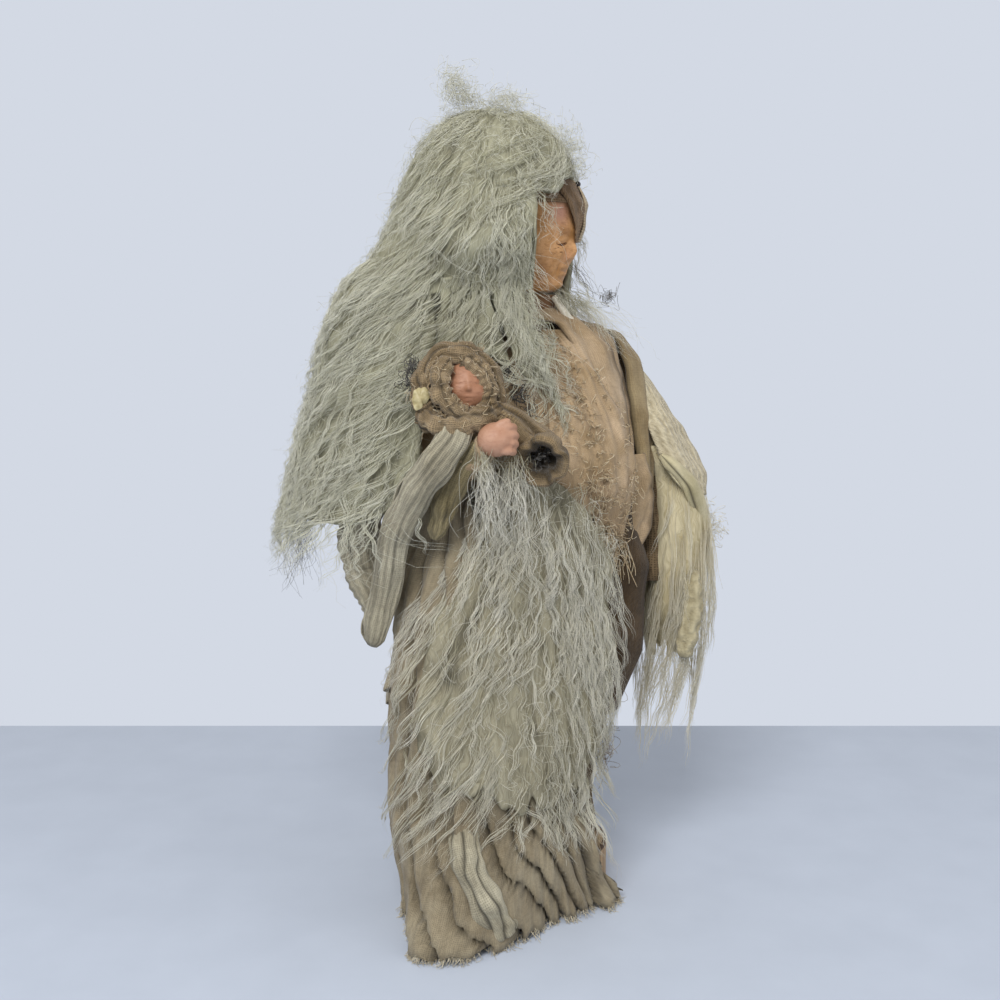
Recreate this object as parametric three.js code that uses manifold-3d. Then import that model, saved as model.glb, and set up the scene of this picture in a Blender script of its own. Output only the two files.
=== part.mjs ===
// A standing art doll: a clay-headed figure in layered gauze and fleece, holding a swaddled baby,
// carried on a wooden post in a turned wooden base. Millimetres, +Z up, the doll faces -Y and its
// right hand is on the -X side. The origin is the middle of the base's underside.
import * as THREE from "three";
import { mergeVertices } from "three/addons/utils/BufferGeometryUtils.js";
import Module from "manifold-3d";

const wasm = await Module();
wasm.setup();

// Clearances
const GAP = 0.4; // between pieces that touch
const LAYER_GAP = 0.8; // between one layer of cloth and the next
const SWING_GAP = 2.5; // between the body and what swings beside it

// Stand
const BASE_RADIUS = 45;
const BASE_HEIGHT = 30;
const BASE_CHAMFER = 3;
const FOOT_CHAMFER = 1.5;
const POST_RADIUS = 6;
const POST_IN_TORSO = 8; // how far the post reaches above the waist
const SOCKET_DEPTH = 22;
const TUBE_WALL = 2.5; // paper tube in the body that slips over the post
const TUBE_IN_TORSO = 14;

// Body core
const WAIST_HEIGHT = 206; // the hip padding ends and the torso begins
const SHOULDER_TOP = 346;
const NECK_RADIUS = 12;
const NECK_HEIGHT = 21;
const PEG_RADIUS = 5;
const PEG_IN_TORSO = 42;
const PEG_IN_HEAD = 36;
const WIRE_RADIUS = 1.5;

// Cloth
const HEM_CLEARANCE = 0.6; // hem above the table
const UNDERSKIRT_WALL = 2.2;
const OVERSKIRT_WALL = 2.8;
const PLEAT_COUNT = 12;
const PLEAT_DEPTH = 6;
const BODICE_WALL = 3;
const PANEL_WALL = 4.5;
const SLEEVE_WALL = 3;
const SLEEVE_DRAPE = 11; // folded drape under the right forearm, through its layers
const OVERSLEEVE_WALL = 4;
const FLEECE_DEPTH = 15;
const APRON_WALL = 10;

// Head
const HEAD_HEIGHT = 75;
const BEAD_RADIUS = 1.9;
const HEAD_TURN = THREE.MathUtils.degToRad(28); // towards the doll's left
const NOSE_DEPTH = 7;
const BAND_WALL = 2.4;
const BAND_HEIGHT = 15;
const LEAF_DROOP = 14; // loose end of the band below it
const WIG_DEPTH = 30; // wool over the skull at the sides
const TOPKNOT_HEIGHT = 24;

// Baby
const BABY_HEAD_RADIUS = 17;
const HOOD_WALL = 8;
const BUNDLE_RADIUS = 14;
const CHARM_RADIUS = 5;

// Shoulders
const SHOULDER_REACH = 62; // from the post to either shoulder joint
const SHOULDER_LEVEL = 326;
const ARM_RADIUS = 9;
const WRIST_RADIUS = 6;

/** A place on the figure, in shares of the shoulder's reach across and of its top up. */
function figure(x, y, z) {
  return new THREE.Vector3(x * SHOULDER_REACH, y * SHOULDER_REACH, z * SHOULDER_TOP);
}

/** A station of a table with its four reaches given their length. */
function scaled(station, unit) {
  const { right, left, front, back } = station;
  return { ...station, right: right * unit, left: left * unit, front: front * unit, back: back * unit };
}

// Levels worked out from those sizes
const TUBE_BOTTOM = BASE_HEIGHT + GAP;
const NECK_BOTTOM = SHOULDER_TOP + GAP;
const HEAD_BOTTOM = NECK_BOTTOM + NECK_HEIGHT + GAP;
const HEAD_TOP = HEAD_BOTTOM + HEAD_HEIGHT;
const NECK_PLANE = HEAD_BOTTOM + 3; // hair above it turns with the head, hair below stays

// Robe line: how far the stuffed body reaches from the post at each height, in shares of the
// shoulder's reach, and how much of the hem's spread the skirt has there
const ROBE = [
  { z: 0, right: 1.19, left: 0.39, front: 0.68, back: 0.58, spread: 1 },
  { z: BASE_HEIGHT + 12, right: 1.36, left: 0.41, front: 0.69, back: 0.68, spread: 0.45 },
  { z: 0.18 * SHOULDER_TOP, right: 1.45, left: 0.42, front: 0.56, back: 0.71, spread: 0.32 },
  { z: 0.405 * SHOULDER_TOP, right: 1.42, left: 0.48, front: 0.55, back: 0.74, spread: 0.06 },
  { z: 0.543 * SHOULDER_TOP, right: 1.16, left: 0.52, front: 0.58, back: 0.68, spread: 0 },
  { z: 0.65 * SHOULDER_TOP, right: 0.9, left: 0.6, front: 0.72, back: 0.61, spread: 0 },
  { z: 0.737 * SHOULDER_TOP, right: 0.84, left: 0.69, front: 0.86, back: 0.58, spread: 0 },
  { z: 0.798 * SHOULDER_TOP, right: 0.84, left: 0.73, front: 0.86, back: 0.56, spread: 0 },
  { z: 0.867 * SHOULDER_TOP, right: 0.87, left: 0.77, front: 0.76, back: 0.53, spread: 0 },
  { z: 0.925 * SHOULDER_TOP, right: 0.87, left: 0.81, front: 0.6, back: 0.47, spread: 0 },
  { z: 0.971 * SHOULDER_TOP, right: 0.65, left: 0.65, front: 0.42, back: 0.35, spread: 0 },
  { z: SHOULDER_TOP, right: 0.32, left: 0.32, front: 0.26, back: 0.24, spread: 0 },
].map((station) => scaled(station, SHOULDER_REACH));
const ROBE_SQUARENESS = 2.4;

// Corners of the spread hem, as angles from the front towards the doll's right
const HEM_CORNERS = [
  { angle: 68, reach: 0.66 * SHOULDER_REACH, spread: 20 },
  { angle: -29, reach: 0.19 * SHOULDER_REACH, spread: 18 },
];

// Head line: half width, and reach to the front and back of the peg, in shares of the head's height
const SKULL = [
  { z: 0, right: 0.16, left: 0.16, front: 0.14, back: 0.21 },
  { z: 0.07 * HEAD_HEIGHT, right: 0.23, left: 0.23, front: 0.26, back: 0.35 },
  { z: 0.17 * HEAD_HEIGHT, right: 0.28, left: 0.28, front: 0.3, back: 0.45 },
  { z: 0.35 * HEAD_HEIGHT, right: 0.32, left: 0.32, front: 0.3, back: 0.52 },
  { z: 0.53 * HEAD_HEIGHT, right: 0.35, left: 0.35, front: 0.3, back: 0.56 },
  { z: 0.69 * HEAD_HEIGHT, right: 0.36, left: 0.36, front: 0.32, back: 0.56 },
  { z: 0.84 * HEAD_HEIGHT, right: 0.32, left: 0.32, front: 0.26, back: 0.5 },
  { z: 0.95 * HEAD_HEIGHT, right: 0.21, left: 0.21, front: 0.13, back: 0.36 },
  { z: HEAD_HEIGHT, right: 0.05, left: 0.05, front: 0.03, back: 0.1 },
].map((station) => scaled(station, HEAD_HEIGHT));

// Joint places
const LEFT_SHOULDER = figure(1, -0.1, SHOULDER_LEVEL / SHOULDER_TOP);
const LEFT_ELBOW = figure(1.355, -0.323, 0.74);
const LEFT_WRIST = figure(1.22, -0.52, 0.555);
const RIGHT_SHOULDER = figure(-1, -0.03, SHOULDER_LEVEL / SHOULDER_TOP);
const RIGHT_ELBOW = figure(-1.597, 0.129, 0.763);
const RIGHT_WRIST = figure(-1.419, -0.677, 0.786);
const HAND_PLACE = figure(-1.339, -1.032, 0.838);

// Baby's place in the crook of the right arm
const HOOD_CENTRE = figure(-1.452, -0.516, 0.905);
const BABY_LOOK = new THREE.Vector3(-0.5, -0.8, 0.12).normalize();
const BUNDLE_START = figure(-1.226, -0.742, 0.876);
const BUNDLE_END = figure(-0.742, -1.065, 0.812);

const deg = THREE.MathUtils.degToRad;
const finishes = new Map();

/** One shared material for each finish. */
function finish(name, color, roughness, metalness = 0) {
  if (!finishes.has(name)) {
    const made = new THREE.MeshStandardMaterial({ color, roughness, metalness });
    made.name = name;
    finishes.set(name, made);
  }
  return finishes.get(name);
}

const WOOD = finish("turned_wood", 0x8a7352, 0.6);
const PAPER = finish("kraft_paper", 0xb49a72, 0.9);
const MUSLIN = finish("stuffed_muslin", 0xcbbd9f, 0.95);
const WIRE = finish("armature_wire", 0x8c8c90, 0.4, 1);
const GAUZE = finish("beige_gauze", 0xa99879, 0.95);
const NETTING = finish("tan_netting", 0xad9a78, 0.95);
const KNIT = finish("cream_knit", 0xcabd9d, 0.95);
const FLEECE = finish("curly_fleece", 0xa7a592, 0.9);
const BROWN_GAUZE = finish("brown_gauze", 0x6a4f33, 0.9);
const CLAY = finish("tan_clay", 0xb4814f, 0.55);
const PINK_CLAY = finish("pink_clay", 0xc79a80, 0.55);
const BONE = finish("bone", 0xd8d0bd, 0.4);
const SHELL = finish("gilt_shell", 0xd8c58a, 0.35);

/** Reaches at a height, between the stations of a table. */
function reachAt(stations, z) {
  const last = stations.length - 1;
  if (z <= stations[0].z) return stations[0];
  if (z >= stations[last].z) return stations[last];
  const i = stations.findIndex((s) => s.z > z) - 1;
  const [a, b] = [stations[i], stations[i + 1]];
  const t = (z - a.z) / (b.z - a.z);
  return Object.fromEntries(
    Object.keys(a).map((key) => [key, THREE.MathUtils.lerp(a[key], b[key], t)]),
  );
}

/** Radius of a four-reach superellipse; the angle runs from the front towards the doll's right. */
function sectionRadius(reach, angle, squareness) {
  const x = -Math.sin(angle);
  const y = -Math.cos(angle);
  const across = Math.abs(x) / (x < 0 ? reach.right : reach.left);
  const along = Math.abs(y) / (y < 0 ? reach.front : reach.back);
  return (across ** squareness + along ** squareness) ** (-1 / squareness);
}

const robeRadius = (z, angle) => sectionRadius(reachAt(ROBE, z), angle, ROBE_SQUARENESS);

/** How far the hem is drawn out to its corners at a height and angle. */
function hemFlare(z, a) {
  const share = reachAt(ROBE, z).spread;
  return HEM_CORNERS.reduce((sum, { angle, reach, spread }) => {
    const away = THREE.MathUtils.euclideanModulo(a - deg(angle) + Math.PI, 2 * Math.PI) - Math.PI;
    return sum + reach * share * Math.exp(-((away / deg(spread)) ** 2));
  }, 0);
}

/** A point at an angle from the front towards the doll's right, about a centre. */
function polar(radius, angle, z, x = 0, y = 0) {
  return new THREE.Vector3(x - radius * Math.sin(angle), y - radius * Math.cos(angle), z);
}

const steps = (count, from, to) =>
  Array.from({ length: count + 1 }, (_, i) => from + ((to - from) * i) / count);

/** Equal angles all the way round. */
const turns = (count) => steps(count - 1, 0, (2 * Math.PI * (count - 1)) / count);

/** Indexed faces as a geometry, turned outwards. */
function closedGeometry(points, faces) {
  let volume = 0;
  const cross = new THREE.Vector3();
  for (const [a, b, c] of faces) {
    volume += points[a].dot(cross.crossVectors(points[b], points[c]));
  }
  const turned = volume < 0 ? faces.map(([a, b, c]) => [a, c, b]) : faces;
  const made = new THREE.BufferGeometry().setFromPoints(points);
  made.setIndex(turned.flat());
  made.computeVertexNormals();
  return made;
}

const quad = (a, b, c, d) => [
  [a, b, c],
  [a, c, d],
];

/** A solid through rings of points, with its two ends closed. */
function loft(rings) {
  const width = rings[0].length;
  const points = rings.flat();
  const faces = [];
  for (let i = 0; i + 1 < rings.length; i++) {
    for (let j = 0; j < width; j++) {
      const k = (j + 1) % width;
      faces.push(...quad(i * width + j, i * width + k, (i + 1) * width + k, (i + 1) * width + j));
    }
  }
  for (const [ring, first] of [
    [rings[0], 0],
    [rings.at(-1), (rings.length - 1) * width],
  ]) {
    const middle = ring.reduce((sum, p) => sum.add(p), new THREE.Vector3()).divideScalar(width);
    points.push(middle);
    for (let j = 0; j < width; j++) {
      const [a, b] = [first + j, first + ((j + 1) % width)];
      faces.push(first ? [a, b, points.length - 1] : [b, a, points.length - 1]);
    }
  }
  return closedGeometry(points, faces);
}

/** A sheet with a wall: two grids of the same size, joined round their border. */
function sheet(outer, inner, closedRound = false) {
  const rows = outer.length;
  const width = outer[0].length;
  const points = [...outer.flat(), ...inner.flat()];
  const at = (side, i, j) => side * rows * width + i * width + (j % width);
  const faces = [];
  const columns = closedRound ? width : width - 1;
  for (let i = 0; i + 1 < rows; i++) {
    for (let j = 0; j < columns; j++) {
      faces.push(...quad(at(0, i, j), at(0, i, j + 1), at(0, i + 1, j + 1), at(0, i + 1, j)));
      faces.push(...quad(at(1, i, j), at(1, i + 1, j), at(1, i + 1, j + 1), at(1, i, j + 1)));
    }
  }
  for (let j = 0; j < columns; j++) {
    faces.push(...quad(at(0, 0, j + 1), at(0, 0, j), at(1, 0, j), at(1, 0, j + 1)));
    const end = rows - 1;
    faces.push(...quad(at(0, end, j), at(0, end, j + 1), at(1, end, j + 1), at(1, end, j)));
  }
  if (!closedRound) {
    for (let i = 0; i + 1 < rows; i++) {
      faces.push(...quad(at(0, i, 0), at(0, i + 1, 0), at(1, i + 1, 0), at(1, i, 0)));
      const end = width - 1;
      faces.push(...quad(at(0, i + 1, end), at(0, i, end), at(1, i, end), at(1, i + 1, end)));
    }
  }
  return closedGeometry(points, faces);
}

/** A geometry as a solid for joining and cutting. */
function solidOf(geometry) {
  const bare = geometry.index ? geometry.toNonIndexed() : geometry.clone();
  for (const key of Object.keys(bare.attributes)) {
    if (key !== "position") bare.deleteAttribute(key);
  }
  const merged = mergeVertices(bare, 1e-4);
  return new wasm.Manifold(
    new wasm.Mesh({
      numProp: 3,
      vertProperties: merged.attributes.position.array,
      triVerts: new Uint32Array(merged.index.array),
    }),
  );
}

/** A solid as a geometry; only its largest body is kept. */
function geometryOf(solid) {
  const bodies = solid.decompose().sort((a, b) => b.volume() - a.volume());
  const { vertProperties, triVerts, numProp } = bodies[0].getMesh();
  const points = [];
  for (let i = 0; i < vertProperties.length; i += numProp) {
    points.push(new THREE.Vector3(...vertProperties.slice(i, i + 3)));
  }
  const made = new THREE.BufferGeometry().setFromPoints(points);
  made.setIndex([...triVerts]);
  made.computeVertexNormals();
  return made;
}

const cut = (geometry, ...cutters) =>
  geometryOf(cutters.reduce((left, c) => left.subtract(solidOf(c)), solidOf(geometry)));
const join = (...geometries) =>
  geometryOf(geometries.map(solidOf).reduce((whole, g) => whole.add(g)));
const within = (geometry, other) => geometryOf(solidOf(geometry).intersect(solidOf(other)));

const turned = (profile, sides = 24) =>
  new THREE.LatheGeometry(
    profile.map(([r, z]) => new THREE.Vector2(r, z)),
    sides,
  ).rotateX(Math.PI / 2);

/** A plain round bar or bore along Z. */
const bar = (radius, low, high, sides = 20) =>
  turned([[0, low], [radius, low], [radius, high], [0, high]], sides);

/** A box between two corners. */
function block(low, high) {
  const size = new THREE.Vector3().subVectors(high, low);
  const middle = new THREE.Vector3().addVectors(low, high).multiplyScalar(0.5);
  return new THREE.BoxGeometry(size.x, size.y, size.z).translate(middle.x, middle.y, middle.z);
}

const FAR = 400; // half side of a cutting block, larger than the doll
const below = (z) => block(new THREE.Vector3(-FAR, -FAR, -FAR), new THREE.Vector3(FAR, FAR, z));
const above = (z) => block(new THREE.Vector3(-FAR, -FAR, z), new THREE.Vector3(FAR, FAR, 2 * FAR));

/** A round limb of varying radius along straight lines through points, with rounded ends. */
function limb(points, radii, sides = 9) {
  const path = new THREE.CatmullRomCurve3(points, false, "centripetal");
  const count = 2 * (points.length - 1);
  const frames = path.computeFrenetFrames(count, false);
  const rings = [];
  const ring = (share, grow, shift) => {
    const i = Math.round(share * count);
    const middle = path.getPoint(share).addScaledVector(frames.tangents[i], shift);
    const span = share * (radii.length - 1);
    const k = Math.min(Math.floor(span), radii.length - 2);
    const radius = THREE.MathUtils.lerp(radii[k], radii[k + 1], span - k) * grow;
    rings.push(
      turns(sides).map((a) =>
        middle
          .clone()
          .addScaledVector(frames.normals[i], radius * Math.cos(a))
          .addScaledVector(frames.binormals[i], radius * Math.sin(a)),
      ),
    );
  };
  ring(0, 0.55, -0.45 * radii[0]);
  for (let i = 0; i <= count; i++) ring(i / count, 1, 0);
  ring(1, 0.55, 0.45 * radii.at(-1));
  return loft(rings);
}

/** A wire along a path, as a swept round section. */
function wire(points, radius, sides = 3) {
  const section = new THREE.Shape().absarc(0, 0, radius, 0, 2 * Math.PI);
  const path = new THREE.CatmullRomCurve3(points, false, "centripetal");
  return new THREE.ExtrudeGeometry(section, {
    steps: 4 * (points.length - 1),
    curveSegments: sides,
    bevelEnabled: false,
    extrudePath: path,
  });
}

const ball = (centre, radius, sides = 14) =>
  new THREE.SphereGeometry(radius, sides, Math.round(sides * 0.6)).translate(
    centre.x,
    centre.y,
    centre.z,
  );

const doll = new THREE.Group();

/** Adds one named piece to the doll. */
function piece(name, geometry, material) {
  const mesh = new THREE.Mesh(geometry, material);
  mesh.name = name;
  doll.add(mesh);
}

// Stand
const socketBottom = BASE_HEIGHT - SOCKET_DEPTH;
const socketRadius = POST_RADIUS + GAP;
const postTop = WAIST_HEIGHT + POST_IN_TORSO;

function baseDisc() {
  return turned(
    [
      [0, 0],
      [BASE_RADIUS - FOOT_CHAMFER, 0],
      [BASE_RADIUS, FOOT_CHAMFER],
      [BASE_RADIUS, BASE_HEIGHT - BASE_CHAMFER],
      [BASE_RADIUS - 0.3 * BASE_CHAMFER, BASE_HEIGHT - 0.3 * BASE_CHAMFER],
      [BASE_RADIUS - BASE_CHAMFER, BASE_HEIGHT],
      [socketRadius, BASE_HEIGHT],
      [socketRadius, socketBottom],
      [0, socketBottom],
    ],
    28,
  );
}

function post() {
  const foot = socketBottom + GAP;
  const head = postTop;
  const rounding = 0.3 * POST_RADIUS;
  return turned([
    [0, foot],
    [POST_RADIUS, foot],
    [POST_RADIUS, head - rounding],
    [POST_RADIUS - rounding, head],
    [0, head],
  ]);
}

const tubeInner = POST_RADIUS + GAP;
const tubeOuter = tubeInner + TUBE_WALL;
const tubeTop = WAIST_HEIGHT + TUBE_IN_TORSO;

function postTube() {
  return turned([
    [tubeInner, TUBE_BOTTOM],
    [tubeOuter, TUBE_BOTTOM],
    [tubeOuter, tubeTop],
    [tubeInner, tubeTop],
    [tubeInner, TUBE_BOTTOM],
  ]);
}

// Body core
const AROUND = 18; // points round the body

/** The stuffed body as one solid, grown outwards; every layer of cloth is cut to it. */
function robeCore(grow = 0, around = AROUND, flare = 0) {
  const levels = [-20, ...ROBE.map((station) => station.z)];
  levels[levels.length - 1] += grow;
  return loft(
    levels.map((z) =>
      turns(around).map((a) => polar(robeRadius(z, a) + grow + flare * hemFlare(z, a), a, z)),
    ),
  );
}

const tubeBore = () =>
  join(bar(tubeOuter + GAP, 0, tubeTop + GAP), bar(POST_RADIUS + 2 * GAP, 0, postTop + GAP));
const pegBottom = SHOULDER_TOP - PEG_IN_TORSO;
const pegTop = HEAD_BOTTOM + PEG_IN_HEAD;
const WIRE_PATH = [
  new THREE.Vector3(SHOULDER_REACH - GAP, LEFT_SHOULDER.y, SHOULDER_LEVEL),
  new THREE.Vector3(SHOULDER_REACH * 0.4, 4 + PEG_RADIUS + WIRE_RADIUS, SHOULDER_LEVEL - 6),
  new THREE.Vector3(-SHOULDER_REACH * 0.4, 4 + PEG_RADIUS + WIRE_RADIUS, SHOULDER_LEVEL - 6),
  RIGHT_SHOULDER,
  RIGHT_ELBOW,
  RIGHT_WRIST,
];
const LEFT_WIRE_PATH = [LEFT_SHOULDER, LEFT_ELBOW, LEFT_WRIST].map((p) => p.clone());
LEFT_WIRE_PATH[0].add(new THREE.Vector3(0.4 * WIRE_RADIUS + GAP, 0, -WIRE_RADIUS - GAP));

const shoulderWire = (grow = 0) => wire(WIRE_PATH, WIRE_RADIUS + grow);
const leftWire = (grow = 0) => wire(LEFT_WIRE_PATH, WIRE_RADIUS + grow);

const hipForm = () =>
  cut(robeCore(), below(BASE_HEIGHT + GAP), above(WAIST_HEIGHT), tubeBore());

function torsoForm() {
  return cut(
    robeCore(),
    below(WAIST_HEIGHT + GAP),
    tubeBore(),
    bar(PEG_RADIUS + GAP, pegBottom - GAP, 2 * FAR),
    shoulderWire(GAP),
  );
}

const neckPeg = () => bar(PEG_RADIUS, pegBottom, pegTop);

const neckShape = (grow = 0) =>
  turned([
    [0, NECK_BOTTOM],
    [NECK_RADIUS + 3 + grow, NECK_BOTTOM],
    [NECK_RADIUS + grow, NECK_BOTTOM + 0.3 * NECK_HEIGHT],
    [NECK_RADIUS - 1 + grow, NECK_BOTTOM + 0.7 * NECK_HEIGHT],
    [NECK_RADIUS + grow, NECK_BOTTOM + NECK_HEIGHT],
    [0, NECK_BOTTOM + NECK_HEIGHT],
  ], 16);
const neck = () => cut(neckShape(), bar(PEG_RADIUS + GAP, 0, 2 * FAR));

// Right arm, fixed round the baby
const rightUpperArm = (grow = 0) =>
  limb(
    [RIGHT_SHOULDER, RIGHT_ELBOW].map((p, i) =>
      new THREE.Vector3().lerpVectors(RIGHT_SHOULDER, RIGHT_ELBOW, i ? 0.8 : 0.16),
    ),
    [ARM_RADIUS + grow, ARM_RADIUS - 1 + grow],
  );
const rightForearm = (grow = 0) =>
  limb(
    [0.22, 0.93].map((t) => new THREE.Vector3().lerpVectors(RIGHT_ELBOW, RIGHT_WRIST, t)),
    [ARM_RADIUS - 1 + grow, WRIST_RADIUS + grow],
  );

/** A loosely closed hand that points along -Y: a palm, a thumb and some modelled fingers. */
function handShape(grow = 0, fingerCount = 4) {
  const palm = new THREE.SphereGeometry(1, 9, 6).scale(10 + grow, 12 + grow, 6.5 + grow);
  const pitch = 19.2 / fingerCount;
  const fingers = steps(fingerCount - 1, 0, fingerCount - 1).map((i) => {
    const x = pitch * (i + 0.5) - 9.6;
    const reach = 2.4 * Math.sin((Math.PI * (i + 0.6)) / fingerCount);
    return limb(
      [new THREE.Vector3(x * 0.85, -7, 2.5), new THREE.Vector3(x, -16 - reach, -1)],
      [0.58 * pitch + grow, 0.46 * pitch + grow],
      5,
    );
  });
  const thumb = limb(
    [new THREE.Vector3(8, 2, 0), new THREE.Vector3(12, -6, -1), new THREE.Vector3(10, -13, -3)],
    [3.2 + grow, 2.7 + grow, 2.1 + grow],
    6,
  );
  const wrist = limb(
    [new THREE.Vector3(0, 6, 0), new THREE.Vector3(0, 13, 0)],
    [7 + grow, WRIST_RADIUS + grow],
    8,
  );
  return join(palm, ...fingers, thumb, wrist);
}

const handTurn = new THREE.Matrix4()
  .makeTranslation(HAND_PLACE.x, HAND_PLACE.y, HAND_PLACE.z)
  .multiply(new THREE.Matrix4().makeRotationFromEuler(new THREE.Euler(0.1, -1.05, 0.95, "ZYX")));
const rightHand = (grow = 0) =>
  cut(handShape(grow).applyMatrix4(handTurn), rightForearm(GAP), shoulderWire(GAP));

// Baby
const babyHeadCentre = HOOD_CENTRE.clone().addScaledVector(BABY_LOOK, 7);

function babyHead(grow = 0) {
  const nose = ball(
    babyHeadCentre.clone().addScaledVector(BABY_LOOK, BABY_HEAD_RADIUS - 0.6),
    2.4 + grow,
    8,
  );
  return join(ball(babyHeadCentre, BABY_HEAD_RADIUS + grow, 16), nose);
}

/** The hood: a soft ball of rolled gauze with a round window for the face. */
function babyHood(grow = 0) {
  const radius = BABY_HEAD_RADIUS + HOOD_WALL + grow;
  const around = 14;
  const rings = steps(7, deg(4), deg(176)).map((t) =>
    turns(around).map((a) => {
      const roll = 1 + 0.035 * Math.sin(3 * a + 5 * t) + 0.02 * Math.sin(7 * t);
      const r = radius * roll;
      return new THREE.Vector3(
        HOOD_CENTRE.x + r * Math.sin(t) * Math.cos(a),
        HOOD_CENTRE.y + r * Math.sin(t) * Math.sin(a),
        HOOD_CENTRE.z + 1.06 * r * Math.cos(t),
      );
    }),
  );
  return loft(rings);
}

function hoodWithWindow() {
  const window = limb(
    [babyHeadCentre, babyHeadCentre.clone().addScaledVector(BABY_LOOK, 2 * BABY_HEAD_RADIUS)],
    [0.72 * BABY_HEAD_RADIUS, BABY_HEAD_RADIUS],
    14,
  );
  return cut(babyHood(), babyHead(GAP), window, babyBundle(GAP), rightForearm(GAP));
}

/** The rolled band of gauze under the baby's chin. */
function chinWrap() {
  const middle = HOOD_CENTRE.clone().add(new THREE.Vector3(-1, -4, -14));
  const ring = new THREE.TorusGeometry(BABY_HEAD_RADIUS + 3.5, 7, 7, 15)
    .applyMatrix4(new THREE.Matrix4().makeRotationFromEuler(new THREE.Euler(-0.25, 0.3, 0)))
    .translate(middle.x, middle.y, middle.z);
  return cut(
    ring,
    babyHood(GAP),
    babyHead(GAP),
    babyBundle(GAP),
    rightHand(GAP),
    rightForearm(GAP),
    rightUpperArm(GAP),
    robeCore(bodiceOuter + LAYER_GAP),
  );
}

/** The swaddled body, a tube of gauze that ends in a loose open fold. */
function babyBundle(grow = 0) {
  const middle = new THREE.Vector3().lerpVectors(BUNDLE_START, BUNDLE_END, 0.55);
  middle.z -= 2;
  const body = limb(
    [BUNDLE_START, middle, BUNDLE_END],
    [BUNDLE_RADIUS + grow, BUNDLE_RADIUS - 1 + grow, BUNDLE_RADIUS - 2 + grow],
    12,
  );
  return body;
}

function openBundle() {
  const along = new THREE.Vector3().subVectors(BUNDLE_END, BUNDLE_START).normalize();
  const mouth = limb(
    [BUNDLE_END.clone().addScaledVector(along, -3), BUNDLE_END.clone().addScaledVector(along, 20)],
    [0.45 * BUNDLE_RADIUS, 0.7 * BUNDLE_RADIUS],
    12,
  );
  return cut(babyBundle(), mouth, babyHead(GAP), rightHand(GAP), bodiceEnvelope());
}

function hoodCharm() {
  const at = HOOD_CENTRE.clone().add(new THREE.Vector3(-23.5, -6.5, -10));
  const out = new THREE.Vector3().subVectors(at, HOOD_CENTRE).normalize();
  const flake = new THREE.Shape();
  flake.absellipse(0, 0, CHARM_RADIUS, 0.72 * CHARM_RADIUS, 0, 2 * Math.PI);
  const facing = new THREE.Quaternion().setFromUnitVectors(new THREE.Vector3(0, 0, 1), out);
  const made = new THREE.ExtrudeGeometry(flake, {
    depth: 1.4,
    bevelEnabled: false,
    curveSegments: 12,
  });
  made.applyQuaternion(facing).translate(at.x + 2.4 * out.x, at.y + 2.4 * out.y, at.z + 2.4 * out.z);
  return cut(made, babyHood(GAP), chinWrap());
}

// Robe
const pleatLine = (z, a) => {
  const depth = PLEAT_DEPTH * (1 - THREE.MathUtils.smoothstep(z, 40, WAIST_HEIGHT + 6));
  return depth * (0.5 + 0.5 * Math.cos(PLEAT_COUNT * a));
};

const skirtInner = UNDERSKIRT_WALL + GAP + LAYER_GAP;
const skirtEnvelope = skirtInner + PLEAT_DEPTH + OVERSKIRT_WALL;
const openSide = deg(285); // the wrapped skirt is short here and shows the base

/** Height of the hem: on the table all round, lifted over the base on the doll's left. */
function hemHeight(a, low) {
  const away = Math.abs(THREE.MathUtils.euclideanModulo(a - openSide + Math.PI, 2 * Math.PI) - Math.PI);
  return THREE.MathUtils.lerp(BASE_HEIGHT + 3, low, THREE.MathUtils.smoothstep(away, deg(22), deg(52)));
}

/** The pleated skirt from its hem to the waist, its rows at the stations of the robe line. */
function skirtLayer(high) {
  const columns = turns(4 * PLEAT_COUNT);
  const levels = ROBE.map((station) => station.z).filter((z) => z > BASE_HEIGHT + 4 && z < high);
  const grid = (extra) =>
    [null, ...levels, high].map((level) =>
      columns.map((a) => {
        const z = level ?? hemHeight(a, HEM_CLEARANCE);
        return polar(robeRadius(z, a) + skirtInner + pleatLine(z, a) + hemFlare(z, a) + extra, a, z);
      }),
    );
  return sheet(grid(OVERSKIRT_WALL), grid(0), true);
}

const baseClear = () => bar(BASE_RADIUS + LAYER_GAP, -1, BASE_HEIGHT + GAP, 28);
const underskirt = () =>
  cut(
    robeCore(GAP + UNDERSKIRT_WALL),
    robeCore(GAP),
    below(HEM_CLEARANCE + 6),
    above(WAIST_HEIGHT),
    baseClear(),
  );
const overskirt = () => cut(skirtLayer(WAIST_HEIGHT - 4), baseClear());

const bodiceOuter = GAP + BODICE_WALL;
const bodiceBottom = WAIST_HEIGHT + GAP;
const bodiceEnvelope = (grow = LAYER_GAP) => robeCore(bodiceOuter + grow);

const bodice = () =>
  cut(
    robeCore(bodiceOuter),
    robeCore(GAP),
    below(bodiceBottom),
    above(SHOULDER_TOP - 2),
    shoulderWire(GAP),
  );

/** A layer that lies on the body between two angles, from a low to a high level. */
function wrapLayer({ from, to, low, high, inner, wall, columns = 10, rows = 6, fold = () => 0, flare = 0 }) {
  const angles = steps(columns, deg(from), deg(to));
  const grid = (extra) =>
    steps(rows, 0, 1).map((t) =>
      angles.map((a) => {
        const s = (a - deg(from)) / (deg(to) - deg(from));
        const z = THREE.MathUtils.lerp(low(s), high(s), t);
        const reach = robeRadius(z, a) + inner + flare * hemFlare(z, a);
        return polar(reach + extra * (1 + fold(s, t)), a, z);
      }),
    );
  const core = robeCore(inner - LAYER_GAP / 2, flare ? 4 * PLEAT_COUNT : AROUND, flare);
  return cut(sheet(grid(wall), grid(0)), core);
}

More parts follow.
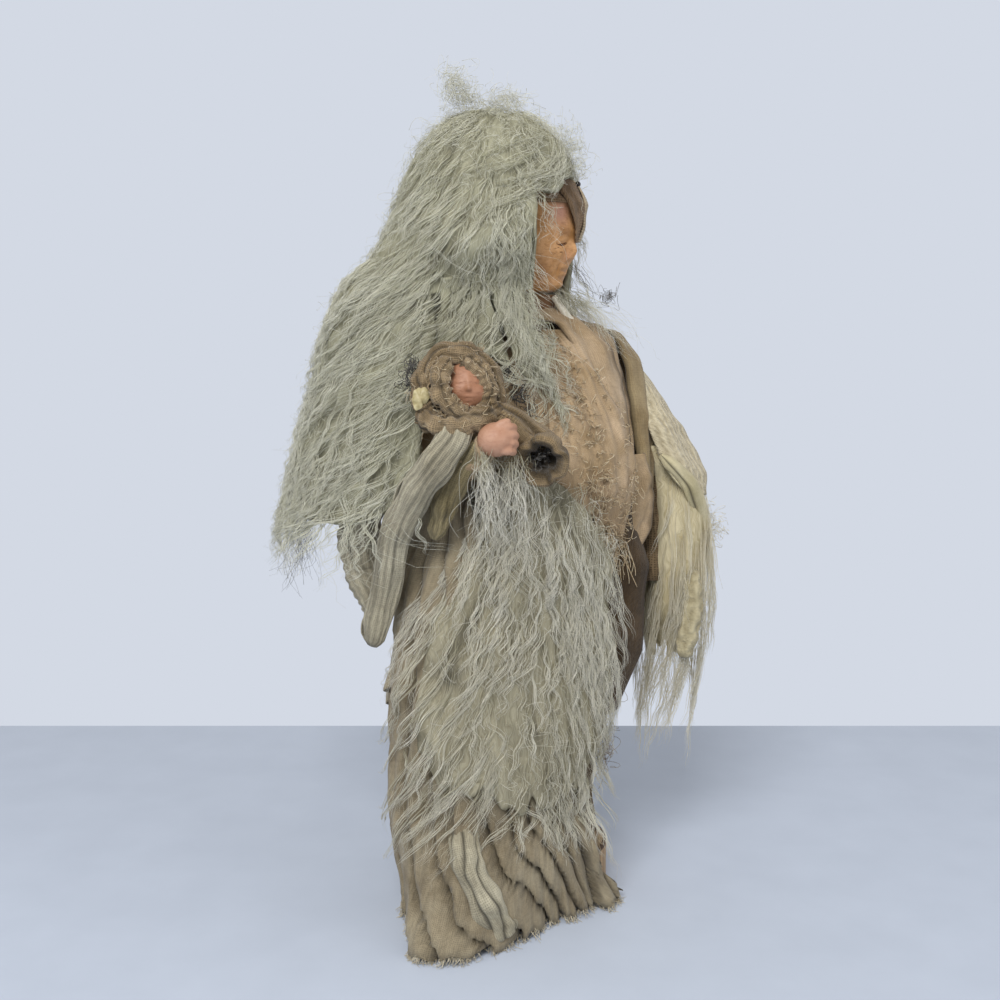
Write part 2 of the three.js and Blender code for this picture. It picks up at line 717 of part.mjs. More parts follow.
const panelInner = bodiceOuter + LAYER_GAP;
const panelOuter = panelInner + 1.3 * PANEL_WALL;
const frontPanel = () =>
  cut(
    wrapLayer({
      from: -34,
      to: 26,
      low: (s) => bodiceBottom + 4 + 14 * (1 - s),
      high: () => SHOULDER_TOP - 14,
      inner: panelInner,
      wall: PANEL_WALL,
      columns: 8,
      rows: 5,
      fold: (s, t) => 0.3 * Math.sin(9 * s + 3 * t),
    }),
    babyBundle(GAP),
    rightHand(GAP),
  );

const leftLapel = () =>
  wrapLayer({
    from: -72,
    to: -37,
    low: () => bodiceBottom + 26,
    high: () => SHOULDER_TOP - 9,
    inner: panelInner,
    wall: 3.5,
    columns: 8,
    fold: (s) => 0.45 * Math.cos(6 * Math.PI * s),
  });

/** Gauze sash that ties the skirt to the bodice under the panel. */
const waistSash = () =>
  cut(
    wrapLayer({
      from: 0,
      to: 350,
      low: () => WAIST_HEIGHT - 3,
      high: () => WAIST_HEIGHT + 3.5,
      inner: bodiceOuter + LAYER_GAP,
      wall: 3,
      columns: 24,
      rows: 1,
    }),
    frontPanel(),
  );

/** The tail of robe cloth that hangs over the skirt on the doll's right and back. */
const sideDrape = () =>
  wrapLayer({
    from: 102,
    to: 150,
    low: (s) => (0.57 + 0.13 * s) * WAIST_HEIGHT,
    high: () => 0.93 * WAIST_HEIGHT,
    inner: skirtEnvelope + LAYER_GAP,
    wall: 3,
    columns: 12,
    fold: (s) => 0.6 * Math.sin(14 * s),
  });

/** The fleece apron over the front and right of the skirt, in hanging locks. */
function apronFleece() {
  return cut(
    wrapLayer({
      from: -6,
      to: 91,
      low: (s) => (0.26 + 0.63 * (2 * s - 1) ** 4) * WAIST_HEIGHT,
      high: (s) => (0.94 + 0.36 * Math.sin(Math.PI * s)) * WAIST_HEIGHT,
      inner: skirtEnvelope + LAYER_GAP,
      wall: APRON_WALL,
      columns: 15,
      rows: 6,
      fold: (s, t) => 0.3 * Math.sin(34 * s + 4 * t) - 0.35 * Math.abs(2 * s - 1) ** 3,
      flare: 1,
    }),
    rightHand(GAP),
    frontPanelEnvelope(),
    rightSleeve(GAP),
  );
}
const frontPanelEnvelope = () =>
  cut(robeCore(panelOuter + LAYER_GAP), below(bodiceBottom));

/** The wide right sleeve: a tube of knit on the arm and the drape that hangs from the forearm. */
function rightSleeve(grow = 0) {
  const side = new THREE.Vector3().subVectors(RIGHT_WRIST, RIGHT_ELBOW).setZ(0).normalize();
  const across = new THREE.Vector3(side.y, -side.x, 0);
  const length = RIGHT_WRIST.distanceTo(RIGHT_ELBOW);
  const grid = (face) =>
    steps(4, 0, 1).map((t) =>
      steps(6, -0.3, 0.86).map((s) => {
        const top = THREE.MathUtils.lerp(RIGHT_ELBOW.z, RIGHT_WRIST.z, s);
        const drop = ARM_RADIUS + 8 + 86 * THREE.MathUtils.smoothstep(0.9 - s, 0, 1.15) + grow;
        const sway = 2.4 * Math.sin(9 * s + 2.2 * t) * t - 2 * t;
        return RIGHT_ELBOW.clone()
          .addScaledVector(side, s * length)
          .addScaledVector(across, sway + face * (SLEEVE_DRAPE * (0.5 + 0.2 * t) + grow))
          .setZ(top - drop * t);
      }),
    );
  const radius = ARM_RADIUS + GAP + SLEEVE_WALL + grow;
  const upper = new THREE.Vector3().lerpVectors(RIGHT_SHOULDER, RIGHT_ELBOW, 0.3);
  const cuff = new THREE.Vector3().lerpVectors(RIGHT_ELBOW, RIGHT_WRIST, 0.82);
  const tube = limb([upper, RIGHT_ELBOW, cuff], [radius, radius + 1, radius - 1]);
  return join(tube, sheet(grid(1), grid(-1)));
}

const rightSleeveFitted = () =>
  cut(
    rightSleeve(),
    robeCore(skirtEnvelope + LAYER_GAP),
    rightUpperArm(GAP),
    rightForearm(GAP),
    shoulderWire(GAP),
    rightHand(GAP),
    sideDrape(),
    babyHood(GAP),
    babyBundle(GAP),
    chinWrap(),
  );

// Left arm, which lifts at the shoulder
const armAt = (z) => {
  const upper = z > LEFT_ELBOW.z;
  const [a, b] = upper ? [LEFT_SHOULDER, LEFT_ELBOW] : [LEFT_ELBOW, LEFT_WRIST];
  return new THREE.Vector3().lerpVectors(a, b, (z - a.z) / (b.z - a.z)).setZ(z);
};

const leftUpperArm = (grow = 0) =>
  cut(
    limb(
      [0.16, 0.88].map((t) => new THREE.Vector3().lerpVectors(LEFT_SHOULDER, LEFT_ELBOW, t)),
      [ARM_RADIUS - 1 + grow, ARM_RADIUS + grow],
    ),
    leftWire(GAP),
  );
const leftForearm = (grow = 0) =>
  cut(
    limb(
      [0.22, 0.86].map((t) => new THREE.Vector3().lerpVectors(LEFT_ELBOW, LEFT_WRIST, t)),
      [ARM_RADIUS + grow, WRIST_RADIUS + grow],
    ),
    leftWire(GAP),
  );

function leftHand() {
  const place = LEFT_WRIST.clone().add(new THREE.Vector3(1.5, -3, -13));
  const hang = new THREE.Matrix4()
    .makeTranslation(place.x, place.y, place.z)
    .multiply(new THREE.Matrix4().makeRotationFromEuler(new THREE.Euler(1.35, 0.2, 1.4, "ZYX")));
  return cut(handShape(0, 2).applyMatrix4(hang), leftForearm(GAP), leftWire(GAP));
}

/** Rings round the hanging left arm; reaches are radii at each share of the way down. */
function sleeveRings(top, bottom, radii, around, grow, fold = () => 0) {
  return steps(5, 0, 1).map((t) => {
    const z = THREE.MathUtils.lerp(top, bottom, t);
    const middle = armAt(z);
    const span = t * (radii.length - 1);
    const k = Math.min(Math.floor(span), radii.length - 2);
    const radius = THREE.MathUtils.lerp(radii[k], radii[k + 1], span - k) + grow;
    return turns(around).map((a) =>
      polar(radius + fold(a, t), a, z, middle.x, middle.y),
    );
  });
}

const armholeRadius = ARM_RADIUS - 1 + GAP + SLEEVE_WALL;
const armGirths = (...shares) => shares.map((share) => share * ARM_RADIUS);
const SLEEVE_RADII = [armholeRadius, armholeRadius, ...armGirths(2.3, 2.6, 2.8, 2.9)];
const OVERSLEEVE_RADII = armGirths(2, 2.6, 2.9, 3.1, 3, 2.5);
const CUFF_RADII = armGirths(2.2, 2.8, 2.8, 1.9);
const sleeveTop = SHOULDER_LEVEL + 8;
const sleeveBottom = LEFT_WRIST.z + 4;
const oversleeveTop = SHOULDER_LEVEL - 16;
const oversleeveBottom = LEFT_WRIST.z - 32;
const cuffBottom = LEFT_WRIST.z - 98;
const sleeveFold = (a, t) => 1.6 * t * Math.sin(7 * a);
const swingClear = () => bodiceEnvelope(SWING_GAP + 2);
const lapelClear = () =>
  cut(robeCore(panelInner + 7), below(bodiceBottom), above(SHOULDER_TOP - 8));

const leftSleeve = () =>
  cut(
    sheet(
      sleeveRings(sleeveTop, sleeveBottom, SLEEVE_RADII, 19, 0, sleeveFold),
      sleeveRings(sleeveTop, sleeveBottom, SLEEVE_RADII, 19, -SLEEVE_WALL, sleeveFold),
      true,
    ),
    swingClear(),
    lapelClear(),
    leftUpperArm(GAP),
  );

/** The cream oversleeve, a drape over the outer half of the left sleeve. */
const oversleeveRings = (grow, bottom = oversleeveBottom) =>
  sleeveRings(oversleeveTop, bottom, OVERSLEEVE_RADII, 27, grow, sleeveFold);
const oversleeveInner = LAYER_GAP + 1.6;

function leftOversleeve() {
  const half = (grow) => oversleeveRings(grow).map((ring) => ring.slice(10, 26));
  return cut(
    sheet(half(oversleeveInner + OVERSLEEVE_WALL), half(oversleeveInner)),
    swingClear(),
    lapelClear(),
  );
}

/** Fleece that lines the left cuff and spills below it. */
function leftCuffFleece() {
  const top = sleeveBottom - LAYER_GAP;
  const lock = (a, t) => 2.5 * Math.sin(9 * a) * t;
  const bottom = oversleeveBottom - LAYER_GAP;
  return cut(
    sheet(
      sleeveRings(top, cuffBottom, CUFF_RADII, 18, 0, lock),
      sleeveRings(top, cuffBottom, CUFF_RADII, 18, -FLEECE_DEPTH * 0.55),
      true,
    ),
    sheet(
      oversleeveRings(oversleeveInner + OVERSLEEVE_WALL + GAP, bottom),
      oversleeveRings(LAYER_GAP, bottom),
      true,
    ),
    leftHand(),
    swingClear(),
    cut(robeCore(skirtEnvelope + SWING_GAP), above(WAIST_HEIGHT)),
  );
}

// Head, which turns on its peg
const skullRadius = (z, a) => sectionRadius(reachAt(SKULL, z), a, 2.2);

/** A soft bump of a given depth on the face, centred off the middle line. */
const bump = (depth, x, z, width, height, at) =>
  depth * Math.exp(-(((at.x - x) / width) ** 2) - ((at.z - z) / height) ** 2);

/** How far the face stands out of the plain head at a place on its front. */
function faceRelief(at) {
  const share = HEAD_HEIGHT / 75;
  const pair = (depth, x, z, width, height) =>
    bump(depth, x, z, width, height, at) + bump(depth, -x, z, width, height, at);
  return (
    bump(NOSE_DEPTH, 0, 32 * share, 4.2, 6, at) +
    bump(0.45 * NOSE_DEPTH, 0, 41 * share, 3.2, 6, at) +
    bump(1.8, 0, 21 * share, 8, 2.2, at) +
    bump(1.2, 0, 16.5 * share, 6.5, 2, at) -
    bump(1.4, 0, 18.8 * share, 8, 1, at) +
    bump(2.6, 0, 8 * share, 7, 5, at) +
    pair(1.8, 13, 28 * share, 6, 6) -
    pair(2.6, 9.5, 40 * share, 5, 3.6) +
    pair(1.4, 9.5, 39 * share, 3.6, 2) +
    pair(1.5, 9, 46.5 * share, 6, 2.6)
  );
}

function headShape(grow = 0, around = 28, levels = 14) {
  const angles = steps(around - 1, 0, around - 1).map((i) => {
    const turn = (2 * Math.PI * i) / around;
    return turn - 0.45 * Math.sin(turn); // closer together on the face
  });
  const rings = steps(levels, 0, 1).map((t) => {
    const z = HEAD_HEIGHT * t;
    return angles.map((a) => {
      const plain = skullRadius(z, a);
      const x = plain * Math.sin(a);
      const front = Math.max(0, Math.cos(a));
      const relief = front > 0 ? faceRelief({ x, z }) * Math.min(1, 2 * front) : 0;
      return polar(plain + relief + grow, a, HEAD_BOTTOM - grow + (1 + (2 * grow) / HEAD_HEIGHT) * z);
    });
  });
  return loft(rings).rotateZ(HEAD_TURN);
}

const head = () => cut(headShape(), bar(PEG_RADIUS + GAP, 0, pegTop + GAP));

const bandBottom = HEAD_BOTTOM + 0.6 * HEAD_HEIGHT;

function bandRing(inner, outer, low, high) {
  const around = 24;
  const ring = (extra) =>
    [low, (low + high) / 2, high].map((z, i) =>
      turns(around).map((a) =>
        polar(
          skullRadius(bandBottom - HEAD_BOTTOM + 0.4 * BAND_HEIGHT, a) + extra + (i === 1 ? 0.8 : 0),
          a,
          z,
        ),
      ),
    );
  return sheet(ring(outer), ring(inner), true).rotateZ(HEAD_TURN);
}

const headband = () =>
  cut(bandRing(-6, BAND_WALL + 1, bandBottom, bandBottom + BAND_HEIGHT), headShape(GAP));
const bandEnvelope = (grow = LAYER_GAP) =>
  bandRing(-12, BAND_WALL + 1 + grow, bandBottom - grow, bandBottom + BAND_HEIGHT + grow);

/** The loose end of the headband, which droops over the right of the brow. */
function bandLeaf() {
  const grid = (extra) =>
    steps(4, 0, 1).map((t) =>
      steps(8, 0, 1).map((s) => {
        const a = deg(THREE.MathUtils.lerp(-8, 62, s));
        const droop = LEAF_DROOP * (0.25 + 0.75 * Math.sin(Math.PI * (0.12 + 0.75 * s)) ** 2);
        const z = bandBottom + BAND_HEIGHT - 2 - (BAND_HEIGHT - 4 + droop) * t;
        const bulge = 3 * Math.sin(Math.PI * Math.min(1, 0.25 + 0.75 * t));
        const reach = skullRadius(bandBottom + 0.4 * BAND_HEIGHT - HEAD_BOTTOM, a);
        return polar(reach + BAND_WALL + 0.6 + bulge + extra, a, z);
      }),
    );
  const leaf = sheet(grid(2), grid(0)).rotateZ(HEAD_TURN);
  return cut(leaf, headShape(GAP), bandEnvelope(GAP));
}

// Wig: wool on its hide, parted over the face
const wigMiddle = new THREE.Vector3(-0.26 * HEAD_HEIGHT, 0.21 * HEAD_HEIGHT, 0);
const WIG = [
  { z: 0, radius: 1.1 * HEAD_HEIGHT },
  { z: 0.25, radius: 0.98 * HEAD_HEIGHT },
  { z: 0.5, radius: 0.82 * HEAD_HEIGHT },
  { z: 0.72, radius: 0.7 * HEAD_HEIGHT },
  { z: 0.88, radius: 0.54 * HEAD_HEIGHT },
  { z: 1, radius: 0.26 * HEAD_HEIGHT },
];
const wigTop = HEAD_TOP + WIG_DEPTH;

/** The whole mass of wool over the head, before it is parted. */
function wigMass(grow = 0) {
  const around = 20;
  const rows = steps(6, 0, 1);
  const rings = rows.map((t) => {
    const i = Math.min(WIG.findIndex((s) => s.z >= t), WIG.length - 1);
    const [a, b] = [WIG[Math.max(0, i - 1)], WIG[i]];
    const share = b.z > a.z ? (t - a.z) / (b.z - a.z) : 0;
    const radius = THREE.MathUtils.lerp(a.radius, b.radius, share) + grow;
    const z = THREE.MathUtils.lerp(NECK_PLANE + GAP, wigTop + grow, t);
    return turns(around).map((angle) => {
      const lock = 1 + 0.035 * Math.sin(9 * angle + 3 * t) + 0.02 * Math.sin(17 * angle - 5 * t);
      return polar(radius * lock, angle, z, wigMiddle.x, wigMiddle.y);
    });
  });
  return loft(rings);
}

/** The parting: a wedge in front of the face, open from the jaw to the brow. */
function faceOpening() {
  const reach = 120;
  const wedge = new THREE.Shape();
  wedge.moveTo(0, 14);
  for (const side of steps(6, -64, 84)) {
    wedge.lineTo(reach * Math.sin(deg(side)), -reach * Math.cos(deg(side)));
  }
  wedge.closePath();
  return new THREE.ExtrudeGeometry(wedge, {
    depth: 0.78 * HEAD_HEIGHT + 20,
    bevelEnabled: false,
  })
    .translate(0, 0, HEAD_BOTTOM - 20)
    .rotateZ(HEAD_TURN);
}

const crownLevel = HEAD_BOTTOM + 0.72 * HEAD_HEIGHT;
const partWall = (turn) =>
  block(new THREE.Vector3(-GAP / 2, -FAR, 0), new THREE.Vector3(FAR, FAR, 2 * FAR)).rotateZ(turn);
const partTurn = HEAD_TURN;
const wigCut = () =>
  cut(wigMass(), headShape(GAP), faceOpening(), bandEnvelope(), bandLeafClear());
const bandLeafClear = () => {
  const heights = [bandBottom - LEAF_DROOP - 2, bandBottom + BAND_HEIGHT + LAYER_GAP];
  const wall = (radius) => heights.map((z) => steps(6, -14, 70).map((a) => polar(radius, deg(a), z)));
  return sheet(wall(0.58 * HEAD_HEIGHT), wall(0.2 * HEAD_HEIGHT)).rotateZ(HEAD_TURN);
};

const wigCrown = () => cut(wigCut(), below(crownLevel + GAP), topknotClear());
const wigRight = () => cut(wigCut(), above(crownLevel), partWall(partTurn));
const wigLeft = () => within(cut(wigCut(), above(crownLevel)), partWallLeft());
const partWallLeft = () =>
  block(new THREE.Vector3(GAP, -FAR, 0), new THREE.Vector3(FAR, FAR, 2 * FAR)).rotateZ(partTurn);

const knotPlace = new THREE.Vector3(-0.37 * HEAD_HEIGHT, 0.3 * HEAD_HEIGHT, wigTop - 8);
const topknotClear = () => ball(knotPlace, 15 + GAP, 12);
function wigTopknot() {
  const tuft = limb(
    [knotPlace, knotPlace.clone().add(new THREE.Vector3(-6, 5, TOPKNOT_HEIGHT))],
    [12, 6],
    10,
  );
  return within(join(ball(knotPlace, 15, 12), tuft), above(crownLevel + 2 * GAP));
}

// Hair that hangs below the neck
/** A hanging fall of locks between two angles; radii run from the neck to the tips. */
function wigFall({ from, to, tips, outer, wall, columns = 9, grow = 0 }) {
  const angles = steps(columns, deg(from), deg(to));
  const grid = (inside) =>
    steps(7, 0, 1).map((t) =>
      angles.map((a, j) => {
        const s = j / columns;
        const z = THREE.MathUtils.lerp(NECK_PLANE - GAP, tips(s), t);
        const ridge = 2.2 * Math.sin(2.4 * j + 4 * t);
        const thin = wall * (1 - 0.55 * t) + 2 * grow;
        return polar(outer(s, t) + grow + ridge - (inside ? thin : 0), a, z, wigMiddle.x, wigMiddle.y);
      }),
    );
  return sheet(grid(false), grid(true));
}

const sleeveClear = () => rightSleeve(GAP + LAYER_GAP);
const bodyCutters = () => [
  bodiceEnvelope(),
  rightUpperArm(LAYER_GAP),
  rightForearm(LAYER_GAP),
  babyHood(LAYER_GAP),
  babyBundle(LAYER_GAP),
  sleeveClear(),
  ball(RIGHT_ELBOW, ARM_RADIUS + LAYER_GAP, 14),
  ball(RIGHT_SHOULDER, ARM_RADIUS, 14),
];

const backFall = () =>
  cut(
    wigFall({
      from: 152,
      to: 226,
      tips: (s) => (0.69 + 0.03 * Math.sin(5 * s)) * SHOULDER_TOP,
      outer: (s, t) => WIG[0].radius + 38 * t,
      wall: 0.45 * HEAD_HEIGHT,
      columns: 12,
    }),
    ...bodyCutters(),
  );
const rightFall = () =>
  cut(
    wigFall({
      from: 99,
      to: 151,
      tips: (s) => (0.705 - 0.02 * s) * SHOULDER_TOP,
      outer: (s, t) => WIG[0].radius + (32 + 26 * s) * t,
      wall: 0.45 * HEAD_HEIGHT,
    }),
    ...bodyCutters(),
    chinWrap(),
    hoodCharm(),
  );
const leftFall = () =>
  cut(
    wigFall({
      from: 227,
      to: 286,
      tips: (s) => (0.757 + 0.156 * s) * SHOULDER_TOP,
      outer: (s, t) => WIG[0].radius - 12 + (40 - 30 * s) * t,
      wall: 0.37 * HEAD_HEIGHT,
    }),
    bodiceEnvelope(),
    leftArmClear(),
  );
const leftArmClear = () =>
  loft(sleeveRings(sleeveTop + SWING_GAP + 2, 150, [17, 22, 29, 34, 36, 36], 24, 6));

const shoulderLock = () =>
  cut(
    wigFall({
      from: 44,
      to: 98,
      tips: (s) => (0.93 + 0.03 * s) * SHOULDER_TOP,
      outer: (s, t) => WIG[0].radius - 20 + 6 * t,
      wall: 0.4 * HEAD_HEIGHT,
    }),
    ...bodyCutters(),
    lapelClear(),
    chinWrap(),
  );
const frontLock = () =>
  cut(
    wigFall({
      from: 14,
      to: 43,
      tips: (s) => (0.844 + 0.035 * s) * SHOULDER_TOP,
      outer: (s, t) => WIG[0].radius - 20 + 24 * Math.sin((Math.PI / 2) * t),
      wall: 0.17 * HEAD_HEIGHT,
      columns: 6,
    }),
    bodiceEnvelope(),
    frontPanelEnvelope(),
    babyHood(LAYER_GAP),
    babyBundle(LAYER_GAP),
  );

/** A short bone tube that hangs at the throat. */
function throatBead() {
  const top = new THREE.Vector3(2.5, -NECK_RADIUS, NECK_BOTTOM + 0.75 * NECK_HEIGHT);
  const foot = new THREE.Vector3(8, -NECK_RADIUS - 8, SHOULDER_TOP + BEAD_RADIUS - 0.5);
  return cut(limb([top, foot], [BEAD_RADIUS, BEAD_RADIUS], 10), neckShape(GAP), bodice());
}

piece("base_disc", baseDisc(), WOOD);
piece("post", post(), WOOD);
piece("post_tube", postTube(), PAPER);
piece("hip_form", hipForm(), MUSLIN);
piece("torso_form", torsoForm(), MUSLIN);
piece("neck_peg", neckPeg(), WOOD);
piece("neck", neck(), CLAY);
piece("shoulder_wire", shoulderWire(), WIRE);
piece("right_upper_arm", cut(rightUpperArm(), shoulderWire(GAP), bodiceEnvelope()), MUSLIN);
piece("right_forearm", cut(rightForearm(), shoulderWire(GAP)), MUSLIN);
piece("right_hand", rightHand(), PINK_CLAY);
piece("underskirt", underskirt(), GAUZE);
piece("overskirt", overskirt(), GAUZE);
piece("bodice", bodice(), GAUZE);
piece("waist_sash", waistSash(), GAUZE);
piece("front_panel", frontPanel(), NETTING);
piece("left_lapel", leftLapel(), GAUZE);
piece("side_drape", sideDrape(), GAUZE);
piece("apron_fleece", apronFleece(), FLEECE);
piece("right_sleeve", rightSleeveFitted(), KNIT);
piece("baby_head", babyHead(), PINK_CLAY);
piece("baby_hood", hoodWithWindow(), NETTING);
piece("baby_chin_wrap", chinWrap(), NETTING);
piece("baby_bundle", openBundle(), NETTING);
piece("hood_charm", hoodCharm(), SHELL);
piece("throat_bead", throatBead(), BONE);
piece("wig_back_fall", backFall(), FLEECE);
piece("wig_right_fall", rightFall(), FLEECE);
piece("wig_left_fall", leftFall(), FLEECE);
piece("wig_shoulder_lock", shoulderLock(), FLEECE);
piece("wig_front_lock", frontLock(), FLEECE);
piece("head", head(), CLAY);
piece("headband", headband(), BROWN_GAUZE);
piece("headband_leaf", bandLeaf(), BROWN_GAUZE);
piece("wig_crown", wigCrown(), FLEECE);
piece("wig_right_side", wigRight(), FLEECE);
piece("wig_left_side", wigLeft(), FLEECE);
piece("wig_topknot", wigTopknot(), FLEECE);
piece("left_arm_wire", leftWire(), WIRE);
piece("left_upper_arm", leftUpperArm(), MUSLIN);
piece("left_forearm", leftForearm(), MUSLIN);
piece("left_hand", leftHand(), PINK_CLAY);
piece("left_sleeve", leftSleeve(), GAUZE);
piece("left_oversleeve", leftOversleeve(), KNIT);
piece("left_cuff_fleece", leftCuffFleece(), FLEECE);

export default doll;
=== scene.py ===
"""A standing art doll in gauze and curly fleece, with a swaddled baby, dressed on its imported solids.

Lengths inside the classes are millimetres in the frame of the solids: the doll faces -Y, its right
hand is on the -X side and +Z is up. Angles run from the front towards the doll's right.
"""

import logging
import math
from dataclasses import dataclass, field
from enum import Enum
from typing import Callable, Sequence

import bpy
import numpy as np
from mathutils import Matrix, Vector


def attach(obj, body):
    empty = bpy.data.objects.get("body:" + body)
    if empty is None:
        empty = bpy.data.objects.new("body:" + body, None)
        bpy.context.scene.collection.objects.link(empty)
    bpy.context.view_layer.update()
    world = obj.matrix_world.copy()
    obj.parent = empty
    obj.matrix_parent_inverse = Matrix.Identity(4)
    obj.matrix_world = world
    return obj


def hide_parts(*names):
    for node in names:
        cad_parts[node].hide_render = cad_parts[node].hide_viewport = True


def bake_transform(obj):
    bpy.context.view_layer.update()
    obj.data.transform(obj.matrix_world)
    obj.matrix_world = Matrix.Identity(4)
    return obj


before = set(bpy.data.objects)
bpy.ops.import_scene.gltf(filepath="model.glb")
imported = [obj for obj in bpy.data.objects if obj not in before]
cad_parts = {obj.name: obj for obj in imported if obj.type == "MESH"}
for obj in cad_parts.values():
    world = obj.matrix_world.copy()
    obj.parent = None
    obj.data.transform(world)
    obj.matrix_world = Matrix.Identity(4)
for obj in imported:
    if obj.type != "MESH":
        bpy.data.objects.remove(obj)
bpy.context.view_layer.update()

MM = 0.001
BAND = 0.314  # scale of a wave texture with one band to a metre
LOG = logging.getLogger("doll")
Array = np.ndarray
Surface = Callable[[Array, Array], Array]
Socket = bpy.types.NodeSocket


class Body(Enum):
    """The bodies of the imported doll."""

    STAND = "stand"
    DOLL = "doll"
    HEAD = "head"
    LEFT_ARM = "left_arm"


class Slot(Enum):
    """The record's material slots."""

    WOOD = "turned_wood"
    MUSLIN = "stuffed_muslin"
    GAUZE = "beige_gauze"
    NETTING = "tan_netting"
    KNIT = "cream_knit"
    FLEECE = "curly_fleece"
    BROWN_GAUZE = "brown_gauze"
    CLAY = "tan_clay"
    PINK_CLAY = "pink_clay"
    BONE = "bone"
    SHELL = "gilt_shell"


# Finishes


def linear(code: str) -> tuple[float, float, float, float]:
    """Turns an sRGB hex colour to linear light.

    Args:
        code: colour as "#rrggbb".

    Returns:
        Linear red, green and blue with an alpha of 1.
    """
    parts = [int(code[i:i + 2], 16) / 255 for i in (1, 3, 5)]
    red, green, blue = (c / 12.92 if c <= 0.04045 else ((c + 0.055) / 1.055) ** 2.4 for c in parts)
    return red, green, blue, 1.0


class Nodes:
    """Adds nodes to one tree and hands on the sockets that they give out."""

    def __init__(self, tree: bpy.types.NodeTree) -> None:
        """Takes the tree."""
        self.tree = tree

    def add(self, kind: str, links: dict | None = None, **settings) -> bpy.types.Node:
        """Adds a node with its settings, values and links.

        Args:
            kind: Blender's name of the node type, without its first two words.
            links: socket name or index to a value, a hex colour or the output socket that feeds it.
            settings: properties of the node.

        Returns:
            The new node.
        """
        made = self.tree.nodes.new("ShaderNode" + kind)
        for key, value in settings.items():
            setattr(made, key, value)
        for key, value in (links or {}).items():
            if isinstance(value, Socket):
                self.tree.links.new(value, made.inputs[key])
            else:
                made.inputs[key].default_value = linear(value) if isinstance(value, str) else value
        return made

    def weave(self) -> Socket:
        """Gives the place in the cloth's own weave."""
        return self.add("UVMap", uv_map="Weave").outputs[0]

    def place(self) -> Socket:
        """Gives the place in the piece."""
        return self.add("TexCoord").outputs["Object"]

    def mark(self, key: str) -> Socket:
        """Gives a number that the mesh's points carry."""
        return self.add("Attribute", attribute_name=key).outputs["Fac"]

    def math(self, operation: str, *values: Socket | float) -> Socket:
        """Works out one step of arithmetic."""
        return self.add("Math", dict(enumerate(values)), operation=operation).outputs[0]

    def level(self, value: Socket, low: float, high: float, first: float = 0.0, last: float = 1.0) -> Socket:
        """Maps the values from low to high to those from first to last."""
        ends = {"From Min": low, "From Max": high, "To Min": first, "To Max": last}
        return self.add("MapRange", {"Value": value, **ends}).outputs[0]

    def mix(self, share: Socket, first: Socket | str, second: Socket | str) -> Socket:
        """Mixes two colours."""
        return self.add("Mix", {"Factor": share, 6: first, 7: second}, data_type="RGBA").outputs[2]

    def dim(self, colour: Socket, share: Socket) -> Socket:
        """Scales a colour's brightness."""
        return self.add("VectorMath", {0: colour, 3: share}, operation="SCALE").outputs[0]

    def stretch(self, spot: Socket, scale: Sequence[float], shift: Sequence[float] = (0, 0, 0)) -> Socket:
        """Scales and shifts the places that a texture reads."""
        return self.add("Mapping", {"Vector": spot, "Location": shift, "Scale": scale}).outputs[0]

    def noise(self, spot: Socket, scale: float, detail: float, rough: float = 0.5, bent: float = 0.0) -> Socket:
        """Gives soft noise."""
        values = {"Scale": scale, "Detail": detail, "Roughness": rough, "Distortion": bent}
        return self.add("TexNoise", {"Vector": spot, **values}).outputs["Fac"]

    def wave(self, spot: Socket, pitch: float, bent: float, detail: float, fine: float = 1.0, **settings) -> Socket:
        """Gives bands or rings at a pitch in millimetres."""
        values = {"Scale": BAND / (pitch * MM), "Distortion": bent, "Detail": detail, "Detail Scale": fine}
        return self.add("TexWave", {"Vector": spot, **values}, **settings).outputs["Fac"]

    def coat(self, colour: Socket, roughness: float, **values: float) -> None:
        """Gives the shader its colour, its roughness and further values.

        Args:
            colour: the base colour.
            roughness: roughness of the surface.
            values: further shader values, with underscores for the spaces in their names.
        """
        shader = self.tree.nodes["Principled BSDF"]
        self.tree.links.new(colour, shader.inputs["Base Color"])
        for key, value in {"Roughness": roughness, **values}.items():
            shader.inputs[key.replace("_", " ")].default_value = value

    def bump(self, height: Socket, strength: float, depth: float) -> None:
        """Gives the shader relief of a depth in millimetres."""
        made = self.add("Bump", {"Height": height, "Strength": strength, "Distance": depth * MM})
        self.tree.links.new(made.outputs[0], self.tree.nodes["Principled BSDF"].inputs["Normal"])


@dataclass(frozen=True)
class Finish:
    """A material, named for the real one."""

    name: str

    def paint(self, nodes: Nodes) -> None:
        """Adds the material's nodes."""
        raise NotImplementedError

    def material(self) -> bpy.types.Material:
        """Builds the node material, once.

        Returns:
            The material.
        """
        made = bpy.data.materials.get(self.name)
        if made is None:
            made = bpy.data.materials.new(self.name)
            made.use_nodes = True
            self.paint(Nodes(made.node_tree))
        return made


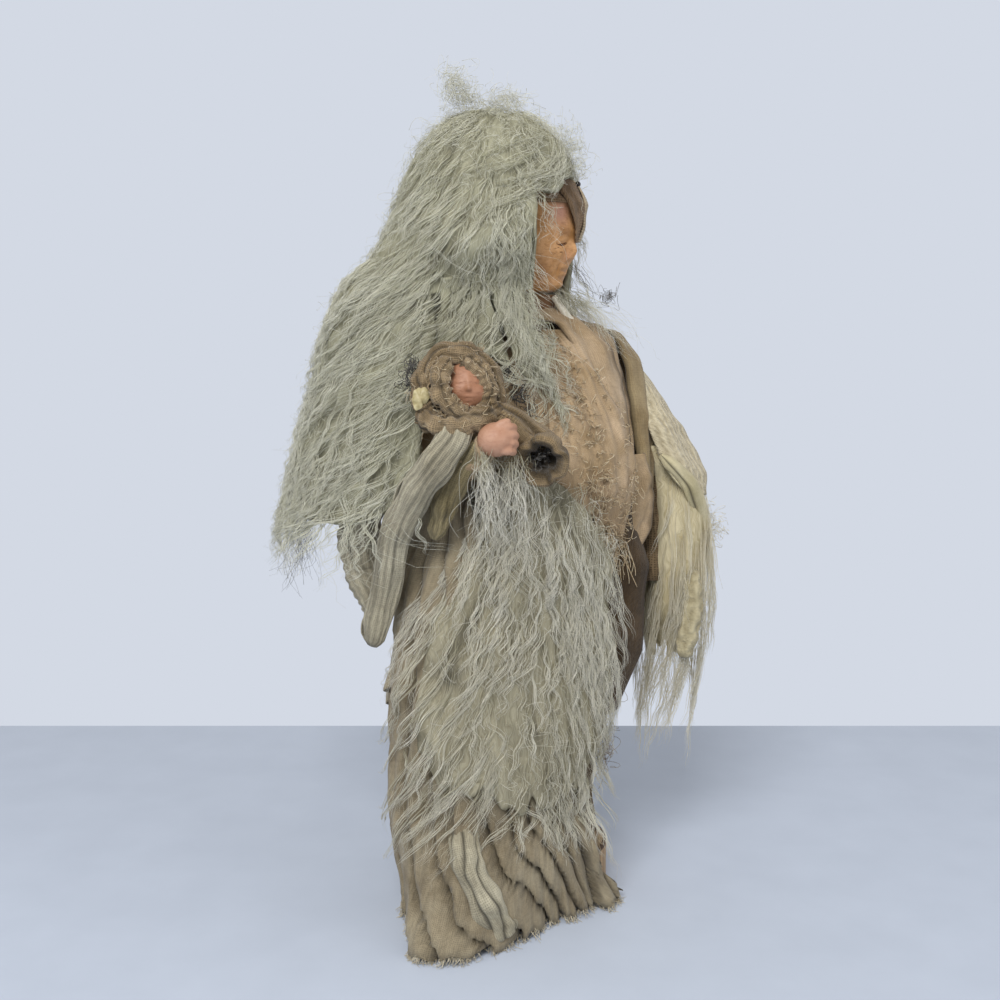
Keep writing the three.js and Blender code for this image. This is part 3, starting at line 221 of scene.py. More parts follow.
@dataclass(frozen=True)
class Gauze(Finish):
    """Loosely woven cotton gauze: matt, with visible threads, crinkles along the warp, stains, and shade painted into
    its crinkles and folds.
    """

    pale: str
    dark: str
    thread: float = 1.5  # mm between threads, drawn coarse enough to show
    crinkle: float = 4.0  # mm between crinkles
    depth: float = 0.5  # mm of relief
    holes: float = 0.5  # how dark the gaps between threads look

    def paint(self, nodes: Nodes) -> None:
        """Weaves two sets of threads, with crinkles and stains over them, and paints shade into the crinkles and the
        folds.

        Args:
            nodes: the material's tree.
        """
        weave, wide = nodes.weave(), self.crinkle * MM
        threads = [nodes.wave(weave, self.thread, 7.0, 3.0, 0.5, bands_direction=way) for way in ("X", "Y")]
        crinkle = nodes.noise(nodes.stretch(weave, (1 / wide, 0.16 / wide, 1)), 1.0, 5.0, 0.6, 0.6)
        # In the gauze these are stains only, mottled at random.
        stain_and_shade = nodes.noise(nodes.place(), 38.0, 5.0, 0.65)
        fleck = nodes.noise(weave, 0.5 / (self.thread * MM), 2.0)
        ground = nodes.mix(nodes.level(stain_and_shade, 0.32, 0.68), self.dark, self.pale)
        gap = nodes.math("MULTIPLY", nodes.math("MAXIMUM", *threads), fleck)
        shadow = nodes.level(gap, 0.05, 0.5, 1 - self.holes, 1.06)
        # Painted shade: crease darkens the troughs of the crinkles, and fold darkens where the mesh's deep mark says
        # the cloth lies in a fold.
        crease = nodes.level(crinkle, 0.3, 0.6, 0.78, 1.05)
        fold = nodes.math("MULTIPLY_ADD", nodes.mark("deep"), -0.75, 1.0)
        painted_shade = nodes.math("MULTIPLY", nodes.math("MULTIPLY", shadow, crease), fold)
        nodes.coat(nodes.dim(ground, painted_shade), 0.95, Specular_IOR_Level=0.1, Sheen_Weight=0.15)
        nodes.bump(nodes.math("MULTIPLY_ADD", crinkle, 2.2, gap), 0.8, self.depth)


@dataclass(frozen=True)
class Boucle(Finish):
    """Knitted bouclé cotton: a pebbled face of small loops, each with a pale top and a rim of painted shade."""

    pale: str
    dark: str
    loop: float = 2.0  # mm across a loop
    rib: float = 5.5  # mm between ribs

    def paint(self, nodes: Nodes) -> None:
        """Knits the loops in ribs, with fuzz over them, and paints shade into the loops' rims and the ribs' troughs.

        Args:
            nodes: the material's tree.
        """
        weave, wide = nodes.weave(), self.loop * MM
        rows = nodes.stretch(weave, (1 / wide, 0.62 / wide, 1))
        loops = nodes.add("TexVoronoi", {"Vector": rows, "Scale": 1.0}, feature="SMOOTH_F1").outputs["Distance"]
        fuzz = nodes.math("MULTIPLY_ADD", loops, -1.4, nodes.noise(weave, 900.0, 4.0))
        ribbed = nodes.math("MULTIPLY_ADD", nodes.wave(weave, self.rib, 2.0, 1.0), 0.5, fuzz)
        # Painted shade: the colour is darker at each loop's rim and in the ribs' troughs.
        colour = nodes.mix(nodes.level(ribbed, -0.5, 0.7), self.dark, self.pale)
        nodes.coat(colour, 0.95, Specular_IOR_Level=0.1, Sheen_Weight=0.2)
        nodes.bump(ribbed, 0.9, 0.9)


@dataclass(frozen=True)
class Wool(Finish):
    """Long curly sheep's wool: silky fibres, dull and dark at the root and pale at the tip."""

    root: str
    dull: str
    pale: str

    def paint(self, nodes: Nodes) -> None:
        """Reads each strand's own shade and the way along it.

        Args:
            nodes: the material's tree.
        """
        body = nodes.mix(nodes.mark("shade"), self.dull, self.pale)
        colour = nodes.mix(nodes.level(nodes.mark("along"), 0.0, 0.45), self.root, body)
        nodes.coat(colour, 0.65, Specular_IOR_Level=0.15, Sheen_Weight=0.1, Subsurface_Weight=0.7,
                   Subsurface_Radius=(1.0, 1.0, 1.0), Subsurface_Scale=0.5 * MM)


@dataclass(frozen=True)
class Felt(Finish):
    """Matted wool under the locks: dull, streaked along the growth and full of small hollows."""

    pale: str
    dark: str

    def paint(self, nodes: Nodes) -> None:
        """Streaks the wool along a swaying growth and paints shade into the hollows.

        Args:
            nodes: the material's tree.
        """
        weave = nodes.weave()
        sway = nodes.add("TexNoise", {"Vector": weave, "Scale": 110.0, "Detail": 1.0}).outputs["Color"]
        bent = nodes.add("VectorMath", {0: sway, 1: (0.011, 0.0, 0.0), 2: weave}, operation="MULTIPLY_ADD").outputs[0]
        fine, wide = (nodes.noise(nodes.stretch(bent, size), 1.0, 5.0, 0.65, 0.8)
                      for size in ((2100, 90, 1), (520, 24, 1)))
        streak = nodes.math("MULTIPLY_ADD", fine, 0.5, wide)
        colour = nodes.mix(nodes.level(streak, 0.52, 0.98), self.dark, self.pale)
        # Painted shade: darker where the mesh's deep mark says the wool lies in a hollow.
        hollow_shade = nodes.math("MULTIPLY_ADD", nodes.mark("deep"), -0.6, 1.0)
        nodes.coat(nodes.dim(colour, hollow_shade), 0.95, Specular_IOR_Level=0.05)
        nodes.bump(streak, 0.9, 1.1)


@dataclass(frozen=True)
class Clay(Finish):
    """Air-dried modelling clay, painted: slightly waxy, mottled, with fine tool marks and cracks."""

    pale: str
    dark: str
    crack: str
    wear: float = 0.5  # how strong the cracks are
    gloss: float = 0.5

    def paint(self, nodes: Nodes) -> None:
        """Mottles the clay, tints it pink and paints brown shade into it where its points say so, and cracks it.

        Args:
            nodes: the material's tree.
        """
        place = nodes.place()
        mottle = nodes.noise(place, 130.0, 6.0, 0.6)
        cracks = nodes.noise(nodes.stretch(place, (190, 190, 420)), 1.0, 3.0, bent=1.6)
        line = nodes.level(cracks, 0.36, 0.47, self.wear, 0.0)
        ground = nodes.mix(nodes.level(mottle, 0.35, 0.65), self.dark, self.pale)
        # The pink tint is blush; the brown tint is painted shade.
        for key, tint in (("blush", "#c58f7b"), ("stain_and_shade", "#86582c")):
            ground = nodes.mix(nodes.mark(key), ground, tint)
        nodes.coat(nodes.mix(line, ground, self.crack), self.gloss, Specular_IOR_Level=0.4)
        nodes.bump(nodes.math("MULTIPLY_ADD", line, -1.5, mottle), 0.6, 0.5)


@dataclass(frozen=True)
class Timber(Finish):
    """Turned softwood: rings on the face, upright grain on the wall, a thin wax."""

    pale: str
    dark: str
    ring: float = 3.2  # mm between growth rings

    def paint(self, nodes: Nodes) -> None:
        """Grows rings about a heart beside the middle, with upright pores.

        Args:
            nodes: the material's tree.
        """
        place = nodes.place()
        heart = nodes.stretch(place, (1, 1, 0.08), (0.021, 0.013, 0))
        rings = nodes.wave(heart, self.ring, 4.0, 3.0, 1.4, wave_type="RINGS", rings_direction="Z")
        pores = nodes.noise(nodes.stretch(place, (520, 520, 26)), 1.0, 4.0)
        figure = nodes.math("MULTIPLY_ADD", rings, 0.45, pores)
        nodes.coat(nodes.mix(nodes.level(figure, 0.35, 1.0), self.dark, self.pale), 0.5, Specular_IOR_Level=0.35)
        nodes.bump(pores, 0.35, 0.3)


@dataclass(frozen=True)
class Plain(Finish):
    """A small or hidden material with a mottled colour and a fine grit."""

    pale: str
    dark: str
    rough: float = 0.7
    metal: float = 0.0
    grit: float = 1.2  # mm

    def paint(self, nodes: Nodes) -> None:
        """Mottles the colour with the grit.

        Args:
            nodes: the material's tree.
        """
        grain = nodes.noise(nodes.place(), 1 / (self.grit * MM), 4.0)
        nodes.coat(nodes.mix(nodes.level(grain, 0.3, 0.7), self.dark, self.pale), self.rough, Metallic=self.metal)
        nodes.bump(grain, 0.3, 0.2)


SKIRT_GAUZE = Gauze("unbleached cotton gauze", "#a4987f", "#83765f", thread=0.9, crinkle=3.2, depth=0.35, holes=0.3)
ROBE_GAUZE = Gauze("tea-dyed cotton gauze", "#bca486", "#99815f", thread=1.1, crinkle=6.0, depth=0.3, holes=0.25)
WRAP_GAUZE = Gauze("tea-dyed cheesecloth", "#a59071", "#7d694b", thread=0.85, crinkle=2.0, depth=0.8, holes=0.5)
SLEEVE_GAUZE = Gauze("bleached cotton gauze", "#beb69e", "#9c937c", thread=1.0, crinkle=2.4, depth=0.5, holes=0.35)
COLLAR_GAUZE = Gauze("pale cotton lawn", "#a3906d", "#857150", thread=1.0, crinkle=6.0, depth=0.3, holes=0.2)
UNDER_GAUZE = Gauze("brown cotton gauze", "#7d6a50", "#5a4a36", holes=0.6)
BAND_GAUZE = Gauze("walnut-dyed gauze", "#9a7e60", "#65503a", thread=1.3, crinkle=3.0, holes=0.6)
# Painted light: a lighter copy of the walnut gauze for the lit outer rim of the band's end.
LIT_RIM_GAUZE = Gauze("walnut-dyed gauze with painted light", "#c6b599", "#a28f73", thread=1.3, crinkle=3.0, holes=0.4)
# Painted shade: a dark umber for the lining, which stands for the shade in the recess under the collar and the arm.
RECESS_SHADE_GAUZE = Gauze("gauze painted as recess shade", "#5d4a33", "#3c2f20", thread=1.0)
OLIVE_GAUZE = Gauze("olive cotton gauze", "#a89a76", "#887a57", thread=0.9, crinkle=2.4, depth=0.5, holes=0.35)
FOLD_GAUZE = Gauze("cream cotton sateen", "#cfc4a2", "#b0a580", thread=0.7, crinkle=5.0, depth=0.25, holes=0.15)
KNIT = Boucle("cream cotton bouclé", "#d0c4a6", "#a3967a")
# A darker copy of the cream bouclé, for the knit's tongue.
DARKER_KNIT = Boucle("darker cotton bouclé", "#b8ad8d", "#8f8467")
YARN = Wool("linen netting yarn", "#7d6848", "#a48d6b", "#cdbb9b")
HAIR_WOOL = Wool("grey curly wool", "#8b876b", "#aaa78b", "#e6e3cb")
APRON_WOOL = Wool("undyed curly wool", "#8f886b", "#aaa389", "#e8e2cc")
CUFF_WOOL = Wool("yellowed curly wool", "#b0a486", "#bfb394", "#e2dac2")
DARK_WOOL = Wool("charcoal wool", "#2d2a26", "#3c3935", "#5a5650")
BROWN_WOOL = Wool("brown wool", "#4b3d2c", "#6d5b44", "#9a876a")
THREAD = Wool("frayed cotton thread", "#93866c", "#b0a388", "#d5cab1")
HAIR_FELT = Felt("matted grey wool", "#b3b098", "#86836d")
APRON_FELT = Felt("matted undyed wool", "#b7b098", "#867f68")
CUFF_FELT = Felt("matted yellowed wool", "#d3c8a8", "#a89a76")
FACE_CLAY = Clay("ochre modelling clay", "#d9a571", "#bb874f", "#85562e", wear=0.25, gloss=0.42)
# Painted shadow: a dark ochre clay for the neck, for the shadow under the chin.
NECK_SHADOW_CLAY = Clay("shaded ochre clay", "#7d5733", "#634427", "#46301a", wear=0.2)
PINK_CLAY = Clay("pink modelling clay", "#b98f76", "#aa7d63", "#935f46", wear=0.15)
BABY_CLAY = Clay("rose modelling clay", "#ac7d61", "#97694d", "#744732", wear=0.2)
BASE_WOOD = Timber("waxed pine", "#b1936a", "#806443")
EDGE_WOOD = Plain("scorched pine edge", "#5a4129", "#3c2a19")
MUSLIN = Plain("stuffed muslin", "#cdbf9f", "#b5a685", rough=0.95)
WIRE = Plain("galvanised wire", "#98989c", "#77777b", rough=0.4, metal=1.0)
PAPER = Plain("kraft paper", "#b89e76", "#96805c", rough=0.9)
BONE = Plain("carved bone", "#ece6d8", "#cfc6b2", rough=0.4)
SHELL = Plain("gilded shell", "#c2b68c", "#9b8b5e", rough=0.45, grit=2.5)
BEAD = Plain("dark glass bead", "#2c2320", "#191312", rough=0.15)
UMBER = Plain("umber paint", "#6b4022", "#4e2c16", rough=0.8)


# Mesh tools


def clear_selection() -> None:
    """Leaves nothing selected, in object mode."""
    if bpy.context.object and bpy.context.object.mode != "OBJECT":
        bpy.ops.object.mode_set(mode="OBJECT")
    bpy.ops.object.select_all(action="DESELECT")


def select(obj: bpy.types.Object) -> None:
    """Selects one piece alone and makes it active.

    Args:
        obj: the piece.
    """
    clear_selection()
    bpy.context.view_layer.objects.active = obj
    obj.select_set(True)


def start(operator: Callable, name: str, **settings) -> bpy.types.Object:
    """Adds a primitive with nothing else selected.

    Args:
        operator: Blender's operator for the primitive.
        name: name of the piece.
        settings: the operator's settings.

    Returns:
        The new object, active and alone selected.
    """
    clear_selection()
    operator(**settings)
    made = bpy.context.object
    made.name = made.data.name = name
    return made


def edit(*steps: tuple[Callable, dict]) -> None:
    """Runs operators on all of the active piece in edit mode.

    Args:
        steps: each operator with its settings.
    """
    bpy.ops.object.mode_set(mode="EDIT")
    bpy.ops.mesh.select_all(action="SELECT")
    for operator, settings in steps:
        operator(**settings)
    bpy.ops.object.mode_set(mode="OBJECT")


def modify(obj: bpy.types.Object, kind: str, **settings) -> None:
    """Adds a modifier to a piece and applies it.

    Args:
        obj: the piece.
        kind: Blender's name of the modifier type.
        settings: properties of the modifier.
    """
    select(obj)
    made = obj.modifiers.new(kind.title(), kind)
    for key, value in settings.items():
        setattr(made, key, value)
    bpy.ops.object.modifier_apply(modifier=made.name)


def place_at_origin(obj: bpy.types.Object) -> None:
    """Puts the piece's place into its mesh."""
    select(obj)
    bpy.ops.object.transform_apply(location=True, rotation=True, scale=True)


def points_of(obj: bpy.types.Object) -> Array:
    """Gives a mesh's points in millimetres.

    Args:
        obj: the piece.

    Returns:
        Places, points by three.
    """
    flat = np.empty(len(obj.data.vertices) * 3, np.float32)
    obj.data.vertices.foreach_get("co", flat)
    return flat.reshape(-1, 3).astype(float) / MM


def set_points(obj: bpy.types.Object, points: Array) -> None:
    """Moves a mesh's points to places in millimetres."""
    obj.data.vertices.foreach_set("co", (points * MM).astype(np.float32).ravel())
    obj.data.update()


def smooth_faces(obj: bpy.types.Object, angle: float | None = None) -> None:
    """Shades a piece smooth, or smooth up to an angle in degrees.

    Args:
        obj: the piece.
        angle: limit in degrees; without it every face is smooth.
    """
    select(obj)
    if angle is None:
        bpy.ops.object.shade_smooth()
    else:
        bpy.ops.object.shade_smooth_by_angle(angle=math.radians(angle))


def soften(obj: bpy.types.Object, voxel: float, rounds: int) -> None:
    """Melts a piece into one soft skin, by voxels of a size in millimetres and rounds of smoothing.

    Args:
        obj: the piece.
        voxel: size of the voxels in millimetres.
        rounds: rounds of smoothing.
    """
    modify(obj, "REMESH", mode="VOXEL", voxel_size=voxel * MM)
    modify(obj, "SMOOTH", factor=0.5, iterations=rounds)
    smooth_faces(obj)


def soft_copy(node: str, name: str, voxel: float, rounds: int) -> bpy.types.Object:
    """Copies a solid and softens the copy.

    Args:
        node: the solid's name.
        name: name of the piece.
        voxel: size of the voxels in millimetres.
        rounds: rounds of smoothing.

    Returns:
        The piece.
    """
    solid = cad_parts[node]
    mesh = solid.data.copy()
    mesh.transform(solid.matrix_world)
    made = bpy.data.objects.new(name, mesh)
    bpy.context.collection.objects.link(made)
    soften(made, voxel, rounds)
    return made


def dress(obj: bpy.types.Object, finish: Finish, slot: Slot | None = None) -> bpy.types.Object:
    """Gives a piece its finish.

    Args:
        obj: the piece.
        finish: its finish.
        slot: the record's slot, if it has one; not used.

    Returns:
        The same piece.
    """
    obj.data.materials.clear()
    obj.data.materials.append(finish.material())
    return obj


def mark_points(obj: bpy.types.Object, key: str, numbers: Array) -> None:
    """Gives each point of a mesh a number from 0 to 1 that its finish reads."""
    numbers = np.clip(numbers, 0, 1).astype(np.float32)
    obj.data.attributes.new(key, "FLOAT", "POINT").data.foreach_set("value", numbers)


def report(obj: bpy.types.Object) -> None:
    """Logs a finished piece."""
    LOG.info("%s: %d faces", obj.name, len(obj.data.polygons))


def settle(obj: bpy.types.Object, body: Body, *nodes: str) -> None:
    """Lets a piece ride on a body and stand for solids.

    Args:
        obj: the finished piece.
        body: the body that carries it.
        nodes: the solids that it stands for.
    """
    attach(obj, body.value)
    if nodes:
        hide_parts(*nodes)
    report(obj)


def smooth(x: Array, low: float, high: float) -> Array:
    """A soft step from 0 at low to 1 at high."""
    t = np.clip((x - low) / (high - low), 0, 1)
    return t * t * (3 - 2 * t)


def dip(turns: Array, width: float) -> Array:
    """Gives 1 in the middle of every whole turn and near 0 beyond a width."""
    return np.exp(-((turns % 1 - 0.5) / width) ** 2)


def unit(vectors: Array, least: float = 1e-9) -> Array:
    """Scales vectors to a length of 1; least keeps empty ones whole."""
    return vectors / (np.linalg.norm(vectors, axis=-1, keepdims=True) + least)


class Ripple:
    """Smooth seeded noise over two coordinates, as a sum of waves."""

    def __init__(self, seed: int, size: float, waves: int = 6) -> None:
        """Draws the waves.

        Args:
            seed: seed of the draws.
            size: the usual wave's length.
            waves: how many waves.
        """
        draw = np.random.default_rng(seed)
        turn = draw.uniform(0, 2 * np.pi, waves)
        pace = 2 * np.pi / (size * draw.uniform(0.6, 1.7, waves))
        self.across, self.along = pace * np.cos(turn), pace * np.sin(turn)
        self.phase = draw.uniform(0, 2 * np.pi, waves)

    def __call__(self, x: Array, y: Array) -> Array:
        """Gives the noise, about -1 to 1."""
        x, y = np.asarray(x, float)[..., None], np.asarray(y, float)[..., None]
        return np.sin(x * self.across + y * self.along + self.phase).sum(-1) / math.sqrt(len(self.phase))


def ripple(seed: int, size: float) -> Ripple:
    """Gives a dataclass field with its own seeded noise."""
    return field(default_factory=lambda: Ripple(seed, size))


def cut_size(place: Surface, steps: int = 181) -> tuple[float, float, float]:
    """Measures a laid sheet.

    Args:
        place: gives places from shares across and along the sheet.
        steps: points measured each way.

    Returns:
        Mean width, mean length and area in millimetres.
    """
    share = np.linspace(0, 1, steps)
    across, along = np.meshgrid(share, share)
    laid = place(across.ravel(), along.ravel()).reshape(steps, steps, 3)
    width = np.linalg.norm(np.diff(laid, axis=1), axis=2).sum(1).mean()
    length = np.linalg.norm(np.diff(laid, axis=0), axis=2).sum(0).mean()
    legs = np.cross(np.diff(laid, axis=1)[:-1], np.diff(laid, axis=0)[:, :-1])
    return float(width), float(length), float(np.linalg.norm(legs, axis=2).sum())


def sheet_piece(name: str, place: Surface, grid: tuple[int, int], finish: Finish, slot: Slot, held: str = "",
                wall: float = 0.8, closed: bool = False,
                deep: Surface | None = None) -> bpy.types.Object:
    """Makes and dresses a sheet from a grid whose points are put in place.

    Args:
        name: name of the piece.
        place: gives places in millimetres from shares across and along the sheet.
        grid: faces across and along.
        finish: the sheet's finish.
        slot: the record's slot.
        held: how cloth is held; felt and rolls, which are no sheets of cloth, leave it out.
        wall: thickness in millimetres.
        closed: whether the sheet's two sides meet in a seam.
        deep: gives how deep in a fold the cloth is, from shares across and along; the finish paints shade there.

    Returns:
        The piece, with its weave map.
    """
    width, length, area = cut_size(place)
    made = start(bpy.ops.mesh.primitive_grid_add, name, x_subdivisions=grid[0], y_subdivisions=grid[1], size=2)
    mesh = made.data
    flat = points_of(made) * MM
    across, along = (flat[:, 0] + 1) / 2, (flat[:, 1] + 1) / 2
    corners = np.empty(len(mesh.loops), np.int32)
    mesh.loops.foreach_get("vertex_index", corners)
    while mesh.uv_layers:
        mesh.uv_layers.remove(mesh.uv_layers[0])
    pairs = np.stack([across[corners] * width, along[corners] * length], 1) * MM
    mesh.uv_layers.new(name="Weave").data.foreach_set("uv", pairs.astype(np.float32).ravel())
    # The finish paints shade where this mark is high.
    if deep is not None:
        mark_points(made, "deep", deep(across, along))
    set_points(made, place(across, along))
    seam = [(bpy.ops.mesh.remove_doubles, {"threshold": 1e-6})] if closed else []
    edit(*seam, (bpy.ops.mesh.normals_make_consistent, {"inside": False}))
    if wall:
        modify(made, "SOLIDIFY", thickness=wall * MM, offset=0.0)
    smooth_faces(made)
    dress(made, finish, slot)
    if held:
        LOG.info("%s is cut %.0f by %.0f mm", name, width, length)
    return made


def mesh_piece(name: str, points: Array, quads: Array, triangles: Array, uv: Array,
               values: dict[str, Array]) -> bpy.types.Object:
    """Makes a mesh straight from arrays, for strands that no operator gives.

    Args:
        name: name of the piece.
        points: places in millimetres.
        quads: four point numbers for each quad.
        triangles: three point numbers for each triangle.
        uv: bake map place of each point.
        values: further numbers for each point, by name.

    Returns:
        The new object.
    """
    mesh = bpy.data.meshes.new(name)
    mesh.vertices.add(len(points))
    mesh.vertices.foreach_set("co", (points * MM).astype(np.float32).ravel())
    corners = np.concatenate([quads.ravel(), triangles.ravel()]).astype(np.int32)
    counts = np.concatenate([np.full(len(quads), 4), np.full(len(triangles), 3)])
    mesh.loops.add(len(corners))
    mesh.loops.foreach_set("vertex_index", corners)
    mesh.polygons.add(len(counts))
    first = np.concatenate([[0], np.cumsum(counts)[:-1]]).astype(np.int32)
    mesh.polygons.foreach_set("loop_start", first)
    mesh.polygons.foreach_set("use_smooth", np.ones(len(counts), bool))
    bake = mesh.uv_layers.new(name="OFBake")
    bake.data.foreach_set("uv", uv[corners].astype(np.float32).ravel())
    for key, numbers in values.items():
        mesh.attributes.new(key, "FLOAT", "POINT").data.foreach_set("value", numbers.astype(np.float32))
    mesh.update(calc_edges=True)
    mesh.validate()
    made = bpy.data.objects.new(name, mesh)
    bpy.context.collection.objects.link(made)
    return made


def strand_piece(name: str, paths: Array, radius: Array | float, shade: Array, seed: int, finish: Finish,
                 slot: Slot = Slot.FLEECE, tip: float = 1.0) -> bpy.types.Object:
    """Makes and dresses many closed three-sided strands as one piece.

    Args:
        name: name of the piece.
        paths: places, strands by points by three, in millimetres.
        radius: strands by points, in millimetres, or one radius for all.
        shade: tone of each strand, 0 to 1.
        seed: seed for how the sections are turned.
        finish: the strands' finish.
        slot: the record's slot.
        tip: share of one radius for all that is left at the tip.

    Returns:
        The piece, with its bake map and the strands' own numbers.
    """
    strands, length = paths.shape[:2]
    if np.ndim(radius) == 0:
        radius = np.full(paths.shape[:2], radius) * np.linspace(1, tip, length)
    turn = np.random.default_rng(seed).uniform(0, 2 * np.pi, strands)
    aim = np.stack([np.cos(turn), np.sin(turn), np.full(strands, 0.15)], 1)[:, None, :]
    tangent = unit(np.gradient(paths, axis=1))
    side = unit(np.cross(tangent, aim))
    up = np.cross(side, tangent)
    corner = 2 * np.pi * np.arange(3) / 3
    ring = (np.cos(corner)[:, None] * side[:, :, None, :] + np.sin(corner)[:, None] * up[:, :, None, :])
    points = paths[:, :, None, :] + radius[:, :, None, None] * ring
    number = np.arange(strands * length * 3).reshape(strands, length, 3)
    turned = np.roll(number, -1, axis=2)
    quads = np.stack([number[:, :-1], number[:, 1:], turned[:, 1:], turned[:, :-1]], -1).reshape(-1, 4)
    caps = np.concatenate([number[:, 0], number[:, -1][:, ::-1]])
    along = np.broadcast_to(np.linspace(0, 1, length)[None, :, None], number.shape)
    column = np.broadcast_to(np.arange(strands)[:, None, None] + 0.2 + 0.3 * np.arange(3), number.shape)
    uv = np.stack([column / strands, 0.01 + 0.98 * along], -1).reshape(-1, 2)
    tone = np.broadcast_to(shade[:, None, None], number.shape)
    values = {"along": along.reshape(-1), "shade": tone.reshape(-1)}
    return dress(mesh_piece(name, points.reshape(-1, 3), quads, caps, uv, values), finish, slot)


@dataclass(frozen=True)
class Lock:
    """How the locks of a fleece grow."""

    length: tuple[float, float] = (42, 66)
    strands: int = 7
    width: float = 3.6  # of a lock, to either side of its middle
    wave: tuple[float, float] = (7, 11)  # length of one wave
    curl: float = 1.6  # swing of the wave near the tip
    lift: tuple[float, float] = (0, 3.5)  # of the tip off the fleece
    thick: float = 0.14  # radius of a strand
    points: int = 20
    pale: float = 0.5  # usual tone
    late: float = 0.4  # how far strands of one lock are out of step


def grow(surface: Surface, roots: Array, lock: Lock, seed: int, drift: Array | None = None,
         sink: float = 2.0, stray: float = 0.18, scale: Array | None = None) -> tuple[Array, Array, Array]:
    """Grows wavy locks that lie along a surface.

    Args:
        surface: gives places in millimetres from an angle and a way down the fleece.
        roots: angle and way of each lock's root.
        lock: how the locks grow.
        seed: seed of every draw.
        drift: how far each lock turns aside by its tip, in radians.
        sink: how deep the roots lie under the surface.
        stray: how far, in radians, locks turn aside by chance.
        scale: each lock's share of the usual length.

    Returns:
        Paths, radii and shades of the strands.
    """
    draw = np.random.default_rng(seed)
    count, each, steps = len(roots), lock.strands, lock.points
    length = draw.uniform(*lock.length, count) * (1 if scale is None else scale)
    wave = draw.uniform(*lock.wave, count)
    phase = draw.uniform(0, 2 * np.pi, count)
    curl = lock.curl * draw.uniform(0.55, 1.35, count)
    rise = draw.uniform(*lock.lift, count)
    aside = draw.normal(0, stray, count) + (0 if drift is None else drift)
    patch = Ripple(seed, 34)(roots[:, 0] * 70, roots[:, 1])
    tone = np.clip(draw.normal(lock.pale, 0.1, count) + 0.16 * patch, 0.02, 1)
    slow = draw.uniform(0, 2 * np.pi, (2, count, 1))
    t = np.linspace(0, 1, steps)

    angle = roots[:, :1] + aside[:, None] * t ** 1.4
    way = roots[:, 1:2] + length[:, None] * t
    angle = angle + 0.022 * np.sin(slow[0] + length[:, None] * t / 7)
    base = surface(angle, way)
    along = unit(surface(angle, way + 0.5) - surface(angle, way - 0.5))
    across = surface(angle + 0.01, way) - surface(angle - 0.01, way)
    normal = unit(np.cross(across, along))
    side = np.cross(normal, along)

    shape = (count, each, 1)
    spot = np.sqrt(draw.uniform(0, 1, shape)) * lock.width
    spin = draw.uniform(0, 2 * np.pi, shape)
    late = draw.normal(0, lock.late, shape)
    longer = draw.uniform(0.8, 1.05, shape)
    loose = draw.normal(0, 0.4, shape)
    s = np.clip(t * longer, 0, 1.06)
    turn = phase[:, None, None] + late + 2 * np.pi * length[:, None, None] * s / wave[:, None, None]
    swing = curl[:, None, None] * (0.3 + 0.5 * s + 1.2 * s ** 4)
    gather = 1 - 0.6 * np.sin(np.pi * np.clip(s, 0, 1) * 0.7)
    sway = swing * np.cos(turn) + spot * np.cos(spin) * gather + loose * 3.0 * s ** 2
    bulge = 0.6 * swing * np.sin(turn) + 0.6 * spot * np.sin(spin) * gather
    lift = -sink * (1 - s) ** 2 + rise[:, None, None] * s ** 1.6
    back = (length[:, None, None] * (s - t))[..., None]
    paths = (base[:, None] + along[:, None] * back + side[:, None] * sway[..., None]
             + normal[:, None] * (bulge + lift)[..., None])
    paths = paths.reshape(count * each, steps, 3)
    thick = lock.thick * draw.uniform(0.75, 1.25, count * each)
    taper = np.clip(1.15 - 0.95 * t ** 3, 0.12, 1) * np.minimum(1, 0.5 + 4 * t)
    shade = np.clip(np.repeat(tone, each) + draw.normal(0, 0.08, count * each), 0, 1)
    return paths, thick[:, None] * taper, shade


def puff(draw: np.random.Generator, middles: Array, size: float, points: int = 12) -> Array:
    """Draws one curly loop of frizz about each middle.

    Args:
        draw: seeded generator.
        middles: places in millimetres.
        size: usual reach of a loop.
        points: points along a loop.

    Returns:
        Paths of the loops.
    """
    count = len(middles)
    t = np.linspace(0, 1, points)[None, :, None]
    paths = np.repeat(np.asarray(middles, float)[:, None], points, 1)
    for reach, pace in ((0.8, (1.5, 3.5)), (0.45, (5, 10))):
        swing = draw.normal(0, reach * size, (count, 1, 3))
        paths = paths + swing * np.sin(draw.uniform(*pace, (count, 1, 1)) * t + draw.uniform(0, 6.3, (count, 1, 3)))
    return paths


def tuft(draw: np.random.Generator, root: Sequence[float], way: Sequence[float], count: int, length: float,
         spread: float, curl: float, points: int = 12) -> Array:
    """Draws loose curling strands from one root.

    Args:
        draw: seeded generator.
        root: place in millimetres.
        way: where the strands run.
        count: how many.
        length: usual length in millimetres.
        spread: how far the strands part.
        curl: swing of the curls in millimetres.
        points: points along a strand.

    Returns:
        Paths of the strands.
    """
    way = np.array(way, float) / np.linalg.norm(way)
    t = np.linspace(0, 1, points)
    aim = way + draw.normal(0, spread, (count, 3))
    turn = draw.uniform(0, 6.3, (count, 1)) + draw.uniform(5, 12, (count, 1)) * t
    lean = draw.normal(0, 1, (count, 3, 2))
    swing = curl * (0.3 + t)[None, :, None]
    reach = (length * draw.uniform(0.4, 1.1, (count, 1)) * t)[..., None]
    paths = np.array(root, float) + draw.normal(0, 2.5, (count, 1, 3)) + aim[:, None] * reach
    first, second = np.cos(turn)[..., None] * lean[:, None, :, 0], np.sin(turn)[..., None] * lean[:, None, :, 1]
    paths = paths + swing * (first + second)
    return paths - np.array([0, 0, 1]) * (length * 0.25 * t ** 2)[None, :, None]


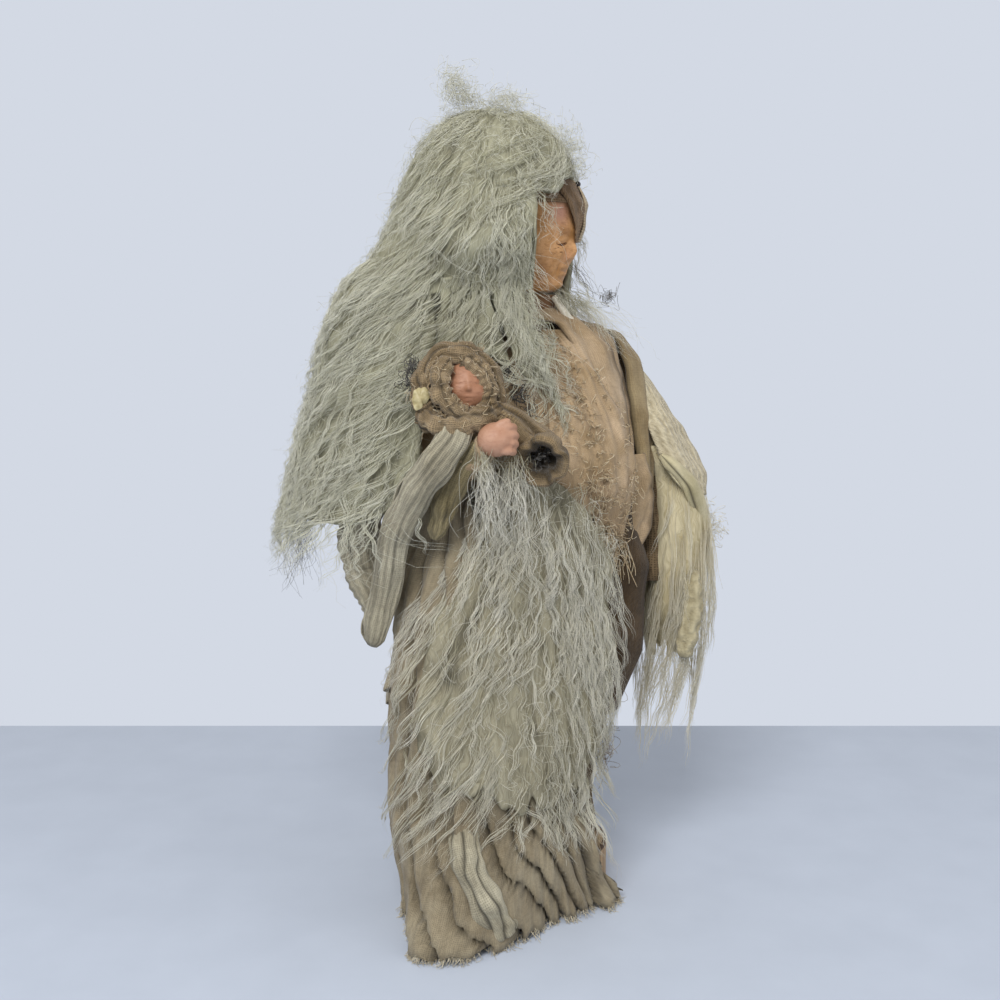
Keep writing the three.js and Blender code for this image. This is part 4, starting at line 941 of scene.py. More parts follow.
def scatter(seed: int, count: int, angles: tuple[float, float], ways: tuple[float, float],
            weight: Callable[[Array, Array], Array] | None = None) -> Array:
    """Draws roots over a patch, thicker where a weight says so.

    Args:
        seed: seed of the draw.
        count: how many roots.
        angles: limits of the angle, in degrees.
        ways: limits of the way down.
        weight: share of the draws to keep at an angle and way.

    Returns:
        Angle in radians and way of each root.
    """
    draw = np.random.default_rng(seed)
    found = np.empty((0, 2))
    while len(found) < count:
        tries = np.stack([
            np.radians(draw.uniform(*angles, 4 * count)), draw.uniform(*ways, 4 * count),
        ], 1)
        keep = np.ones(len(tries), bool)
        if weight is not None:
            keep = draw.uniform(0, 1, len(tries)) < weight(tries[:, 0], tries[:, 1])
        found = np.concatenate([found, tries[keep]])
    return found[:count]


def tube_surface(path: Array, radius: Callable[[Array, Array], Array], flat: float = 1.0,
                 aim: Sequence[float] = (0.31, 0.22, 0.92)) -> Surface:
    """Makes the surface of a lumpy tube along a path.

    Args:
        path: points that the middle runs through, in millimetres.
        radius: radius in millimetres at a share round and a share along.
        flat: share of the radius that the tube keeps towards its aim.
        aim: way that the flat side faces at the start.

    Returns:
        A surface over the share round and the share along.
    """
    path = np.asarray(path, float)
    knots = np.linspace(0, 1, len(path))
    fine = np.linspace(0, 1, 120)
    curve = np.stack([np.interp(fine, knots, path[:, i]) for i in range(3)], 1)
    for _ in range(12 if len(path) > 2 else 0):
        curve[1:-1] = (curve[:-2] + 2 * curve[1:-1] + curve[2:]) / 4
    tangent = np.gradient(curve, axis=0)
    tangent /= np.linalg.norm(tangent, axis=1, keepdims=True)
    side = np.empty_like(curve)
    side[0] = np.cross(tangent[0], aim)
    side[0] /= np.linalg.norm(side[0])
    for i in range(1, len(curve)):
        side[i] = side[i - 1] - tangent[i] * np.dot(side[i - 1], tangent[i])
        side[i] /= np.linalg.norm(side[i])
    up = np.cross(side, tangent) * flat

    def place(around: Array, along: Array) -> Array:
        """Gives the place at a share round and a share along.

        Args:
            around: share round, 0 to 1.
            along: share along, 0 to 1.

        Returns:
            Places in millimetres.
        """
        at = np.clip(along, 0, 1)
        pick = lambda table: np.stack([np.interp(at, fine, table[:, i]) for i in range(3)], -1)
        turn = 2 * np.pi * around
        size = radius(around, along)[..., None]
        return pick(curve) + size * (np.cos(turn)[..., None] * pick(side) + np.sin(turn)[..., None] * pick(up))

    return place


# The figure's own lines, as the solids have them

WAIST = 206.0
BASE_RADIUS = 45.0
BASE_HEIGHT = 30.0
HEAD_BOTTOM = 367.8
HEAD_HEIGHT = 75.0
HEAD_TURN = math.radians(28)
LEFT_ARM_LINE = np.array([[62, -6.2, 326], [84, -20, 256], [75.6, -32.2, 192], [75, -34, 90]])
HOOD_CENTRE = np.array([-90.0, -32.0, 313.0])
HAND_PLACE = np.array([-83.0, -64.0, 290.0])
RIGHT_SHOULDER = np.array([-62.0, -1.9, 326.0])
RIGHT_ELBOW = np.array([-99.0, 8.0, 264.0])
RIGHT_WRIST = np.array([-88.0, -42.0, 272.0])


@dataclass(frozen=True)
class BodyLine:
    """The stuffed body's reach from the post at each height."""

    height: tuple[float, ...] = (0, 42, 62, 140, 188, 225, 255, 276, 300, 320, 336, 346)
    right: tuple[float, ...] = (74, 84, 90, 88, 72, 56, 52, 52, 54, 54, 40, 20)
    left: tuple[float, ...] = (24, 25, 26, 30, 32, 37, 43, 45, 48, 50, 40, 20)
    front: tuple[float, ...] = (42, 43, 35, 34, 36, 45, 53, 53, 47, 37, 26, 16)
    back: tuple[float, ...] = (36, 42, 44, 46, 42, 38, 36, 35, 33, 29, 22, 15)
    spread: tuple[float, ...] = (1, 0.45, 0.32, 0.06, 0, 0, 0, 0, 0, 0, 0, 0)
    square: float = 2.4
    corner: float = 68  # angle of the hem's corner in degrees
    corner_width: float = 20
    corner_reach: float = 41

    def reach(self, z: Array, a: Array) -> Array:
        """Gives the distance from the post at a height and an angle.

        Args:
            z: height in millimetres.
            a: angle in radians.

        Returns:
            Distances in millimetres.
        """
        x, y = -np.sin(a), -np.cos(a)
        pick = lambda row: np.interp(z, self.height, row)
        across = np.abs(x) / np.where(x < 0, pick(self.right), pick(self.left))
        along = np.abs(y) / np.where(y < 0, pick(self.front), pick(self.back))
        return (across ** self.square + along ** self.square) ** (-1 / self.square)

    def flare(self, z: Array, a: Array) -> Array:
        """Gives how far the hem is drawn out to its right front corner.

        Args:
            z: height in millimetres.
            a: angle in radians.

        Returns:
            Distances in millimetres.
        """
        away = (a - math.radians(self.corner) + np.pi) % (2 * np.pi) - np.pi
        out = self.corner_reach * np.interp(z, self.height, self.spread)
        return out * np.exp(-(away / math.radians(self.corner_width)) ** 2)


BODY = BodyLine()


def polar(radius: Array, a: Array, z: Array, middle: Sequence[float] = (0, 0)) -> Array:
    """Gives places at an angle from the front towards the doll's right, about a middle."""
    return np.stack(np.broadcast_arrays(middle[0] - radius * np.sin(a), middle[1] - radius * np.cos(a), z), -1)


def turn_head(points: Array) -> Array:
    """Turns places from the head's own frame to the doll's."""
    c, s = math.cos(HEAD_TURN), math.sin(HEAD_TURN)
    return points @ np.array([[c, s, 0], [-s, c, 0], [0, 0, 1]])


# Sub-assemblies


@dataclass
class Studio:
    """Floor, backdrop, soft lamps and the camera."""

    lens: float = 43.2
    sensor: float = 36.0
    camera_place: tuple[float, float, float] = (-0.483, -0.541, 0.346)
    view: float = -40  # degrees that the view is turned about the post
    tilt: float = 82  # degrees between the view and straight down
    middle: tuple[float, float, float] = (0, 0, 0.24)  # of the doll
    floor_place: tuple[float, float, float] = (-0.643 * 1.7, -0.766 * 1.7, 0)
    sky: str = "#f0f2f5"
    sky_power: float = 0.6
    backdrop: str = "#d3d9e4"  # what the camera sees of the sky
    lamps: tuple = (("key", (-1.05, -0.75, 1.3), 0.7, 21), ("fill", (0.55, -1.5, 0.7), 1.2, 4))  # place, size, power

    def lamp(self, name: str, place: Sequence[float], size: float, power: float) -> None:
        """Adds a soft area lamp that looks at the doll's middle.

        Args:
            name: name of the lamp.
            place: where it hangs, in metres.
            size: its side in metres.
            power: its power in watts.
        """
        data = bpy.data.lights.new(name, "AREA")
        data.size, data.energy = size, power
        made = bpy.data.objects.new(name, data)
        made.location = place
        made.rotation_euler = (Vector(self.middle) - Vector(place)).to_track_quat("-Z", "Y").to_euler()
        bpy.context.collection.objects.link(made)

    def build(self) -> None:
        """Sets the scene round the doll."""
        paper = Plain("pale paper", "#c3cbd9", "#bfc7d5", rough=0.9, grit=40)
        floor = start(bpy.ops.mesh.primitive_plane_add, "floor", size=4, rotation=(0, 0, math.radians(self.view)))
        floor.location = self.floor_place
        floor.data.materials.append(paper.material())
        world = bpy.data.worlds.new("studio")
        bpy.context.scene.world = world
        world.use_nodes = True
        nodes = Nodes(world.node_tree)
        sky = nodes.tree.nodes["Background"]
        sky.inputs[0].default_value = linear(self.sky)
        sky.inputs[1].default_value = self.sky_power
        seen = nodes.add("Background", {0: self.backdrop, 1: 1.0})
        ray = nodes.add("LightPath")
        both = nodes.add("MixShader", {0: ray.outputs["Is Camera Ray"], 1: sky.outputs[0], 2: seen.outputs[0]})
        nodes.tree.links.new(both.outputs[0], nodes.tree.nodes["World Output"].inputs[0])
        for row in self.lamps:
            self.lamp(*row)
        camera = bpy.data.objects.new("camera", bpy.data.cameras.new("camera"))
        camera.data.sensor_width = self.sensor
        camera.data.lens = self.lens
        camera.location = self.camera_place
        camera.rotation_euler = (math.radians(self.tilt), 0, math.radians(self.view))
        bpy.context.collection.objects.link(camera)
        bpy.context.scene.camera = camera
        bpy.context.scene.view_settings.view_transform = "Standard"


@dataclass
class Stand:
    """Turned base with a scorched edge, a blind socket and the round post in it."""

    edge: float = 2.2
    socket: float = 6.35
    socket_depth: float = 21.5

    def build(self) -> None:
        """Turns the base and dresses the post."""
        base = start(bpy.ops.mesh.primitive_cylinder_add, "base", vertices=128, radius=BASE_RADIUS * MM,
                     depth=BASE_HEIGHT * MM, location=(0, 0, BASE_HEIGHT * MM / 2))
        place_at_origin(base)
        modify(base, "BEVEL", width=self.edge * MM, segments=3, limit_method="ANGLE", angle_limit=math.radians(40))
        bpy.ops.object.mode_set(mode="EDIT")
        bpy.ops.mesh.select_all(action="DESELECT")
        bpy.ops.object.mode_set(mode="OBJECT")
        for face in base.data.polygons:
            face.select = face.normal.z > 0.99 and face.center.z > BASE_HEIGHT * MM * 0.9
        bpy.ops.object.mode_set(mode="EDIT")
        bpy.ops.mesh.select_mode(type="FACE")
        bpy.ops.mesh.inset(thickness=(BASE_RADIUS - self.edge - self.socket) * MM)
        bpy.ops.mesh.extrude_region_move(TRANSFORM_OT_translate={"value": (0, 0, -self.socket_depth * MM)})
        bpy.ops.object.mode_set(mode="OBJECT")
        smooth_faces(base, 35)
        dress(base, BASE_WOOD, Slot.WOOD)
        base.data.materials.append(EDGE_WOOD.material())
        for face in base.data.polygons:
            middle = face.center / MM
            rim = abs(math.hypot(middle.x, middle.y) - BASE_RADIUS) < self.edge * 0.8
            face.material_index = int(rim and middle.z > BASE_HEIGHT - self.edge)
        settle(base, Body.STAND, "base_disc")
        dress(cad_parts["post"], BASE_WOOD)


@dataclass
class Armature:
    """Stuffed muslin forms, wires, paper tube and pegs, all under the clothes."""

    forms: dict[str, Body] = field(default_factory=lambda: {
        "hip_form": Body.DOLL, "torso_form": Body.DOLL, "right_upper_arm": Body.DOLL,
        "right_forearm": Body.DOLL, "left_upper_arm": Body.LEFT_ARM, "left_forearm": Body.LEFT_ARM,
    })
    voxel: float = 3.6
    fill: float = 0.85  # of firm stuffing

    def build(self) -> None:
        """Pads the forms and dresses the hidden hardware."""
        for node, body in self.forms.items():
            self.pad(node, body)
        for node in ("shoulder_wire", "left_arm_wire"):
            dress(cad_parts[node], WIRE)
        dress(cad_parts["post_tube"], PAPER)
        dress(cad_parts["neck_peg"], BASE_WOOD)
        # The neck is painted dark, as the shadow under the chin.
        dress(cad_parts["neck"], NECK_SHADOW_CLAY)

    def pad(self, node: str, body: Body) -> None:
        """Rounds a form's solid off as a stuffed muslin piece.

        Args:
            node: the form's solid.
            body: the body that carries it.
        """
        name = node.replace("_form", "_stuffing") if node.endswith("_form") else node + "_pad"
        made = dress(soft_copy(node, name, self.voxel, 8), MUSLIN, Slot.MUSLIN)
        settle(made, body, node)


@dataclass
class Skirts:
    """The gauze skirt that wraps round from an open left side, over a darker underskirt."""

    open_edge: float = 3.0  # angle of the front free edge
    far_edge: float = 230.0
    waist: float = 203.0
    hem: float = 3.6
    pleats: tuple[float, ...] = (-30, -12, 3, 14, 26, 36, 45, 54, 62, 71, 78, 88, 99, 111, 124, 140, 158, 178, 198,
                                 218, 236, 254, 272)
    folds: Ripple = ripple(11, 26)
    creases: Ripple = ripple(12, 9)
    crimp: Ripple = ripple(13, 7)

    def share(self, a: Array, z: Array) -> Array:
        """Gives how many pleats lie before a place; the pleats lean aside towards the floor.

        Args:
            a: angle in radians.
            z: height in millimetres.

        Returns:
            Pleats before each place.
        """
        lean = np.radians(2.2) * np.sin(z / 34 + 3 * a) + np.radians(1.2) * self.folds(z * 0.5, a * 60)
        fan = np.radians(28 - 8 * smooth(a, 0.2, 1.1))
        turned = a + lean + fan * np.clip((80 - z) / 74, 0, 1) ** 1.1
        return np.interp(turned, np.radians(self.pleats), np.arange(len(self.pleats)))

    def pleat(self, a: Array, z: Array) -> Array:
        """Gives how far a flattened pleat stands out, with a narrow crease beside it.

        Args:
            a: angle in radians.
            z: height in millimetres.

        Returns:
            Distances in millimetres.
        """
        spot = self.share(a, z)
        share = spot % 1
        high = 0.8 + 0.2 * np.sin(np.floor(spot) * 2.4 + 1)
        top = (1 - np.abs(2 * share - 1) ** 6) * high + 0.35 * (share - 0.5)
        return np.interp(z, (0, 60, 203, 260), (13.0, 11.0, 8.0, 6.0)) * top

    def spread(self, across: Array, along: Array) -> tuple[Array, Array, Array, Array]:
        """Gives angle, height, rise beside the sleeve and nearness to the floor of the outer skirt's places.

        Args:
            across: share across, 0 to 1.
            along: share along, 0 to 1.

        Returns:
            Angle, height, rise and nearness to the floor of each place.
        """
        a = np.radians(self.open_edge + (self.far_edge - self.open_edge) * across)
        ragged = 1.4 * np.sin(across * 190) + 1.1 * np.sin(across * 71 + 2)
        low = self.hem + np.maximum(ragged, -2)
        rise = smooth(a, math.radians(58), math.radians(80)) * (1 - smooth(a, math.radians(138), math.radians(168)))
        high = self.waist + 72 * rise
        z = high + (low - high) * along
        floor = np.clip(1 - z / 42, 0, 1) ** 1.5
        return a - np.radians(33) * floor * np.exp(-(across / 0.075) ** 2), z, rise, floor

    def over(self, across: Array, along: Array) -> Array:
        """Places the outer skirt; its free edge swings out over the base's side at the floor.

        Args:
            across: share across, 0 to 1.
            along: share along, 0 to 1.

        Returns:
            Places in millimetres.
        """
        a, z, rise, floor = self.spread(across, along)
        radius = BODY.reach(z, a) + BODY.flare(z, a) + 3.4 + self.pleat(a, z)
        radius = radius + rise * np.interp(z, (110, 150, 200, 250, 278), (0, 4, 14, 16, 6))
        radius = radius + 0.6 * self.creases(a * 70, z * 0.35) + 1.0 * self.crimp(a * 80, z * 0.09)
        corner = np.exp(-((a - math.radians(-29)) / math.radians(20)) ** 2)
        radius = radius + 11 * floor * corner
        keep = BASE_RADIUS + 3.2 + 0.35 * self.pleat(a, z)
        radius = np.where(z < 38, np.maximum(radius, keep), radius)
        return polar(radius, a, z)

    def crease(self, across: Array, along: Array) -> Array:
        """Gives how deep in a crease the outer skirt's cloth is, for the shade painted into the creases.

        Args:
            across: share across, 0 to 1.
            along: share along, 0 to 1.

        Returns:
            Depths, 0 to 1.
        """
        a, z = self.spread(across, along)[:2]
        share = self.share(a, z) % 1
        return 0.95 * np.exp(-((1 - np.abs(2 * share - 1)) / 0.2) ** 2)

    def under(self, across: Array, along: Array) -> Array:
        """Places the underskirt, caught up over the base on the open side.

        Args:
            across: share across, 0 to 1.
            along: share along, 0 to 1.

        Returns:
            Places in millimetres.
        """
        a = 2 * np.pi * across
        off = np.degrees((a - math.radians(300) + np.pi) % (2 * np.pi) - np.pi)
        lifted = 1 - smooth(np.abs(off), 58, 66)
        low = 6 + 36 * lifted + 2 * np.sin(a * 23) + 1.5 * np.sin(a * 41)
        z = 199 + (low - 199) * along
        radius = BODY.reach(z, a) + 0.75 * BODY.flare(z, a) + 1.4 + 1.3 * lifted * self.folds(a * 60, z * 0.3)
        radius = np.where((z < 40) & (lifted < 0.5), np.maximum(radius, BASE_RADIUS + 1.4), radius)
        return polar(radius, a, z)

    def fringe(self, name: str, place: Surface, count: int, length: float, finish: Finish,
               seed: int = 21) -> bpy.types.Object:
        """Frays a hem into threads that hang from it and splay on the floor.

        Args:
            name: name of the piece.
            place: the skirt's own surface.
            count: how many threads.
            length: usual length in millimetres.
            finish: the threads' finish.
            seed: seed of every draw.

        Returns:
            The piece.
        """
        draw = np.random.default_rng(seed)
        across = draw.uniform(0.004, 0.996, count)
        edge = place(across, np.full(count, 0.995))
        out = edge * [1, 1, 0]
        out /= np.linalg.norm(out, axis=1, keepdims=True)
        side = np.stack([-out[:, 1], out[:, 0], np.zeros(count)], 1)
        t = np.linspace(0, 1, 6)[None, :, None]
        reach = draw.uniform(0.5, 1.3, (count, 1, 1)) * length
        slant = draw.normal(0, 0.35, (count, 1, 1))
        wave = draw.normal(0, 0.8, (count, 1, 1)) * np.sin(t * draw.uniform(3, 9, (count, 1, 1)))
        splay = draw.uniform(0.1, 0.75, (count, 1, 1))
        paths = edge[:, None] + side[:, None] * (slant * reach * t + wave) + out[:, None] * splay * reach * t ** 1.5
        paths = paths - np.array([0, 0, 1]) * reach * t
        paths[..., 2] = np.maximum(paths[..., 2], 0.45 + 0.5 * draw.uniform(0, 1, (count, 1)))
        return strand_piece(name, paths, 0.26, draw.uniform(0, 1, count), seed, finish, Slot.GAUZE, tip=0.5)

    def groove(self, across: Array, along: Array) -> Array:
        """Gives how deep in a groove of the roll the cloth is, for its relief and the shade painted into the grooves.
        """
        return dip(6 * across + 0.9 * along + 0.16 * np.sin(along * 13 + 2), 0.13)

    def roll(self, across: Array, along: Array) -> Array:
        """Places the pale crinkled roll that stands on the skirt's right front.

        Args:
            across: share across, 0 to 1.
            along: share along, 0 to 1.

        Returns:
            Places in millimetres.
        """
        path = np.array([[68, 64, 8], [66, 56, 12], [62.5, 42, 13], [58, 25, 12], [54.5, 10, 9], [53, 2, 7]], float)
        a = np.radians(path[:, 0])
        radius = BODY.reach(path[:, 1], a) + BODY.flare(path[:, 1], a) + path[:, 2]
        middle = polar(radius, a, path[:, 1] + 6)

        def size(r: Array, s: Array) -> Array:
            """Gives the roll's radius."""
            wide = np.interp(s, (0, 0.05, 0.14, 0.3, 0.8, 0.97, 1), (1.5, 6, 8.5, 8.5, 9.5, 8, 4))
            return wide * (1 - 0.26 * self.groove(r, s)) + 0.9 * self.creases(r * 30, s * 40)

        return tube_surface(middle, size, flat=0.62, aim=(-0.6, -0.8, 0))(across, along)

    def build(self) -> None:
        """Makes both skirts with their frayed hems."""
        settle(sheet_piece("underskirt_gauze", self.under, (100, 32), UNDER_GAUZE, Slot.GAUZE, "gathered",
                           wall=0.7, closed=True), Body.DOLL, "underskirt")
        settle(sheet_piece("overskirt_gauze", self.over, (280, 54), SKIRT_GAUZE, Slot.GAUZE, "gathered",
                           wall=0.9, deep=self.crease), Body.DOLL, "overskirt")
        settle(self.fringe("overskirt_fringe", self.over, 1000, 5.5, THREAD), Body.DOLL)
        settle(self.fringe("underskirt_fringe", self.under, 480, 8.0, YARN), Body.DOLL)
        settle(sheet_piece("skirt_roll", self.roll, (60, 60), SLEEVE_GAUZE, Slot.GAUZE, "folded",
                           wall=0.7, closed=True, deep=self.groove), Body.DOLL)


@dataclass
class Robe:
    """The bodice, its sash, the netting panel, the nested collar layers and the side drape."""

    panel_edge: tuple = ((-31, 205), (-30, 245), (-28, 259), (-23, 277), (-18, 294), (-12, 310), (-9, 326), (-9, 340),
                         (9, 350))  # angle at each height
    folds: Ripple = ripple(31, 34)
    creases: Ripple = ripple(32, 11)
    collar: tuple = (
        (((-18, -11, 354), (-7, -25, 351), (-2, -31, 341), (2, -36, 327), (9, -42, 310), (19, -45, 292), (26, -45, 258),
          (25, -43, 226)),
         ((0, -4, 362), (16, -16, 355), (34, -29, 337), (37, -34, 320), (37, -38, 306), (35, -42, 288), (32, -43, 258),
          (31, -42, 226))),
        (((8, -4, 357), (22, -20, 350), (28, -25, 339), (30, -30, 320), (32, -35, 299), (38, -40, 262)),
         ((34, 12, 352), (43, -8, 350), (48, -17, 341), (49, -23, 321), (48, -29, 300), (43, -38, 260))),
        (((36, 6, 351), (47, -16, 346), (49, -28, 329), (49, -35, 303), (49, -38, 281), (52, -42, 252)),
         ((44, 14, 351), (60, -5, 346), (70, -19, 328), (71, -25, 302), (69, -30, 279), (59, -38, 250))),
        (((24, -47, 273), (25, -47, 256), (25, -46, 240), (23, -43, 225), (20, -39, 208)),
         ((41.3, -47.8, 273.9), (48.8, -50.1, 260.9), (49.9, -51, 245.1), (46.6, -49.6, 226.9), (33.4, -41.1, 201.4))),
    )  # front and back edge of each layer

    def bodice(self, across: Array, along: Array) -> Array:
        """Places the bodice, closed to the neck.

        Args:
            across: share across, 0 to 1.
            along: share along, 0 to 1.

        Returns:
            Places in millimetres.
        """
        a, z = 2 * np.pi * across, 344 - 139 * along
        radius = BODY.reach(z, a) + 2.0 + 0.9 * self.folds(a * 45, z * 0.6) + 0.5 * self.creases(a * 45, z)
        return polar(radius, a, z)

    def sash(self, across: Array, along: Array) -> Array:
        """Places the twisted sash round the waist.

        Args:
            across: share across, 0 to 1.
            along: share along, 0 to 1.

        Returns:
            Places in millimetres.
        """
        a, turn = 2 * np.pi * across, 2 * np.pi * along
        radius = BODY.reach(np.full_like(a, WAIST), a) + 7.0 + (3 + 0.5 * np.sin(40 * a + 2 * turn)) * np.cos(turn)
        return polar(radius, a, WAIST + 3.4 * np.sin(turn))

    def panel(self, across: Array, along: Array) -> Array:
        """Places the front panel, which stands off the body along its left edge.

        Args:
            across: share across, 0 to 1.
            along: share along, 0 to 1.

        Returns:
            Places in millimetres.
        """
        z = 347 - (118 + 10 * np.sin(across * 9) + 4 * np.sin(across * 31)) * along
        turns, heights = np.array(self.panel_edge, float).T
        edge = np.interp(z, heights, turns)
        a = np.radians(edge + (35 - edge) * across)
        full = 5.0 + 5.0 * (1 - smooth(across, 0, 0.6)) - 2.2 * np.exp(-(across / 0.035) ** 2)
        streak = 0.45 * np.sin(across * 44 + 3 * np.sin(z / 22)) + 0.5 * self.creases(a * 50, z * 0.5)
        return polar(BODY.reach(z, a) + full + streak, a, z)

    def inside(self, across: Array, along: Array) -> Array:
        """Places the lining on the left side, under the collar and the arm; its dark colour is painted shade of the
        recess there.

        Args:
            across: share across, 0 to 1.
            along: share along, 0 to 1.

        Returns:
            Places in millimetres.
        """
        top = 300 - 46 * smooth(across, 0.4, 0.85)
        a, z = np.radians(-84 + 76 * across), top - (top - 114) * along
        slack = np.interp(z, (114, 150, 205, 236, 262, 300), (14, 27, 27, 10, 0, -2))
        slack = slack * smooth(-np.degrees(a), 12, 48)
        return polar(BODY.reach(z, a) + 5.0 + slack + (0.5 + 0.05 * slack) * self.folds(a * 60, z * 0.4), a, z)

    def lapel(self, front: Sequence, back: Sequence) -> Surface:
        """Gives one collar layer between its edges, full in the middle, with its front edge rolled.

        Args:
            front: places along the front edge.
            back: places along the back edge.

        Returns:
            The surface, which gives places from two shares.
        """
        edges = [tube_surface(np.array(edge, float), lambda r, s: np.zeros_like(r)) for edge in (front, back)]

        def place(across: Array, along: Array) -> Array:
            """Gives the place at a share across and a share along.

            Args:
                across: share across, 0 to 1.
                along: share along, 0 to 1.

            Returns:
                Places in millimetres.
            """
            near, far = edges[0](across, along), edges[1](across, along)
            spot = near + (far - near) * across[..., None]
            out = unit(spot * [1, 1, 0])
            full = 2.6 * np.sin(np.pi * across) ** 0.6 + 1.0 * np.sin(across * 9 + along * 7)
            full = full + 0.5 * self.creases(across * 30, along * 80) - 2.5 * np.exp(-(across / 0.07) ** 2)
            return spot + out * full[..., None]

        return place

    def drape(self, across: Array, along: Array) -> Array:
        """Places the cloth that hangs at the right hip, pointed below.

        Args:
            across: share across, 0 to 1.
            along: share along, 0 to 1.

        Returns:
            Places in millimetres.
        """
        a = np.radians(98 + 54 * across)
        z = 196 - (46 + 34 * (1 - np.abs(2 * across - 0.8))) * along
        radius = BODY.reach(z, a) + 11.5 + 3.4 * np.sin(across * 27 + 0.4 * np.sin(z / 15)) * (0.4 + along)
        return polar(radius, a, z)

    def netting(self) -> bpy.types.Object:
        """Nets fine fuzzy loops over the panel's right side and its hem, with threads that hang below.

        Returns:
            The piece.
        """
        draw = np.random.default_rng(35)
        across = np.concatenate([draw.uniform(0.42, 1, 250), draw.uniform(0, 1, 220), draw.uniform(0, 0.5, 60)])
        along = np.concatenate([draw.uniform(0.02, 1, 250), draw.uniform(0.72, 1.02, 220), draw.uniform(0.1, 0.8, 60)])
        loops = puff(draw, self.panel(across, along) * [1.025, 1.03, 1], 2.6)
        hem = self.panel(draw.uniform(0, 0.7, 120), np.full(120, 0.98))
        t = np.linspace(0, 1, 12)[None, :, None]
        drop = np.array([0, 0, -1]) + draw.normal(0, 0.25, (120, 1, 3))
        threads = puff(draw, hem * [1.02, 1.02, 1], 1.5) + drop * t * draw.uniform(6, 24, (120, 1, 1))
        paths = np.concatenate([loops, threads])
        return strand_piece("front_netting", paths, 0.22, draw.uniform(0.1, 1, len(paths)), 36, YARN, Slot.NETTING)

    def fuzz(self) -> bpy.types.Object:
        """Draws the brown wool that hangs out beside the apron, over the base.

        Returns:
            The piece.
        """
        draw = np.random.default_rng(38)
        a, z = np.radians(draw.uniform(-36, -4, 330)), draw.triangular(78, 100, 200, 330)
        middles = polar(BODY.reach(z, a) + draw.uniform(4, 14, 330), a, z)
        paths = puff(draw, middles, 4.5) + np.array([0, 0, -1]) * np.linspace(0, 9, 12)[None, :, None]
        return strand_piece("robe_fuzz", paths, 0.15, draw.uniform(0, 1, 330), 39, BROWN_WOOL)

    def build(self) -> None:
        """Makes the robe."""
        settle(sheet_piece("bodice_gauze", self.bodice, (64, 44), ROBE_GAUZE, Slot.GAUZE, "stretched",
                           wall=0.9, closed=True), Body.DOLL, "bodice")
        settle(sheet_piece("waist_sash_gauze", self.sash, (200, 16), ROBE_GAUZE, Slot.GAUZE, wall=0.0, closed=True),
               Body.DOLL, "waist_sash")
        settle(sheet_piece("front_panel_backing", self.panel, (50, 80), ROBE_GAUZE, Slot.NETTING, "hung"), Body.DOLL, "front_panel")
        settle(self.netting(), Body.DOLL)
        settle(self.fuzz(), Body.DOLL)
        settle(sheet_piece("robe_lining", self.inside, (40, 60), RECESS_SHADE_GAUZE, Slot.GAUZE, "hung",
                           wall=0.7), Body.DOLL)
        # Painted shade along both edges of each collar layer, where the layers overlap.
        hem = lambda r, s: 0.9 * np.exp(-((1 - r) / 0.12) ** 2) + 0.85 * np.exp(-(r / 0.05) ** 2)
        for layer, (front, back) in enumerate(self.collar):
            lapel = sheet_piece(f"collar_layer_{layer + 1}", self.lapel(front, back), (32, 76),
                                COLLAR_GAUZE if layer == 2 else ROBE_GAUZE, Slot.GAUZE, "laid",
                                wall=1.0, deep=hem)
            settle(lapel, Body.DOLL, *(("left_lapel",) if layer == 0 else ()))
        settle(sheet_piece("side_drape_gauze", self.drape, (60, 40), SKIRT_GAUZE, Slot.GAUZE, "hung"), Body.DOLL, "side_drape")


